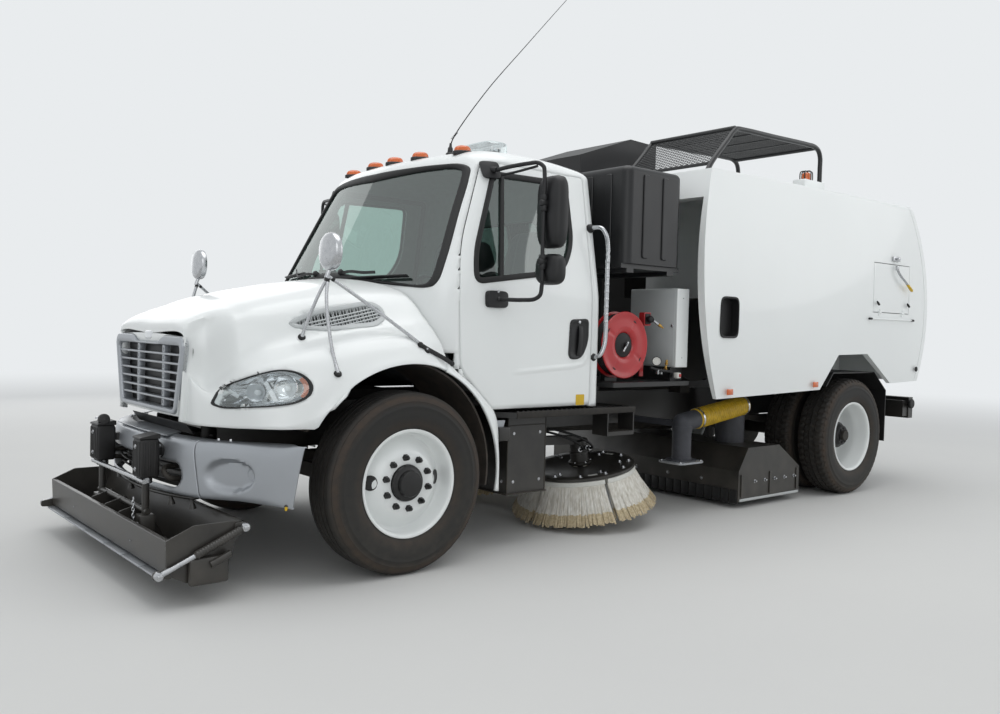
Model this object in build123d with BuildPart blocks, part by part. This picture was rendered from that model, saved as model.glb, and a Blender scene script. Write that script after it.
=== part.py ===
from build123d import *
import math
import os

# Street sweeper truck. Millimetres, +X forwards, +Y to the truck's left, +Z up.
# The origin is on the ground, under the middle of the truck's length and width.

# Overall layout
wheelbase = 4690
nose_overhang = 1350
tail_overhang = 1190
front_axle_x = (wheelbase + tail_overhang - nose_overhang) / 2
rear_axle_x = front_axle_x - wheelbase
tail_x = rear_axle_x - tail_overhang
fit_gap = 0.3
panel_gap = 6

# Wheels and tyres
tyre_radius = 508
tyre_width = 280
rim_radius = 286
rim_flange_radius = 299
front_flange_y = 1165
rear_flange_y = 1185
twin_spacing = 332
stub_radius = 45
hub_radius = 115
stud_circle = 143
stud_count = 10
nut_radius = 17
axle_z = tyre_radius

# Frame rails
rail_outer_y = 432
rail_height = 255
rail_flange = 75
rail_wall = 9
rail_top = 915
rail_bottom = rail_top - rail_height
rail_front_x = front_axle_x + 800
rail_rear_x = tail_x + 187
rail_inner_y = rail_outer_y - rail_flange

# Steering
king_pin_y = 860
king_pin_radius = 22
king_boss_radius = 48
king_boss_height = 130
yoke_height = 40
steer_arm_length = 190
tie_rod_radius = 19
tie_eye_radius = 26
tie_eye_height = 44
tie_pin_radius = 11
steer_limit = 35

# Hood: sections from nose to cowl, then the pivot that it tilts on
hood_bottom_z = 835
hood_wall = 28
hood_cab_gap = 8
hood_rear_x = front_axle_x - 250
hood_pivot_x = front_axle_x + 950
hood_pivot_z = 800
hood_pivot_y = 400
arch_x = front_axle_x + 5
arch_z = 540
arch_radius = 630
fender_flare = 100
leg_rear_x = front_axle_x - 665
leg_bottom_z = 400
liner_wall = 12

# Cab
cab_half_width = 1065
cab_back_x = front_axle_x - 1584
cab_front_side_x = front_axle_x - 275
cab_front_bulge = 210
cab_waist_z = 1600
cab_sill_z = 875
cab_floor_z = 1000
cab_floor_wall = 50
cab_wall = 60
door_wall = 52
windscreen_rake = 0.493
roof_front_z = 2425
roof_mid_z = 2545
roof_rear_z = 2480
roof_half_width = 925
roof_edge_z = 2400
door_front_x = front_axle_x - 395
door_rear_x = front_axle_x - 1490
door_top_z = 2385
glass_wall = 14
glass_depth = 10
hinge_pin_radius = 9
fender_y = cab_half_width + fender_flare
fender_inner_y = fender_y - 80
liner_outer_y = fender_y - 105
liner_inner_y = liner_outer_y - 480

# Hopper body
hopper_half_width = 1250
hopper_waist_z = 1750
hopper_base_half_width = 1218
hopper_top_front_z = 2575
hopper_top_rear_z = 2620
hopper_base_front_z = 900
hopper_base_rear_z = 985
hopper_front_x = front_axle_x - 2430
hopper_front_z = 1913
hopper_front_radius = 2360
tail_bulge_z = 1604
tail_radius = 1771
hopper_wall = 60
load_floor_z = 1300
load_floor_wall = 50
bulkhead_x = front_axle_x - 3480
header_depth = 210
header_wall = 70
rear_door_wall = 60
dump_pivot_x = tail_x + 232
dump_pivot_z = 1010
dump_pin_radius = 25
dump_pin_y = 470
dump_limit = 50

# Gutter brooms
broom_x = front_axle_x - 1889
broom_y = 649
broom_radius = 533
broom_low_z = 16
broom_lean = 9
broom_disc_radius = 392
broom_disc_wall = 22
bristle_height = 290
bristle_wall = 90
broom_arm_z = 560
broom_arm_height = 60
broom_pivot_x = front_axle_x - 1300
broom_pivot_y = 500

# Pickup head
head_front_x = front_axle_x - 3200
head_rear_x = front_axle_x - 4060
head_half_width = 1060
head_low_z = 55
head_top_z = 480
head_wall = 12


def side_plane(y):
    """Plane across the truck at a given y: its x is forwards and its y is up."""
    return Plane(origin=(0, y, 0), x_dir=(1, 0, 0), z_dir=(0, -1, 0))


def block(x_range, y_range, z_range, mode=Mode.ADD):
    """Box between two x, two y and two z values."""
    centre = [(low + high) / 2 for low, high in (x_range, y_range, z_range)]
    with Locations(tuple(centre)):
        Box(x_range[1] - x_range[0], y_range[1] - y_range[0], z_range[1] - z_range[0], mode=mode)


def rod(start, end, radius, mode=Mode.ADD):
    """Round bar from one point to another."""
    axis = Vector(*end) - Vector(*start)
    with BuildSketch(Plane(origin=start, z_dir=axis)) as section:
        Circle(radius)
    extrude(section.sketch, amount=axis.length, mode=mode)


def side_plate(points, y_range, mode=Mode.ADD):
    """Plate with a straight-sided outline in x and z, between two y values."""
    with BuildSketch(side_plane(y_range[0])) as outline:
        with BuildLine():
            Polyline(*points, close=True)
        make_face()
    extrude(outline.sketch, amount=-(y_range[1] - y_range[0]), mode=mode)


# Frame rails: two channels that open inwards, and tubes between their webs, x from the front axle
cross_member_radius = 50
cross_member_places = (730, -1700, -2350, -3450, -4150, -5250, -5620)
with BuildPart() as frame_rails:
    for side in (1, -1):
        outer = side * rail_outer_y
        inner = side * rail_inner_y
        web = side * (rail_outer_y - rail_wall)
        with BuildSketch(Plane.YZ.offset(rail_rear_x)):
            with BuildLine():
                Polyline(
                    (inner, rail_top),
                    (outer, rail_top),
                    (outer, rail_bottom),
                    (inner, rail_bottom),
                    (inner, rail_bottom + rail_wall),
                    (web, rail_bottom + rail_wall),
                    (web, rail_top - rail_wall),
                    (inner, rail_top - rail_wall),
                    close=True,
                )
            make_face()
        extrude(amount=rail_front_x - rail_rear_x)
    web_y = rail_outer_y - rail_wall - fit_gap
    for place in cross_member_places:
        x = front_axle_x + place
        z = rail_bottom + rail_height / 2
        rod((x, -web_y, z), (x, web_y, z), cross_member_radius)

# Front axle: forged beam, dropped in the middle, with a boss for each king pin
beam_depth = 90
spring_y = rail_outer_y - rail_flange / 2
spring_pad_z = 560
with BuildPart() as front_axle:
    with BuildSketch(Plane.YZ.offset(front_axle_x - beam_depth / 2)):
        with BuildLine():
            Polyline(
                (-king_pin_y, axle_z + 45),
                (-spring_y - 80, spring_pad_z),
                (-spring_y + 60, spring_pad_z),
                (-spring_y + 160, axle_z - 20),
                (spring_y - 160, axle_z - 20),
                (spring_y - 60, spring_pad_z),
                (spring_y + 80, spring_pad_z),
                (king_pin_y, axle_z + 45),
                (king_pin_y, axle_z - 45),
                (spring_y + 90, spring_pad_z - 95),
                (spring_y - 60, spring_pad_z - 95),
                (spring_y - 170, axle_z - 110),
                (-spring_y + 170, axle_z - 110),
                (-spring_y + 60, spring_pad_z - 95),
                (-spring_y - 90, spring_pad_z - 95),
                (-king_pin_y, axle_z - 45),
                close=True,
            )
        make_face()
    extrude(amount=beam_depth)
    for side in (1, -1):
        centre = (front_axle_x, side * king_pin_y)
        with BuildSketch(Plane.XY.offset(axle_z - king_boss_height / 2)):
            with Locations(centre):
                Circle(king_boss_radius)
        extrude(amount=king_boss_height)
        with BuildSketch(Plane.XY.offset(axle_z - king_boss_height / 2)):
            with Locations(centre):
                Circle(king_pin_radius + fit_gap)
        extrude(amount=king_boss_height, mode=Mode.SUBTRACT)


# Leaf springs: an arched pack between two hangers under or beside a rail
def leaf_spring(centre_x, centre_y, width, pad_z, hang_z, length, pack_height, hanger_top):
    """Arched pack of leaves that rests on pad_z at its middle and hangs at its two eyes."""
    half = length / 2
    with BuildSketch(side_plane(centre_y - width / 2)) as pack:
        with BuildLine():
            ThreePointArc(
                (centre_x - half, hang_z),
                (centre_x, pad_z),
                (centre_x + half, hang_z),
            )
            Line((centre_x + half, hang_z), (centre_x + half, hang_z + pack_height / 3))
            ThreePointArc(
                (centre_x + half, hang_z + pack_height / 3),
                (centre_x, pad_z + pack_height),
                (centre_x - half, hang_z + pack_height / 3),
            )
            Line((centre_x - half, hang_z + pack_height / 3), (centre_x - half, hang_z))
        make_face()
    extrude(pack.sketch, amount=-width)
    for end in (-1, 1):
        x = centre_x + end * half
        block(
            (x - 35, x + 35),
            (centre_y - width / 2, centre_y + width / 2),
            (hang_z - 10, hanger_top),
        )


rear_spring_y = rail_outer_y + 50
axle_tube_radius = 62
rear_pad_z = axle_z + axle_tube_radius + fit_gap
with BuildPart() as leaf_springs:
    for side in (1, -1):
        leaf_spring(
            front_axle_x, side * spring_y, rail_flange, spring_pad_z + fit_gap, spring_pad_z + 35,
            1300, 60, rail_bottom - fit_gap,
        )
        leaf_spring(
            rear_axle_x, side * rear_spring_y, 76, rear_pad_z, rear_pad_z + 60,
            1250, 85, rail_bottom + 130,
        )
        for end in (-1, 1):
            x = rear_axle_x + end * 625
            hanger_y = sorted((side * (rail_outer_y + fit_gap), side * (rear_spring_y - 30)))
            block((x - 35, x + 35), hanger_y, (rear_pad_z + 60, rail_bottom + 130))

# Rear axle: tube, differential bowl, the stubs that carry the twin wheels, and the drive shaft
diff_radius = 195
gearbox_rear_x = front_axle_x - 1100
with BuildPart() as rear_axle:
    rod((rear_axle_x, -560, axle_z), (rear_axle_x, 560, axle_z), axle_tube_radius)
    stub_end = rear_flange_y - 60
    rod((rear_axle_x, -stub_end, axle_z), (rear_axle_x, stub_end, axle_z), stub_radius)
    with BuildSketch(side_plane(-110)):
        with Locations((rear_axle_x, axle_z)):
            Circle(diff_radius)
    extrude(amount=-220)
    rod((rear_axle_x, 0, axle_z), (rear_axle_x + 300, 0, axle_z + 20), 85)
    rod((rear_axle_x + 290, 0, axle_z + 20), (gearbox_rear_x - 8, 0, 640), 38)

# Engine with its gearbox, one plain mass between the rails, and the radiator in front of it
engine_half_width = 320
radiator_x = front_axle_x + 720
radiator_top_z = 1330
with BuildPart() as truck_engine:
    side_plate(
        (
            (front_axle_x + 620, 1250),
            (front_axle_x + 620, 700),
            (front_axle_x + 420, 640),
            (front_axle_x - 420, 620),
            (gearbox_rear_x, 620),
            (gearbox_rear_x, 860),
            (front_axle_x - 450, 965),
            (front_axle_x - 50, 970),
            (front_axle_x - 30, 1300),
        ),
        (-engine_half_width, engine_half_width),
    )
    for side in (1, -1):
        inner_y = side * engine_half_width
        outer_y = side * (rail_outer_y - rail_wall - fit_gap)
        block(
            (front_axle_x + 250, front_axle_x + 350),
            sorted((inner_y, outer_y)),
            (rail_bottom + 60, rail_bottom + 160),
        )
    block((radiator_x, radiator_x + 70), (-420, 420), (rail_top + fit_gap, radiator_top_z))
    for side in (1, -1):
        block(
            (radiator_x - 15, radiator_x + 85),
            sorted((side * 420, side * 455)),
            (rail_top + fit_gap, radiator_top_z),
        )

# Knuckles: a yoke round each king pin boss, a stub for the wheel and a steering arm behind
front_stub_end = front_flange_y - 30
yoke_inner = king_boss_height / 2 + fit_gap
yoke_outer = yoke_inner + yoke_height
tie_rod_z = axle_z - yoke_outer - 32
yoke_reach = 70


def knuckle(side):
    """Steering knuckle: yoke, king pin, wheel stub and the arm that the tie rod's pin stands on."""
    with BuildPart() as made:
        for low, high in ((yoke_inner, yoke_outer), (-yoke_outer, -yoke_inner)):
            with BuildSketch(Plane.XY.offset(axle_z + low)):
                with Locations((front_axle_x, side * king_pin_y)):
                    Circle(king_boss_radius)
                with Locations((front_axle_x, side * (king_pin_y + yoke_reach / 2))):
                    Rectangle(2 * king_boss_radius, yoke_reach)
            extrude(amount=high - low)
        block(
            (front_axle_x - king_boss_radius, front_axle_x + king_boss_radius),
            sorted((side * (king_pin_y + king_boss_radius + 4), side * (king_pin_y + yoke_reach))),
            (axle_z - yoke_outer, axle_z + yoke_outer),
        )
        rod(
            (front_axle_x, side * king_pin_y, axle_z - yoke_outer),
            (front_axle_x, side * king_pin_y, axle_z + yoke_outer),
            king_pin_radius,
        )
        rod(
            (front_axle_x, side * (king_pin_y + yoke_reach), axle_z),
            (front_axle_x, side * front_stub_end, axle_z),
            stub_radius,
        )
        arm_low = axle_z - yoke_outer
        block(
            (front_axle_x - steer_arm_length - 25, front_axle_x),
            sorted((side * (king_pin_y - 25), side * (king_pin_y + 25))),
            (arm_low, arm_low + 28),
        )
        eye_x = front_axle_x - steer_arm_length
        rod((eye_x, side * king_pin_y, arm_low), (eye_x, side * king_pin_y, tie_rod_z - 25), tie_pin_radius)
    return made.part


with BuildPart() as knuckle_left:
    add(knuckle(1))
with BuildPart() as knuckle_right:
    add(knuckle(-1))

# Tie rod between the two steering arms
with BuildPart() as tie_rod:
    eye_x = front_axle_x - steer_arm_length
    rod((eye_x, -king_pin_y, tie_rod_z), (eye_x, king_pin_y, tie_rod_z), tie_rod_radius)
    for side in (1, -1):
        eye_foot = (eye_x, side * king_pin_y, tie_rod_z - tie_eye_height / 2)
        eye_head = (eye_x, side * king_pin_y, tie_rod_z + tie_eye_height / 2)
        rod(eye_foot, eye_head, tie_eye_radius)
        rod(eye_foot, eye_head, tie_pin_radius + fit_gap, mode=Mode.SUBTRACT)

# Tyre section: radius and distance from the tyre's middle, one side from bead to tread
tyre_profile = (
    (rim_radius + fit_gap, 105),
    (rim_flange_radius + 2, 109),
    (tyre_radius - 112, tyre_width / 2),
    (tyre_radius - 30, tyre_width / 2 - 14),
    (tyre_radius, tyre_width / 2 - 42),
)


def tyre_solid(centre_x, centre_y):
    """Tyre as one ring turned about the axle line."""
    with BuildPart() as made:
        with BuildSketch(Plane.XY.offset(axle_z)):
            with BuildLine():
                near = [(centre_x + r, centre_y + w) for r, w in tyre_profile]
                far = [(centre_x + r, centre_y - w) for r, w in reversed(tyre_profile)]
                Polyline(*near, *far, close=True)
            make_face()
        revolve(axis=Axis((centre_x, centre_y, axle_z), (0, 1, 0)))
    return made.part


def rim_solid(centre_x, centre_y, outward, disc_offset, bore_radius):
    """Rim: rolled barrel with two flanges, a dished disc, hand holes and the stud nuts."""
    wall = 9
    half = 105
    disc_y = outward * disc_offset
    sections = (
        (rim_flange_radius, half + 14),
        (rim_flange_radius, half + 6),
        (rim_radius, half),
        (rim_radius, -half),
        (rim_flange_radius, -half - 6),
        (rim_flange_radius, -half - 14),
        (rim_radius - wall, -half - 8),
        (rim_radius - wall, half + 8),
    )
    with BuildPart() as made:
        with BuildSketch(Plane.XY.offset(axle_z)):
            with BuildLine():
                Polyline(*[(centre_x + r, centre_y + w) for r, w in sections], close=True)
            make_face()
        revolve(axis=Axis((centre_x, centre_y, axle_z), (0, 1, 0)))
        dish = disc_y - outward * 70
        with BuildSketch(Plane.XY.offset(axle_z)):
            with BuildLine():
                Polyline(
                    (centre_x + bore_radius, centre_y + disc_y),
                    (centre_x + 190, centre_y + disc_y),
                    (centre_x + 245, centre_y + dish),
                    (centre_x + rim_radius - wall + 1, centre_y + dish),
                    (centre_x + rim_radius - wall + 1, centre_y + dish - outward * 12),
                    (centre_x + 238, centre_y + dish - outward * 12),
                    (centre_x + 183, centre_y + disc_y - outward * 12),
                    (centre_x + bore_radius, centre_y + disc_y - outward * 12),
                    close=True,
                )
            make_face()
        revolve(axis=Axis((centre_x, centre_y, axle_z), (0, 1, 0)))
    return made.part


def hub_solid(centre_x, y_in, y_out, bore_radius):
    """Hub barrel between two y values, bored for its stub."""
    low, high = sorted((y_in, y_out))
    with BuildPart() as made:
        rod((centre_x, low, axle_z), (centre_x, high, axle_z), hub_radius)
        rod((centre_x, low, axle_z), (centre_x, high, axle_z), bore_radius, mode=Mode.SUBTRACT)
    return made.part


def nut_ring(centre_x, y_face, outward):
    """Ring of wheel nuts that stand on a disc."""
    with BuildPart() as made:
        with BuildSketch(side_plane(y_face)):
            with Locations((centre_x, axle_z)):
                with PolarLocations(stud_circle, stud_count):
                    RegularPolygon(nut_radius, 6)
        extrude(amount=-outward * 32)
    return made.part


front_tyre_y = front_flange_y - 105 - 14
rear_outer_y = rear_flange_y - 105 - 14
rear_inner_y = rear_outer_y - twin_spacing
front_disc_offset = 84
twin_disc_offset = twin_spacing / 2
stub_bore = stub_radius + fit_gap


def front_rim(side):
    """Front rim with its hub: the disc stands near the outer flange."""
    disc_face = side * (front_tyre_y + front_disc_offset)
    with BuildPart() as made:
        add(rim_solid(front_axle_x, side * front_tyre_y, side, front_disc_offset, stub_bore))
        add(hub_solid(front_axle_x, side * (king_pin_y + yoke_reach + 3), disc_face + side * 45, stub_bore))
        rod(
            (front_axle_x, disc_face + side * 40, axle_z),
            (front_axle_x, disc_face + side * 60, axle_z),
            70,
        )
        add(nut_ring(front_axle_x, disc_face, side))
    return made.part


def rear_rims(side):
    """Twin rims bolted disc to disc on one hub."""
    middle = side * (rear_outer_y - twin_disc_offset)
    with BuildPart() as made:
        add(rim_solid(rear_axle_x, side * rear_outer_y, -side, twin_disc_offset, stub_bore))
        add(rim_solid(rear_axle_x, side * rear_inner_y, side, twin_disc_offset, stub_bore))
        add(hub_solid(rear_axle_x, middle - side * 150, side * (rear_flange_y - 70), stub_bore))
        rod(
            (rear_axle_x, side * (rear_flange_y - 58), axle_z),
            (rear_axle_x, side * (rear_flange_y - 40), axle_z),
            hub_radius - 25,
        )
        rod(
            (rear_axle_x, side * (rear_flange_y - 70), axle_z),
            (rear_axle_x, side * (rear_flange_y - 57), axle_z),
            hub_radius,
        )
        rod(
            (rear_axle_x, side * (rear_flange_y - 90), axle_z),
            (rear_axle_x, side * (stub_end + 2), axle_z),
            stub_bore,
            mode=Mode.SUBTRACT,
        )
        add(nut_ring(rear_axle_x, middle + side * 12, side))
    return made.part


with BuildPart() as tyre_front_left:
    add(tyre_solid(front_axle_x, front_tyre_y))
with BuildPart() as tyre_front_right:
    add(tyre_solid(front_axle_x, -front_tyre_y))
with BuildPart() as tyres_rear_left:
    add(tyre_solid(rear_axle_x, rear_outer_y))
    add(tyre_solid(rear_axle_x, rear_inner_y))
with BuildPart() as tyres_rear_right:
    add(tyre_solid(rear_axle_x, -rear_outer_y))
    add(tyre_solid(rear_axle_x, -rear_inner_y))
with BuildPart() as rim_front_left:
    add(front_rim(1))
with BuildPart() as rim_front_right:
    add(front_rim(-1))
with BuildPart() as rims_rear_left:
    add(rear_rims(1))
with BuildPart() as rims_rear_right:
    add(rear_rims(-1))

# Cab skin: the same body at any depth below the outer skin
def cab_body(inset, floor_z):
    """Cab's closed form, drawn in by inset on its sides, front, back and roof."""
    half = cab_half_width - inset
    front = cab_front_side_x - inset
    back = cab_back_x + inset
    bulge = cab_front_bulge
    with BuildPart() as made:
        with BuildSketch(Plane.XY.offset(floor_z)):
            with BuildLine():
                ThreePointArc((front, -half), (front + bulge, 0), (front, half))
                Polyline((front, half), (back, half), (back, -half), (front, -half))
            make_face()
        extrude(amount=cab_waist_z - floor_z)
        with BuildSketch(Plane.XY.offset(cab_waist_z)):
            with BuildLine():
                ThreePointArc((front, -half), (front + bulge, 0), (front, half))
                Polyline(
                    (front, half), (back - 10, half), (back - 10, -half), (front, -half)
                )
            make_face()
        extrude(amount=1180, dir=(-windscreen_rake, 0, 1))
        with BuildSketch(side_plane(-half - 10)):
            with BuildLine():
                Line((back, floor_z), (back, roof_rear_z - inset))
                ThreePointArc(
                    (back, roof_rear_z - inset),
                    ((back + front) / 2, roof_mid_z - inset),
                    (front - 200, roof_front_z + 35 - inset),
                )
                Polyline(
                    (front - 200, roof_front_z + 35 - inset),
                    (front + 400, roof_front_z - 220 - inset),
                    (front + 400, floor_z),
                    (back, floor_z),
                )
            make_face()
        extrude(amount=-2 * (half + 10), mode=Mode.INTERSECT)
        with BuildSketch(Plane.YZ.offset(back - 10)):
            with BuildLine():
                roof_y = roof_half_width - inset
                edge_z = roof_edge_z - inset
                Polyline((-roof_y, edge_z), (-half, cab_waist_z), (-half, floor_z))
                Line((-half, floor_z), (half, floor_z))
                Polyline((half, floor_z), (half, cab_waist_z), (roof_y, edge_z))
                ThreePointArc(
                    (roof_y, edge_z), (roof_y - 50, edge_z + 75), (roof_y - 150, edge_z + 110)
                )
                ThreePointArc(
                    (roof_y - 150, edge_z + 110),
                    (0, roof_mid_z - inset + 5),
                    (-roof_y + 150, edge_z + 110),
                )
                ThreePointArc(
                    (-roof_y + 150, edge_z + 110), (-roof_y + 50, edge_z + 75), (-roof_y, edge_z)
                )
            make_face()
        extrude(amount=2000, mode=Mode.INTERSECT)
    return made.part


# Headlamps: lens bodies that fill pockets in the hood's front corners
lamp_outline = ((0, 0), (130, 150), (330, 190), (420, 90), (330, -10), (150, -35))
lamp_reach = 70
lamp_depth = 150


def lamp_body(side, clearance):
    """Headlamp prism square to the hood's corner, grown all round by a clearance."""
    corner = Vector(front_axle_x + 990, side * (fender_y - 390), 930)
    rear = Vector(front_axle_x + 640, side * (fender_y - 80), 1000)
    along = (rear - corner).normalized()
    outward = along.cross(Vector(0, 0, 1)) * side
    face = corner + outward * (lamp_reach + clearance)
    with BuildPart() as made:
        with BuildSketch(Plane(origin=face, x_dir=along, z_dir=outward * -1)) as outline:
            with BuildLine():
                Polyline(*[(u, -side * v) for u, v in lamp_outline], close=True)
            make_face()
            if clearance:
                offset(amount=clearance, kind=Kind.INTERSECTION)
        extrude(outline.sketch, amount=lamp_depth + 2 * clearance)
    return made.part


# Hood sections, each at an x from the front axle. Columns: x, crown z, then how far in from the fender's
# side and how high its shoulder, valley, brow and flank lie, and how far in its skirt lies
hood_sections = (
    (1030, 1345, 580, 1300, 550, 1110, 510, 1045, 465, 965, 430),
    (960, 1402, 563, 1343, 517, 1035, 405, 1000, 350, 955, 323),
    (900, 1432, 543, 1366, 475, 1075, 330, 1050, 270, 970, 237),
    (780, 1482, 513, 1408, 420, 1190, 250, 1130, 173, 1000, 135),
    (520, 1567, 467, 1486, 337, 1290, 143, 1215, 55, 1075, 30),
    (170, 1632, 421, 1545, 265, 1366, 87, 1296, 11, 1180, 0),
    (-250, 1670, 379, 1580, 205, 1420, 97, 1272, 35, 1165, 15),
)


def hood_body(inset, front_trim, rear_reach):
    """Hood as a loft through its sections; inset draws every section in by a wall."""
    last = len(hood_sections) - 1
    with BuildPart() as made:
        for index, section in enumerate(hood_sections):
            x, crown, *levels, skirt = section
            place = front_axle_x + x
            if index == 0:
                place = place - front_trim
            if index == last:
                place = place - rear_reach
            side = [
                (fender_y - levels[k] - inset, levels[k + 1] - inset) for k in range(0, len(levels), 2)
            ]
            side.append((fender_y - skirt - inset, hood_bottom_z - (5 if inset else 0)))
            other = [(-y, z) for y, z in side]
            with BuildSketch(Plane.YZ.offset(place)):
                with BuildLine():
                    ThreePointArc(other[0], (0, crown - inset), side[0])
                    Polyline(*side, *other[::-1])
                make_face()
        loft(ruled=True)
    return made.part


hood_outer = hood_body(0, 0, 0)
hood_inner = hood_body(hood_wall, hood_wall, 5)
grille_half_top = fender_y - 610
grille_half_low = fender_y - 695
grille_top_z = 1262
grille_low_z = 872
hood_face_x = front_axle_x + 1030


with BuildPart() as hood_shell:
    add(hood_outer)
    add(hood_inner, mode=Mode.SUBTRACT)
    for side in (1, -1):
        side_plate(
            (
                (front_axle_x - 60, 1180),
                (front_axle_x - 250, 1195),
                (front_axle_x - 300, 1150),
                (front_axle_x - 622, 872),
                (front_axle_x - 648, 800),
                (leg_rear_x, leg_bottom_z),
                (arch_x, leg_bottom_z),
            ),
            sorted((side * fender_inner_y, side * fender_y)),
        )
        side_plate(
            (
                (hood_face_x - hood_wall + 5, hood_bottom_z + 1),
                (hood_face_x - hood_wall + 5, grille_low_z - 2),
                (hood_pivot_x - 32, hood_pivot_z + 40),
                (hood_pivot_x - 32, hood_pivot_z - 30),
                (hood_pivot_x + 25, hood_pivot_z - 30),
            ),
            sorted((side * hood_pivot_y, side * (hood_pivot_y + 20))),
        )
        rod(
            (hood_pivot_x, side * (hood_pivot_y - 5), hood_pivot_z),
            (hood_pivot_x, side * (hood_pivot_y + 25), hood_pivot_z),
            hinge_pin_radius + fit_gap,
            mode=Mode.SUBTRACT,
        )
    rod((arch_x, -1300, arch_z), (arch_x, 1300, arch_z), arch_radius, mode=Mode.SUBTRACT)
    with BuildSketch(Plane.YZ.offset(hood_face_x - 2 * hood_wall)):
        with BuildLine():
            Polyline(
                (-grille_half_top, grille_top_z),
                (grille_half_top, grille_top_z),
                (grille_half_low, grille_low_z),
                (-grille_half_low, grille_low_z),
                close=True,
            )
        make_face()
    extrude(amount=4 * hood_wall, mode=Mode.SUBTRACT)
    for side in (1, -1):
        add(lamp_body(side, fit_gap), mode=Mode.SUBTRACT)
    add(cab_body(-hood_cab_gap, hood_bottom_z - 50), mode=Mode.SUBTRACT)

with BuildPart() as lamp_pair:
    add(lamp_body(1, 0))
    add(lamp_body(-1, 0))
with BuildPart() as headlamps:
    add(hood_outer)
    add(lamp_pair.part, mode=Mode.INTERSECT)

# Grille: a thick frame in the hood's opening, level bars and two rows of small blocks
grille_depth = 34
grille_rim = 42
grille_bar_count = 7
grille_bar_height = 14
grille_gap = 0.3


def grille_outline(inset):
    """Corners of the grille's outline, drawn in by inset, as y and z."""
    return (
        (-grille_half_top + inset, grille_top_z - inset),
        (grille_half_top - inset, grille_top_z - inset),
        (grille_half_low - inset, grille_low_z + inset),
        (-grille_half_low + inset, grille_low_z + inset),
    )


with BuildPart() as grille:
    grille_back_x = hood_face_x - grille_depth + 14
    with BuildSketch(Plane.YZ.offset(grille_back_x)):
        with BuildLine():
            Polyline(*grille_outline(grille_gap), close=True)
        make_face()
        with BuildLine():
            Polyline(*grille_outline(grille_rim), close=True)
        make_face(mode=Mode.SUBTRACT)
    extrude(amount=grille_depth)
    clear_height = grille_top_z - grille_low_z - 2 * grille_rim
    pitch = clear_height / (grille_bar_count + 1)
    slope = (grille_half_top - grille_half_low) / (grille_top_z - grille_low_z)
    for index in range(grille_bar_count):
        z = grille_low_z + grille_rim + (index + 1) * pitch
        half = grille_half_low + slope * (z - grille_low_z) - grille_rim + 6
        block(
            (grille_back_x + 4, grille_back_x + grille_depth - 6),
            (-half, half),
            (z - grille_bar_height / 2, z + grille_bar_height / 2),
        )
    for y in (-grille_half_low / 2, grille_half_low / 2):
        block(
            (grille_back_x + 4, grille_back_x + 14),
            (y - 10, y + 10),
            (grille_low_z + grille_rim - 5, grille_top_z - grille_rim + 5),
        )

# Hood mirrors: a round convex mirror on a post that stands on three legs
hood_mirror_head = (front_axle_x + 400, 920, 1770)
hood_mirror_feet = ((440, 1000, 1120), (-120, 1000, 1200), (500, 840, 1280))
with BuildPart() as hood_mirrors:
    head_x, head_y, head_z = hood_mirror_head
    for side in (1, -1):
        joint = (head_x + 20, side * head_y, head_z - 140)
        rod(joint, (head_x + 20, side * head_y, head_z), 11)
        for foot_x, foot_y, foot_z in hood_mirror_feet:
            rod((front_axle_x + foot_x, side * foot_y, foot_z), joint, 8)
        rod((head_x - 20, side * head_y, head_z), (head_x + 25, side * head_y, head_z), 105)
    add(hood_outer, mode=Mode.SUBTRACT)

# Fender liners: bands round the wheel arches, held on the rails' outer faces
with BuildPart() as fender_liners:
    for side in (1, -1):
        with BuildSketch(side_plane(side * liner_inner_y)):
            with Locations((arch_x, arch_z)):
                Circle(arch_radius + liner_wall)
                Circle(arch_radius, mode=Mode.SUBTRACT)
        extrude(amount=-side * (liner_outer_y - liner_inner_y))
        block(
            (arch_x - 900, arch_x + 900),
            sorted((side * (liner_inner_y - 1), side * (liner_outer_y + 1))),
            (arch_z - 900, leg_bottom_z + 30),
            mode=Mode.SUBTRACT,
        )
        block(
            (arch_x, arch_x + 900),
            sorted((side * (liner_inner_y - 1), side * (liner_outer_y + 1))),
            (0, hood_bottom_z - 20),
            mode=Mode.SUBTRACT,
        )
        strap_y = sorted((side * (rail_outer_y + fit_gap), side * (liner_inner_y + 40)))
        strap_x = arch_x - math.sqrt((arch_radius + liner_wall) ** 2 - (rail_bottom + 80 - arch_z) ** 2)
        block((strap_x - 12, strap_x + 6), strap_y, (rail_bottom + 40, rail_bottom + 120))

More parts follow.
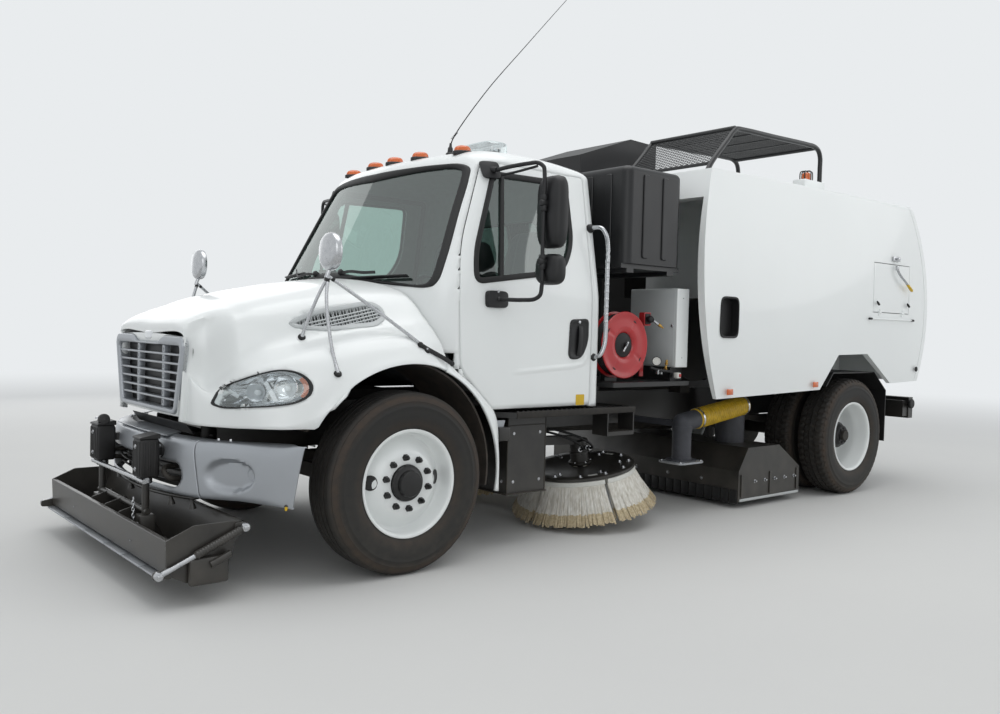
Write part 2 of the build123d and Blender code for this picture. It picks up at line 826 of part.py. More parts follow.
# Front bumper: outline in plan from the middle to the end, x from the front axle and y
bumper_low_z = 445
bumper_top_z = 735
bumper_wall = 42
bumper_outline = ((1115, 0), (1090, 360), (1010, 680), (610, 1200))
bumper_slot = (1130, 135)
bumper_slot_z = 557
bumper_recess = (155, 92)
bumper_recess_place = (879, 850, 582)
bumper_recess_depth = 26
with BuildPart() as front_bumper:
    for inset, mode in ((0, Mode.ADD), (bumper_wall, Mode.SUBTRACT)):
        low = bumper_low_z - (0 if mode is Mode.ADD else 1)
        with BuildSketch(Plane.XY.offset(low)):
            with BuildLine():
                half = [(front_axle_x + x - inset, max(y - inset, 0)) for x, y in bumper_outline]
                other = [(x, -y) for x, y in reversed(half[1:])]
                Polyline(*half, *other, close=True)
            make_face()
        extrude(amount=bumper_top_z - bumper_low_z + (0 if mode is Mode.ADD else 2), mode=mode)
    for side in (1, -1):
        side_plate(
            (
                (front_axle_x + 500, bumper_low_z - 1),
                (front_axle_x + 710, bumper_low_z - 1),
                (front_axle_x + 640, bumper_top_z + 1),
                (front_axle_x + 500, bumper_top_z + 1),
            ),
            sorted((side * 900, side * 1300)),
            mode=Mode.SUBTRACT,
        )
        (bend_x, bend_y), (end_x, end_y) = bumper_outline[2:]
        along = Vector(end_x - bend_x, side * (end_y - bend_y), 0).normalized()
        outward = Vector(side * along.Y, -side * along.X, 0)
        recess_x, recess_y, recess_z = bumper_recess_place
        recess_face = Vector(front_axle_x + recess_x, side * recess_y, recess_z) + outward * 10
        with BuildSketch(Plane(origin=recess_face, x_dir=along, z_dir=outward * -1)) as recess:
            Ellipse(*bumper_recess)
        extrude(recess.sketch, amount=bumper_recess_depth + 10, mode=Mode.SUBTRACT)
        block(
            (rail_front_x + fit_gap, front_axle_x + 1050),
            sorted((side * (hood_pivot_y - 24), side * rail_outer_y)),
            (rail_bottom + 5, rail_bottom + 65),
        )
        block(
            (hood_pivot_x - 30, hood_pivot_x + 30),
            sorted((side * (hood_pivot_y - 24), side * (hood_pivot_y - 4))),
            (rail_bottom + 60, hood_pivot_z + 28),
        )
        rod(
            (hood_pivot_x, side * (hood_pivot_y - 10), hood_pivot_z),
            (hood_pivot_x, side * (hood_pivot_y + 28), hood_pivot_z),
            hinge_pin_radius,
        )

# Magnet bar: an open tray with its magnet housing, end plates, tilt struts and two stems
magnet_half_width = 1020
magnet_end_wall = 10
magnet_wall = 8
magnet_stem_y = 380
magnet_stem_x = front_axle_x + 1168
magnet_stem_radius = 20
magnet_lift_low_z = 470
magnet_lift_top_z = 770
magnet_rise = 50
magnet_drop = 50
nose_x = front_axle_x + nose_overhang
tray_outline = (
    (nose_x - 60, 330),
    (nose_x - 67, 165),
    (nose_x - 166, 114),
    (nose_x - 361, 114),
    (nose_x - 361, 153),
    (nose_x - 430, 384),
)
with BuildPart() as magnet_bar:
    for start, end in zip(tray_outline[:-1], tray_outline[1:]):
        run = Vector(end[0] - start[0], 0, end[1] - start[1])
        normal = Vector(0, 1, 0).cross(run).normalized() * magnet_wall
        side_plate(
            (
                start,
                end,
                (end[0] + normal.X, end[1] + normal.Z),
                (start[0] + normal.X, start[1] + normal.Z),
            ),
            (-magnet_half_width, magnet_half_width),
        )
    block(
        (nose_x - 361, nose_x - 166),
        (-magnet_half_width, magnet_half_width),
        (114, 165),
    )
    for side in (1, -1):
        ends = sorted((side * magnet_half_width, side * (magnet_half_width + magnet_end_wall)))
        side_plate((*tray_outline, (nose_x - 196, 392)), ends)
        brace = sorted((side * 250, side * 260))
        side_plate(((nose_x - 75, 170), (nose_x - 66, 300), (nose_x - 330, 165)), brace)
        strut_y = side * (magnet_half_width + magnet_end_wall + 24)
        low_eye = (nose_x - 20, strut_y, 174)
        high_eye = (nose_x - 456, strut_y, 361)
        rod(low_eye, high_eye, 13)
        rod((nose_x - 190, strut_y, 247), high_eye, 23)
        for eye_x, eye_z in ((nose_x - 20, 174), (nose_x - 450, 358)):
            rod((eye_x, strut_y - 18, eye_z), (eye_x, strut_y + 18, eye_z), 20)
        lug_y = sorted((side * (magnet_half_width + 2), side * (magnet_half_width + magnet_end_wall + 8)))
        side_plate(((nose_x - 2, 160), (nose_x - 2, 188), (nose_x - 90, 200), (nose_x - 90, 160)), lug_y)
        side_plate(
            ((nose_x - 465, 340), (nose_x - 465, 376), (nose_x - 400, 376), (nose_x - 400, 300)), lug_y
        )
        rod(
            (magnet_stem_x, side * magnet_stem_y, 160),
            (magnet_stem_x, side * magnet_stem_y, magnet_lift_top_z - magnet_rise),
            magnet_stem_radius,
        )

    with BuildSketch(Plane.YZ.offset(front_axle_x + 950)) as slot:
        with Locations((0, bumper_slot_z)):
            SlotOverall(*bumper_slot)
    extrude(slot.sketch, amount=200, mode=Mode.SUBTRACT)

# Magnet lifts: two vertical housings on a carrier in front of the bumper
with BuildPart() as magnet_lifts:
    (middle_x, _), (bend_x, bend_y) = bumper_outline[:2]
    carrier_inner_y = magnet_stem_y - 55
    bumper_face_x = front_axle_x + middle_x + (bend_x - middle_x) * carrier_inner_y / bend_y
    for side in (1, -1):
        block(
            (magnet_stem_x - 55, magnet_stem_x + 55),
            sorted((side * (magnet_stem_y - 60), side * (magnet_stem_y + 60))),
            (magnet_lift_low_z, magnet_lift_top_z),
        )
        carrier_y = sorted((side * carrier_inner_y, side * (bend_y - 5)))
        block((bumper_face_x + fit_gap, magnet_stem_x - 40), carrier_y, (640, 700))
    block(
        (magnet_stem_x - 40, magnet_stem_x + 30),
        (-magnet_stem_y, magnet_stem_y),
        (560, 600),
    )
    for side in (1, -1):
        rod(
            (magnet_stem_x, side * magnet_stem_y, magnet_lift_low_z),
            (magnet_stem_x, side * magnet_stem_y, magnet_lift_top_z),
            magnet_stem_radius + fit_gap,
            mode=Mode.SUBTRACT,
        )


# Door and window outlines in x from the front axle and z
door_outline = (
    (-395, 1130),
    (-400, 1650),
    (-640, 2385),
    (-1500, 2385),
    (-1520, 2300),
    (-1490, 1600),
    (-1490, 890),
    (-655, 890),
)
window_outline = (
    (-546, 1668),
    (-512, 1780),
    (-725, 2310),
    (-1342, 2310),
    (-1352, 1970),
    (-1232, 1752),
    (-1160, 1668),
)


def grown(points, amount):
    """Outline moved outwards by amount, as x and z from the front axle."""
    with BuildSketch() as made:
        with BuildLine():
            Polyline(*points, close=True)
        make_face()
        offset(amount=amount, kind=Kind.INTERSECTION)
    return made.sketch


def side_prism(points, amount, y_range):
    """Prism across the truck with an outline given from the front axle, grown by amount."""
    low, high = sorted(y_range)
    with BuildPart() as made:
        with BuildSketch(Plane(origin=(front_axle_x, low, 0), x_dir=(1, 0, 0), z_dir=(0, -1, 0))):
            add(grown(points, amount))
        extrude(amount=-(high - low))
    return made.part


windscreen_corners = ((-900, 1665), (-905, 1690), (-790, 2350), (790, 2350), (905, 1690), (900, 1665))


def screen_prism(amount):
    """Prism along x with the windscreen's outline, grown by amount."""
    with BuildPart() as made:
        with BuildSketch(Plane.YZ.offset(front_axle_x - 900)):
            with BuildLine():
                Polyline(*windscreen_corners, close=True)
            make_face()
            offset(amount=amount, kind=Kind.INTERSECTION)
        extrude(amount=1200)
    return made.part


def rear_window_prism(amount):
    """Prism along x with the back window's outline, grown by amount."""
    with BuildPart() as made:
        with BuildSketch(Plane.YZ.offset(cab_back_x - 100)):
            with Locations((0, 2010)):
                Rectangle(1100 + 2 * amount, 420 + 2 * amount)
        extrude(amount=300)
    return made.part


cab_outer = cab_body(0, cab_sill_z)
cab_inner = cab_body(cab_wall, cab_floor_z + cab_floor_wall)
cab_behind_door = cab_body(door_wall, cab_sill_z - 20)
cab_gap_skin = cab_body(door_wall + 4, cab_sill_z - 30)
glass_out = cab_body(glass_depth, cab_sill_z)
glass_in = cab_body(glass_depth + glass_wall, cab_sill_z - 20)

with BuildPart() as cab_shell:
    add(cab_outer)
    add(cab_inner, mode=Mode.SUBTRACT)
    block(
        (cab_back_x - 50, front_axle_x + 100),
        (-cab_half_width + 110, cab_half_width - 110),
        (cab_sill_z - 50, cab_floor_z),
        mode=Mode.SUBTRACT,
    )
    side_plate(
        (
            (front_axle_x + 100, cab_sill_z - 20),
            (front_axle_x - 650, cab_sill_z - 20),
            (front_axle_x - 382, 1130),
            (front_axle_x - 382, 1240),
            (front_axle_x + 100, 1240),
        ),
        (-cab_half_width - 10, cab_half_width + 10),
        mode=Mode.SUBTRACT,
    )
    add(screen_prism(0), mode=Mode.SUBTRACT)
    add(rear_window_prism(0), mode=Mode.SUBTRACT)

door_cut = side_prism(door_outline, panel_gap, (300, 1200))
with BuildPart() as door_pocket:
    add(cab_outer)
    add(cab_gap_skin, mode=Mode.SUBTRACT)
    add(door_cut, mode=Mode.INTERSECT)
with BuildPart() as cab_pillars:
    add(cab_shell.part)
    add(door_pocket.part, mode=Mode.SUBTRACT)
    add(mirror(door_pocket.part, about=Plane.XZ, mode=Mode.PRIVATE), mode=Mode.SUBTRACT)
with BuildPart() as glass_openings:
    add(screen_prism(-fit_gap))
    add(rear_window_prism(-fit_gap))
with BuildPart() as cab_glass:
    add(glass_out)
    add(glass_in, mode=Mode.SUBTRACT)
    add(glass_openings.part, mode=Mode.INTERSECT)


# Doors: hinge pins stand at the skin, in the gap between door and pillar
door_hinge_heights = (1300, 1540)
hinge_x = door_front_x + panel_gap / 2
hinge_y = cab_half_width + 4
hinge_knuckle_radius = 9
hinge_knuckle_height = 34
door_pin_radius = 5


def hinge_pocket(side, low, high):
    """Round pocket cleared for one hinge knuckle."""
    with BuildPart() as made:
        rod((hinge_x, side * hinge_y, low), (hinge_x, side * hinge_y, high), hinge_knuckle_radius + 1.5)
    return made.part


def hinge_leaf(side, low, high, towards):
    """Knuckle with the leaf that carries it, on the side given by towards."""
    with BuildPart() as made:
        rod((hinge_x, side * hinge_y, low), (hinge_x, side * hinge_y, high), hinge_knuckle_radius)
        block(
            sorted((hinge_x, hinge_x + towards * 32)),
            sorted((side * (hinge_y - 7), side * (hinge_y + 5))),
            (low, high),
        )
    return made.part


with BuildPart() as cab_shell_hinged:
    add(cab_pillars.part)
    for side in (1, -1):
        for z in door_hinge_heights:
            middle = z + hinge_knuckle_height
            add(hinge_pocket(side, middle - 2, middle + hinge_knuckle_height + 2), mode=Mode.SUBTRACT)
            add(hinge_leaf(side, z, middle, 1))
            rod(
                (hinge_x, side * hinge_y, z),
                (hinge_x, side * hinge_y, middle + hinge_knuckle_height),
                door_pin_radius,
            )


def door(side):
    """Door: skin of one depth, its window cut, with the upper half of each hinge."""
    with BuildPart() as made:
        add(cab_outer)
        add(cab_behind_door, mode=Mode.SUBTRACT)
        add(side_prism(door_outline, 0, (side * 300, side * 1200)), mode=Mode.INTERSECT)
        add(side_prism(window_outline, 0, (side * 300, side * 1200)), mode=Mode.SUBTRACT)
        for z in door_hinge_heights:
            middle = z + hinge_knuckle_height
            top = middle + hinge_knuckle_height
            add(hinge_pocket(side, z - 2, middle + 1), mode=Mode.SUBTRACT)
            add(hinge_leaf(side, middle + fit_gap, top, -1))
            rod(
                (hinge_x, side * hinge_y, middle - 1),
                (hinge_x, side * hinge_y, top + 1),
                door_pin_radius + fit_gap,
                mode=Mode.SUBTRACT,
            )
    return made.part


def door_glass(side):
    """Pane that fills the door's window."""
    with BuildPart() as made:
        add(glass_out)
        add(glass_in, mode=Mode.SUBTRACT)
        add(side_prism(window_outline, -fit_gap, (side * 300, side * 1200)), mode=Mode.INTERSECT)
    return made.part


# Door mirrors: two heads on a tube that bows out from the door's front frame
mirror_post_x = front_axle_x - 790
mirror_post_y = 1330
mirror_top_z = 2350
mirror_low_z = 1555
mirror_tube_radius = 12
mirror_half_width = 105
mirror_heads = ((1860, 2290, 90), (1645, 1825, 80))


def door_mirror(side):
    """Mirror tube with its two mounts on the door and its two heads."""
    top = (mirror_post_x, side * mirror_post_y, mirror_top_z)
    low = (mirror_post_x, side * mirror_post_y, mirror_low_z)
    with BuildPart() as made:
        rod(top, low, mirror_tube_radius)
        rod((front_axle_x - 660, side * 925, 2290), top, mirror_tube_radius)
        rod((front_axle_x - 600, side * 1045, mirror_low_z), low, mirror_tube_radius)
        for point in (top, low):
            with Locations(point):
                Sphere(mirror_tube_radius)
        for low_z, high_z, depth in mirror_heads:
            block(
                (mirror_post_x - depth, mirror_post_x + 5),
                sorted((side * (mirror_post_y - mirror_half_width), side * (mirror_post_y + mirror_half_width))),
                (low_z, high_z),
            )
        add(cab_outer, mode=Mode.SUBTRACT)
    return made.part


with BuildPart() as door_left:
    add(door(1))
with BuildPart() as door_right:
    add(door(-1))
with BuildPart() as door_glass_left:
    add(door_glass(1))
with BuildPart() as door_glass_right:
    add(door_glass(-1))
with BuildPart() as mirror_left:
    add(door_mirror(1))
with BuildPart() as mirror_right:
    add(door_mirror(-1))

# Dashboard, seats and steering wheel, seen through the glass
cab_lining = cab_body(cab_wall + fit_gap, cab_floor_z + cab_floor_wall + fit_gap)
floor_top_z = cab_floor_z + cab_floor_wall + fit_gap
dash_rear_x = front_axle_x - 560
with BuildPart() as dash_block:
    add(cab_lining)
    block((dash_rear_x, front_axle_x + 200), (-930, 930), (1230, 1570), mode=Mode.INTERSECT)

wheel_centre = (front_axle_x - 760, 450, 1600)
wheel_tilt = 55
with BuildPart() as dashboard:
    add(dash_block.part)
    column = Vector(math.cos(math.radians(wheel_tilt)), 0, -math.sin(math.radians(wheel_tilt)))
    hub_end = Vector(*wheel_centre) + column * 330
    rod(wheel_centre, tuple(hub_end), 28)
    spoke_plane = Plane(origin=wheel_centre, x_dir=(0, 1, 0), z_dir=column)
    with BuildSketch(spoke_plane):
        Rectangle(420, 34)
    extrude(amount=14)
    with BuildSketch(spoke_plane):
        Circle(225)
        Circle(198, mode=Mode.SUBTRACT)
    extrude(amount=26)

with BuildPart() as seats:
    for y in (450, -450):
        block((front_axle_x - 1400, front_axle_x - 1100), (y - 160, y + 160), (floor_top_z, 1340))
        block((front_axle_x - 1440, front_axle_x - 990), (y - 240, y + 240), (1330, 1450))
        side_plate(
            (
                (front_axle_x - 1330, 1440),
                (front_axle_x - 1450, 1440),
                (front_axle_x - 1500, 2080),
                (front_axle_x - 1420, 2080),
            ),
            (y - 230, y + 230),
        )

# Roof: marker lamps, light bar and antenna, seated on the roof skin
light_bar_x = front_axle_x - 1330
marker_lamp_places = ((-672, 666), (-618, 277), (-600, 0), (-618, -277), (-672, -666))
with BuildPart() as roof_lamps:
    for x, y in marker_lamp_places:
        with Locations((front_axle_x + x - 25, y, 2530)):
            Cylinder(32, 260)
    block(
        (front_axle_x - 900, front_axle_x),
        (-900, 900),
        (2400, 2700),
        mode=Mode.INTERSECT,
    )
    block((front_axle_x - 900, front_axle_x), (-900, 900), (2555, 2800), mode=Mode.SUBTRACT)
    with BuildSketch(Plane.XY.offset(2500)):
        with Locations((light_bar_x, 120)):
            SlotOverall(440, 190, rotation=90)
    extrude(amount=180)
    add(cab_outer, mode=Mode.SUBTRACT)

antenna_foot = (front_axle_x - 857, 300, 2500)
antenna_knee = (front_axle_x - 870, 300, 2640)
antenna_top = (front_axle_x - 1930, 300, 3880)
with BuildPart() as antenna:
    rod(antenna_foot, antenna_knee, 22)
    rod(antenna_knee, antenna_top, 5)
    add(cab_outer, mode=Mode.SUBTRACT)

# Grab handles behind the doors, standing off the cab's rear corners
with BuildPart() as grab_handles:
    for side in (1, -1):
        y = side * (cab_half_width + 52)
        x = cab_back_x + 14
        rod((x, y, 1320), (x, y, 1960), 15)
        rod((x, y, 1320), (x + 50, side * (cab_half_width - 20), 1200), 15)
        rod((x, y, 1960), (x + 30, side * (cab_half_width - 100), 2060), 15)
        for z in (1320, 1960):
            with Locations((x, y, z)):
                Sphere(15)
    add(cab_outer, mode=Mode.SUBTRACT)

# Running boards with their brackets, a box below and a hanging step behind
side_box_front_x = front_axle_x - 842
board_front_x = front_axle_x - 715
board_rear_x = front_axle_x - 1910
board_low_z = 828
board_top_z = 862
board_outer_y = 1100
board_inner_y = 560
with BuildPart() as running_boards:
    for side in (1, -1):
        with BuildSketch(Plane.XY.offset(board_low_z)):
            with BuildLine():
                Polyline(
                    (board_front_x, side * board_inner_y),
                    (board_front_x, side * (board_outer_y - 130)),
                    (board_front_x - 110, side * board_outer_y),
                    (board_rear_x, side * board_outer_y),
                    (board_rear_x, side * board_inner_y),
                    close=True,
                )
            make_face()
        extrude(amount=board_top_z - board_low_z)
        for x in (board_front_x - 60, board_rear_x + 200):
            block(
                (x - 25, x + 25),
                sorted((side * (rail_outer_y + fit_gap), side * (board_inner_y + 40))),
                (board_low_z - 60, board_low_z + 1),
            )
        step_y = sorted((side * (board_outer_y - 140), side * board_outer_y))
        block((board_rear_x + 10, board_rear_x + 275), step_y, (672, 698))
        for x in (board_rear_x + 10, board_rear_x + 265):
            block((x, x + 10), step_y, (672, board_low_z + 1))
        block(
            (side_box_front_x - 320, side_box_front_x),
            sorted((side * 640, side * 1000)),
            (335, board_low_z - fit_gap),
        )

# Frame behind the cab: legs on the rails, a low shelf and a high shelf
stand_front_x = front_axle_x - 1700
stand_rear_x = front_axle_x - 2300
shelf_low_z = 1000
shelf_wall = 32
shelf_half_width = 1120
tank_low_z = 1840
reel_centre = (front_axle_x - 1840, 1000, 1286)
reel_radius = 232
reel_half_width = 55
reel_pin_radius = 14
control_box_front_x = front_axle_x - 2330
control_box_rear_x = front_axle_x - 2462
with BuildPart() as tank_frame:
    for x in (stand_front_x - 90, stand_rear_x + 90):
        for side in (1, -1):
            block(
                (x - 35, x + 35),
                sorted((side * (rail_inner_y + 5), side * (rail_outer_y - 5))),
                (rail_top + fit_gap, tank_low_z - 30),
            )
        block((x - 35, x + 35), (-shelf_half_width, shelf_half_width), (tank_low_z - 60, tank_low_z - 30))
    block(
        (stand_rear_x, stand_front_x),
        (-shelf_half_width, shelf_half_width),
        (tank_low_z - 31, tank_low_z - fit_gap),
    )
    for side in (1, -1):
        block(
            (control_box_rear_x, stand_front_x + 40),
            sorted((side * (rail_inner_y + 5), side * shelf_half_width)),
            (shelf_low_z, shelf_low_z + shelf_wall),
        )
    reel_x, reel_y, reel_z = reel_centre
    stand_y = (reel_y - reel_half_width - 60, reel_y - reel_half_width - 20)
    block((reel_x - 60, reel_x + 60), stand_y, (shelf_low_z, reel_z + 50))
    rod((reel_x, stand_y[0], reel_z), (reel_x, reel_y + reel_half_width + 15, reel_z), reel_pin_radius)
    block(
        (control_box_rear_x, control_box_front_x),
        (700, 1050),
        (shelf_low_z, 1130 - fit_gap),
    )

with BuildPart() as hose_reel:
    low_y = reel_y - reel_half_width
    high_y = reel_y + reel_half_width
    for start in (low_y, high_y - 12):
        rod((reel_x, start, reel_z), (reel_x, start + 12, reel_z), reel_radius)
    rod((reel_x, low_y, reel_z), (reel_x, high_y, reel_z), 120)
    rod((reel_x, low_y, reel_z), (reel_x, high_y, reel_z), reel_pin_radius + fit_gap, mode=Mode.SUBTRACT)

with BuildPart() as control_box:
    block((control_box_rear_x, control_box_front_x), (650, 1100), (1130, 1700))

with BuildPart() as water_tanks:
    for side in (1, -1):
        block(
            (stand_rear_x + 10, stand_front_x - 10),
            sorted((side * 420, side * 1150)),
            (tank_low_z, 2500),
        )
    fillet(water_tanks.edges().filter_by(Axis.Z), 60)
    fillet(water_tanks.faces().sort_by(Axis.Z)[-2:].edges(), 45)

# Auxiliary engine with its blower, in the bay at the hopper's front
with BuildPart() as aux_engine:
    block((front_axle_x - 3360, front_axle_x - 2620), (-520, 420), (rail_top + fit_gap, 1650))
    rod((front_axle_x - 3000, 419, 1330), (front_axle_x - 3000, 760, 1330), 330)
    block((front_axle_x - 2900, front_axle_x - 2640), (-480, 300), (1640, 1980))
    block(
        (front_axle_x - 3060, front_axle_x - 2940),
        (540, 660),
        (900, 1100),
    )

# Pickup head: a low box open below, hung from the rails on links
head_outline = (
    (head_front_x, head_low_z),
    (head_front_x, 300),
    (head_front_x - 120, head_top_z),
    (head_front_x - 550, head_top_z),
    (head_rear_x, 280),
    (head_rear_x, head_low_z),
)
with BuildPart() as pickup_head:
    side_plate(head_outline, (-head_half_width, head_half_width))
    with BuildSketch(side_plane(-head_half_width + head_wall)):
        with BuildLine():
            Polyline(
                (head_front_x - head_wall, head_low_z - 1),
                (head_front_x - head_wall, 296),
                (head_front_x - 125, head_top_z - head_wall),
                (head_front_x - 546, head_top_z - head_wall),
                (head_rear_x + head_wall, 273),
                (head_rear_x + head_wall, head_low_z - 1),
                close=True,
            )
        make_face()
    extrude(amount=-2 * (head_half_width - head_wall), mode=Mode.SUBTRACT)
    for side in (1, -1):
        for x in (head_front_x - 180, head_front_x - 480):
            block(
                (x - 25, x + 25),
                sorted((side * 375, side * 415)),
                (head_top_z - 1, rail_bottom - fit_gap),
            )

# Hoses: the blast pipe with its yellow hose, and the two large hoses of the pickup head
pipe_x = front_axle_x - 2640
pipe_y = 930
pipe_radius = 72
hose_radius = 80
hose_length = 620
hose_run = Vector(-600, 0, 85).normalized()
hose_start = Vector(pipe_x, pipe_y, 700) + hose_run * 155
with BuildPart() as ducts:
    rod((pipe_x, pipe_y, 400), (pipe_x, pipe_y, 700), pipe_radius)
    rod((pipe_x, pipe_y, 400), (pipe_x, pipe_y, 425), 115)
    with Locations((pipe_x, pipe_y, 700)):
        Sphere(pipe_radius)
    rod((pipe_x, pipe_y, 700), hose_start, pipe_radius)
    block((pipe_x - 40, pipe_x + 40), (rail_outer_y + fit_gap, pipe_y), (670, 710))
    for x, y, radius in ((-3620, -720, 150), (-3560, 700, 120)):
        rod((front_axle_x + x, y, head_top_z + fit_gap), (front_axle_x + x, y, 1243), radius)
with BuildPart() as blast_hose:
    rod(hose_start + hose_run * fit_gap, hose_start + hose_run * hose_length, hose_radius)


def front_edge_x(z):
    """x of the hopper side panel's front edge at a height."""
    drop = z - hopper_front_z
    return hopper_front_x - hopper_front_radius + math.sqrt(hopper_front_radius**2 - drop**2)


def tail_edge_x(z, shift=0):
    """x of the hopper's rear edge at a height, moved forwards by shift."""
    drop = z - tail_bulge_z
    return tail_x + shift + tail_radius - math.sqrt(tail_radius**2 - drop**2)


def roof_z(x):
    """Height of the hopper's roof at an x."""
    front = front_edge_x(hopper_top_front_z)
    rear = tail_edge_x(hopper_top_rear_z)
    return hopper_top_front_z + (front - x) / (front - rear) * (hopper_top_rear_z - hopper_top_front_z)


def base_z(x):
    """Height of the hopper side panel's lower edge at an x."""
    front = front_edge_x(hopper_base_front_z)
    rear = tail_edge_x(hopper_base_rear_z)
    return hopper_base_front_z + (front - x) / (front - rear) * (hopper_base_rear_z - hopper_base_front_z)


def hopper_section():
    """Hopper's barrel section in y and z as a prism along the truck."""
    with BuildPart() as made:
        with BuildSketch(Plane.YZ.offset(tail_x - 100)):
            with BuildLine():
                base = hopper_base_half_width
                edge = 60
                top = hopper_top_rear_z + 10
                ThreePointArc((base, 850), (hopper_half_width, hopper_waist_z), (base, top - edge))
                ThreePointArc((base, top - edge), (base - 18, top - 18), (base - edge, top))
                Line((base - edge, top), (-base + edge, top))
                ThreePointArc((-base + edge, top), (-base + 18, top - 18), (-base, top - edge))
                ThreePointArc((-base, top - edge), (-hopper_half_width, hopper_waist_z), (-base, 850))
                Line((-base, 850), (base, 850))
            make_face()
        extrude(amount=3700)
    return made.part


def hopper_outline():
    """Side outline of the hopper and its rear door as a prism."""
    front_low = (front_edge_x(hopper_base_front_z), hopper_base_front_z)
    front_top = (front_edge_x(hopper_top_front_z), hopper_top_front_z)
    rear_top = (tail_edge_x(hopper_top_rear_z), hopper_top_rear_z)
    rear_low = (tail_edge_x(hopper_base_rear_z), hopper_base_rear_z)
    with BuildPart() as made:
        with BuildSketch(side_plane(-hopper_half_width - 10)):
            with BuildLine():
                ThreePointArc(front_low, (hopper_front_x, hopper_front_z), front_top)
                Line(front_top, rear_top)
                ThreePointArc(rear_top, (tail_x, tail_bulge_z), rear_low)
                Line(rear_low, front_low)
            make_face()
        extrude(amount=-2 * (hopper_half_width + 10))
    return made.part


def ahead_of_tail(shift):
    """Prism of all that lies further than shift in front of the hopper's rear edge."""
    low = (tail_edge_x(700, shift), 700)
    high = (tail_edge_x(2800, shift), 2800)
    with BuildPart() as made:
        with BuildSketch(side_plane(-hopper_half_width - 50)):
            with BuildLine():
                ThreePointArc(low, (tail_x + shift, tail_bulge_z), high)
                Polyline(high, (nose_x, 2800), (nose_x, 700), low)
            make_face()
        extrude(amount=-2 * (hopper_half_width + 50))
    return made.part


with BuildPart() as hopper_form:
    add(hopper_outline())
    add(hopper_section(), mode=Mode.INTERSECT)
inspection_outline = ((-4850, 1615), (-4850, 2050), (-5500, 2050), (-5500, 1615))
inspection_wall = 26
inspection_hinge_z = 1612
inspection_hinge_y = hopper_half_width + 4
inspection_knuckles = ((-5400, -5360), (-4980, -4940))
inner_half = hopper_half_width - hopper_wall
cavity_front_x = bulkhead_x - hopper_wall
arch_points = ((-4050, 800), (-4063, 942), (-4315, 1229), (-4793, 1239), (-5252, 971), (-5300, 800))
hinge_line_x = tail_edge_x(hopper_top_rear_z) + rear_door_wall + panel_gap / 2
hinge_line_z = hopper_top_rear_z + 16
rear_knuckle_radius = 15
rear_pin_radius = 8
rear_knuckle_places = (-900, -300, 300, 900)
side_hole = (215, 292)
side_hole_x = -2748
side_hole_z = 1504
side_hole_radius = 65

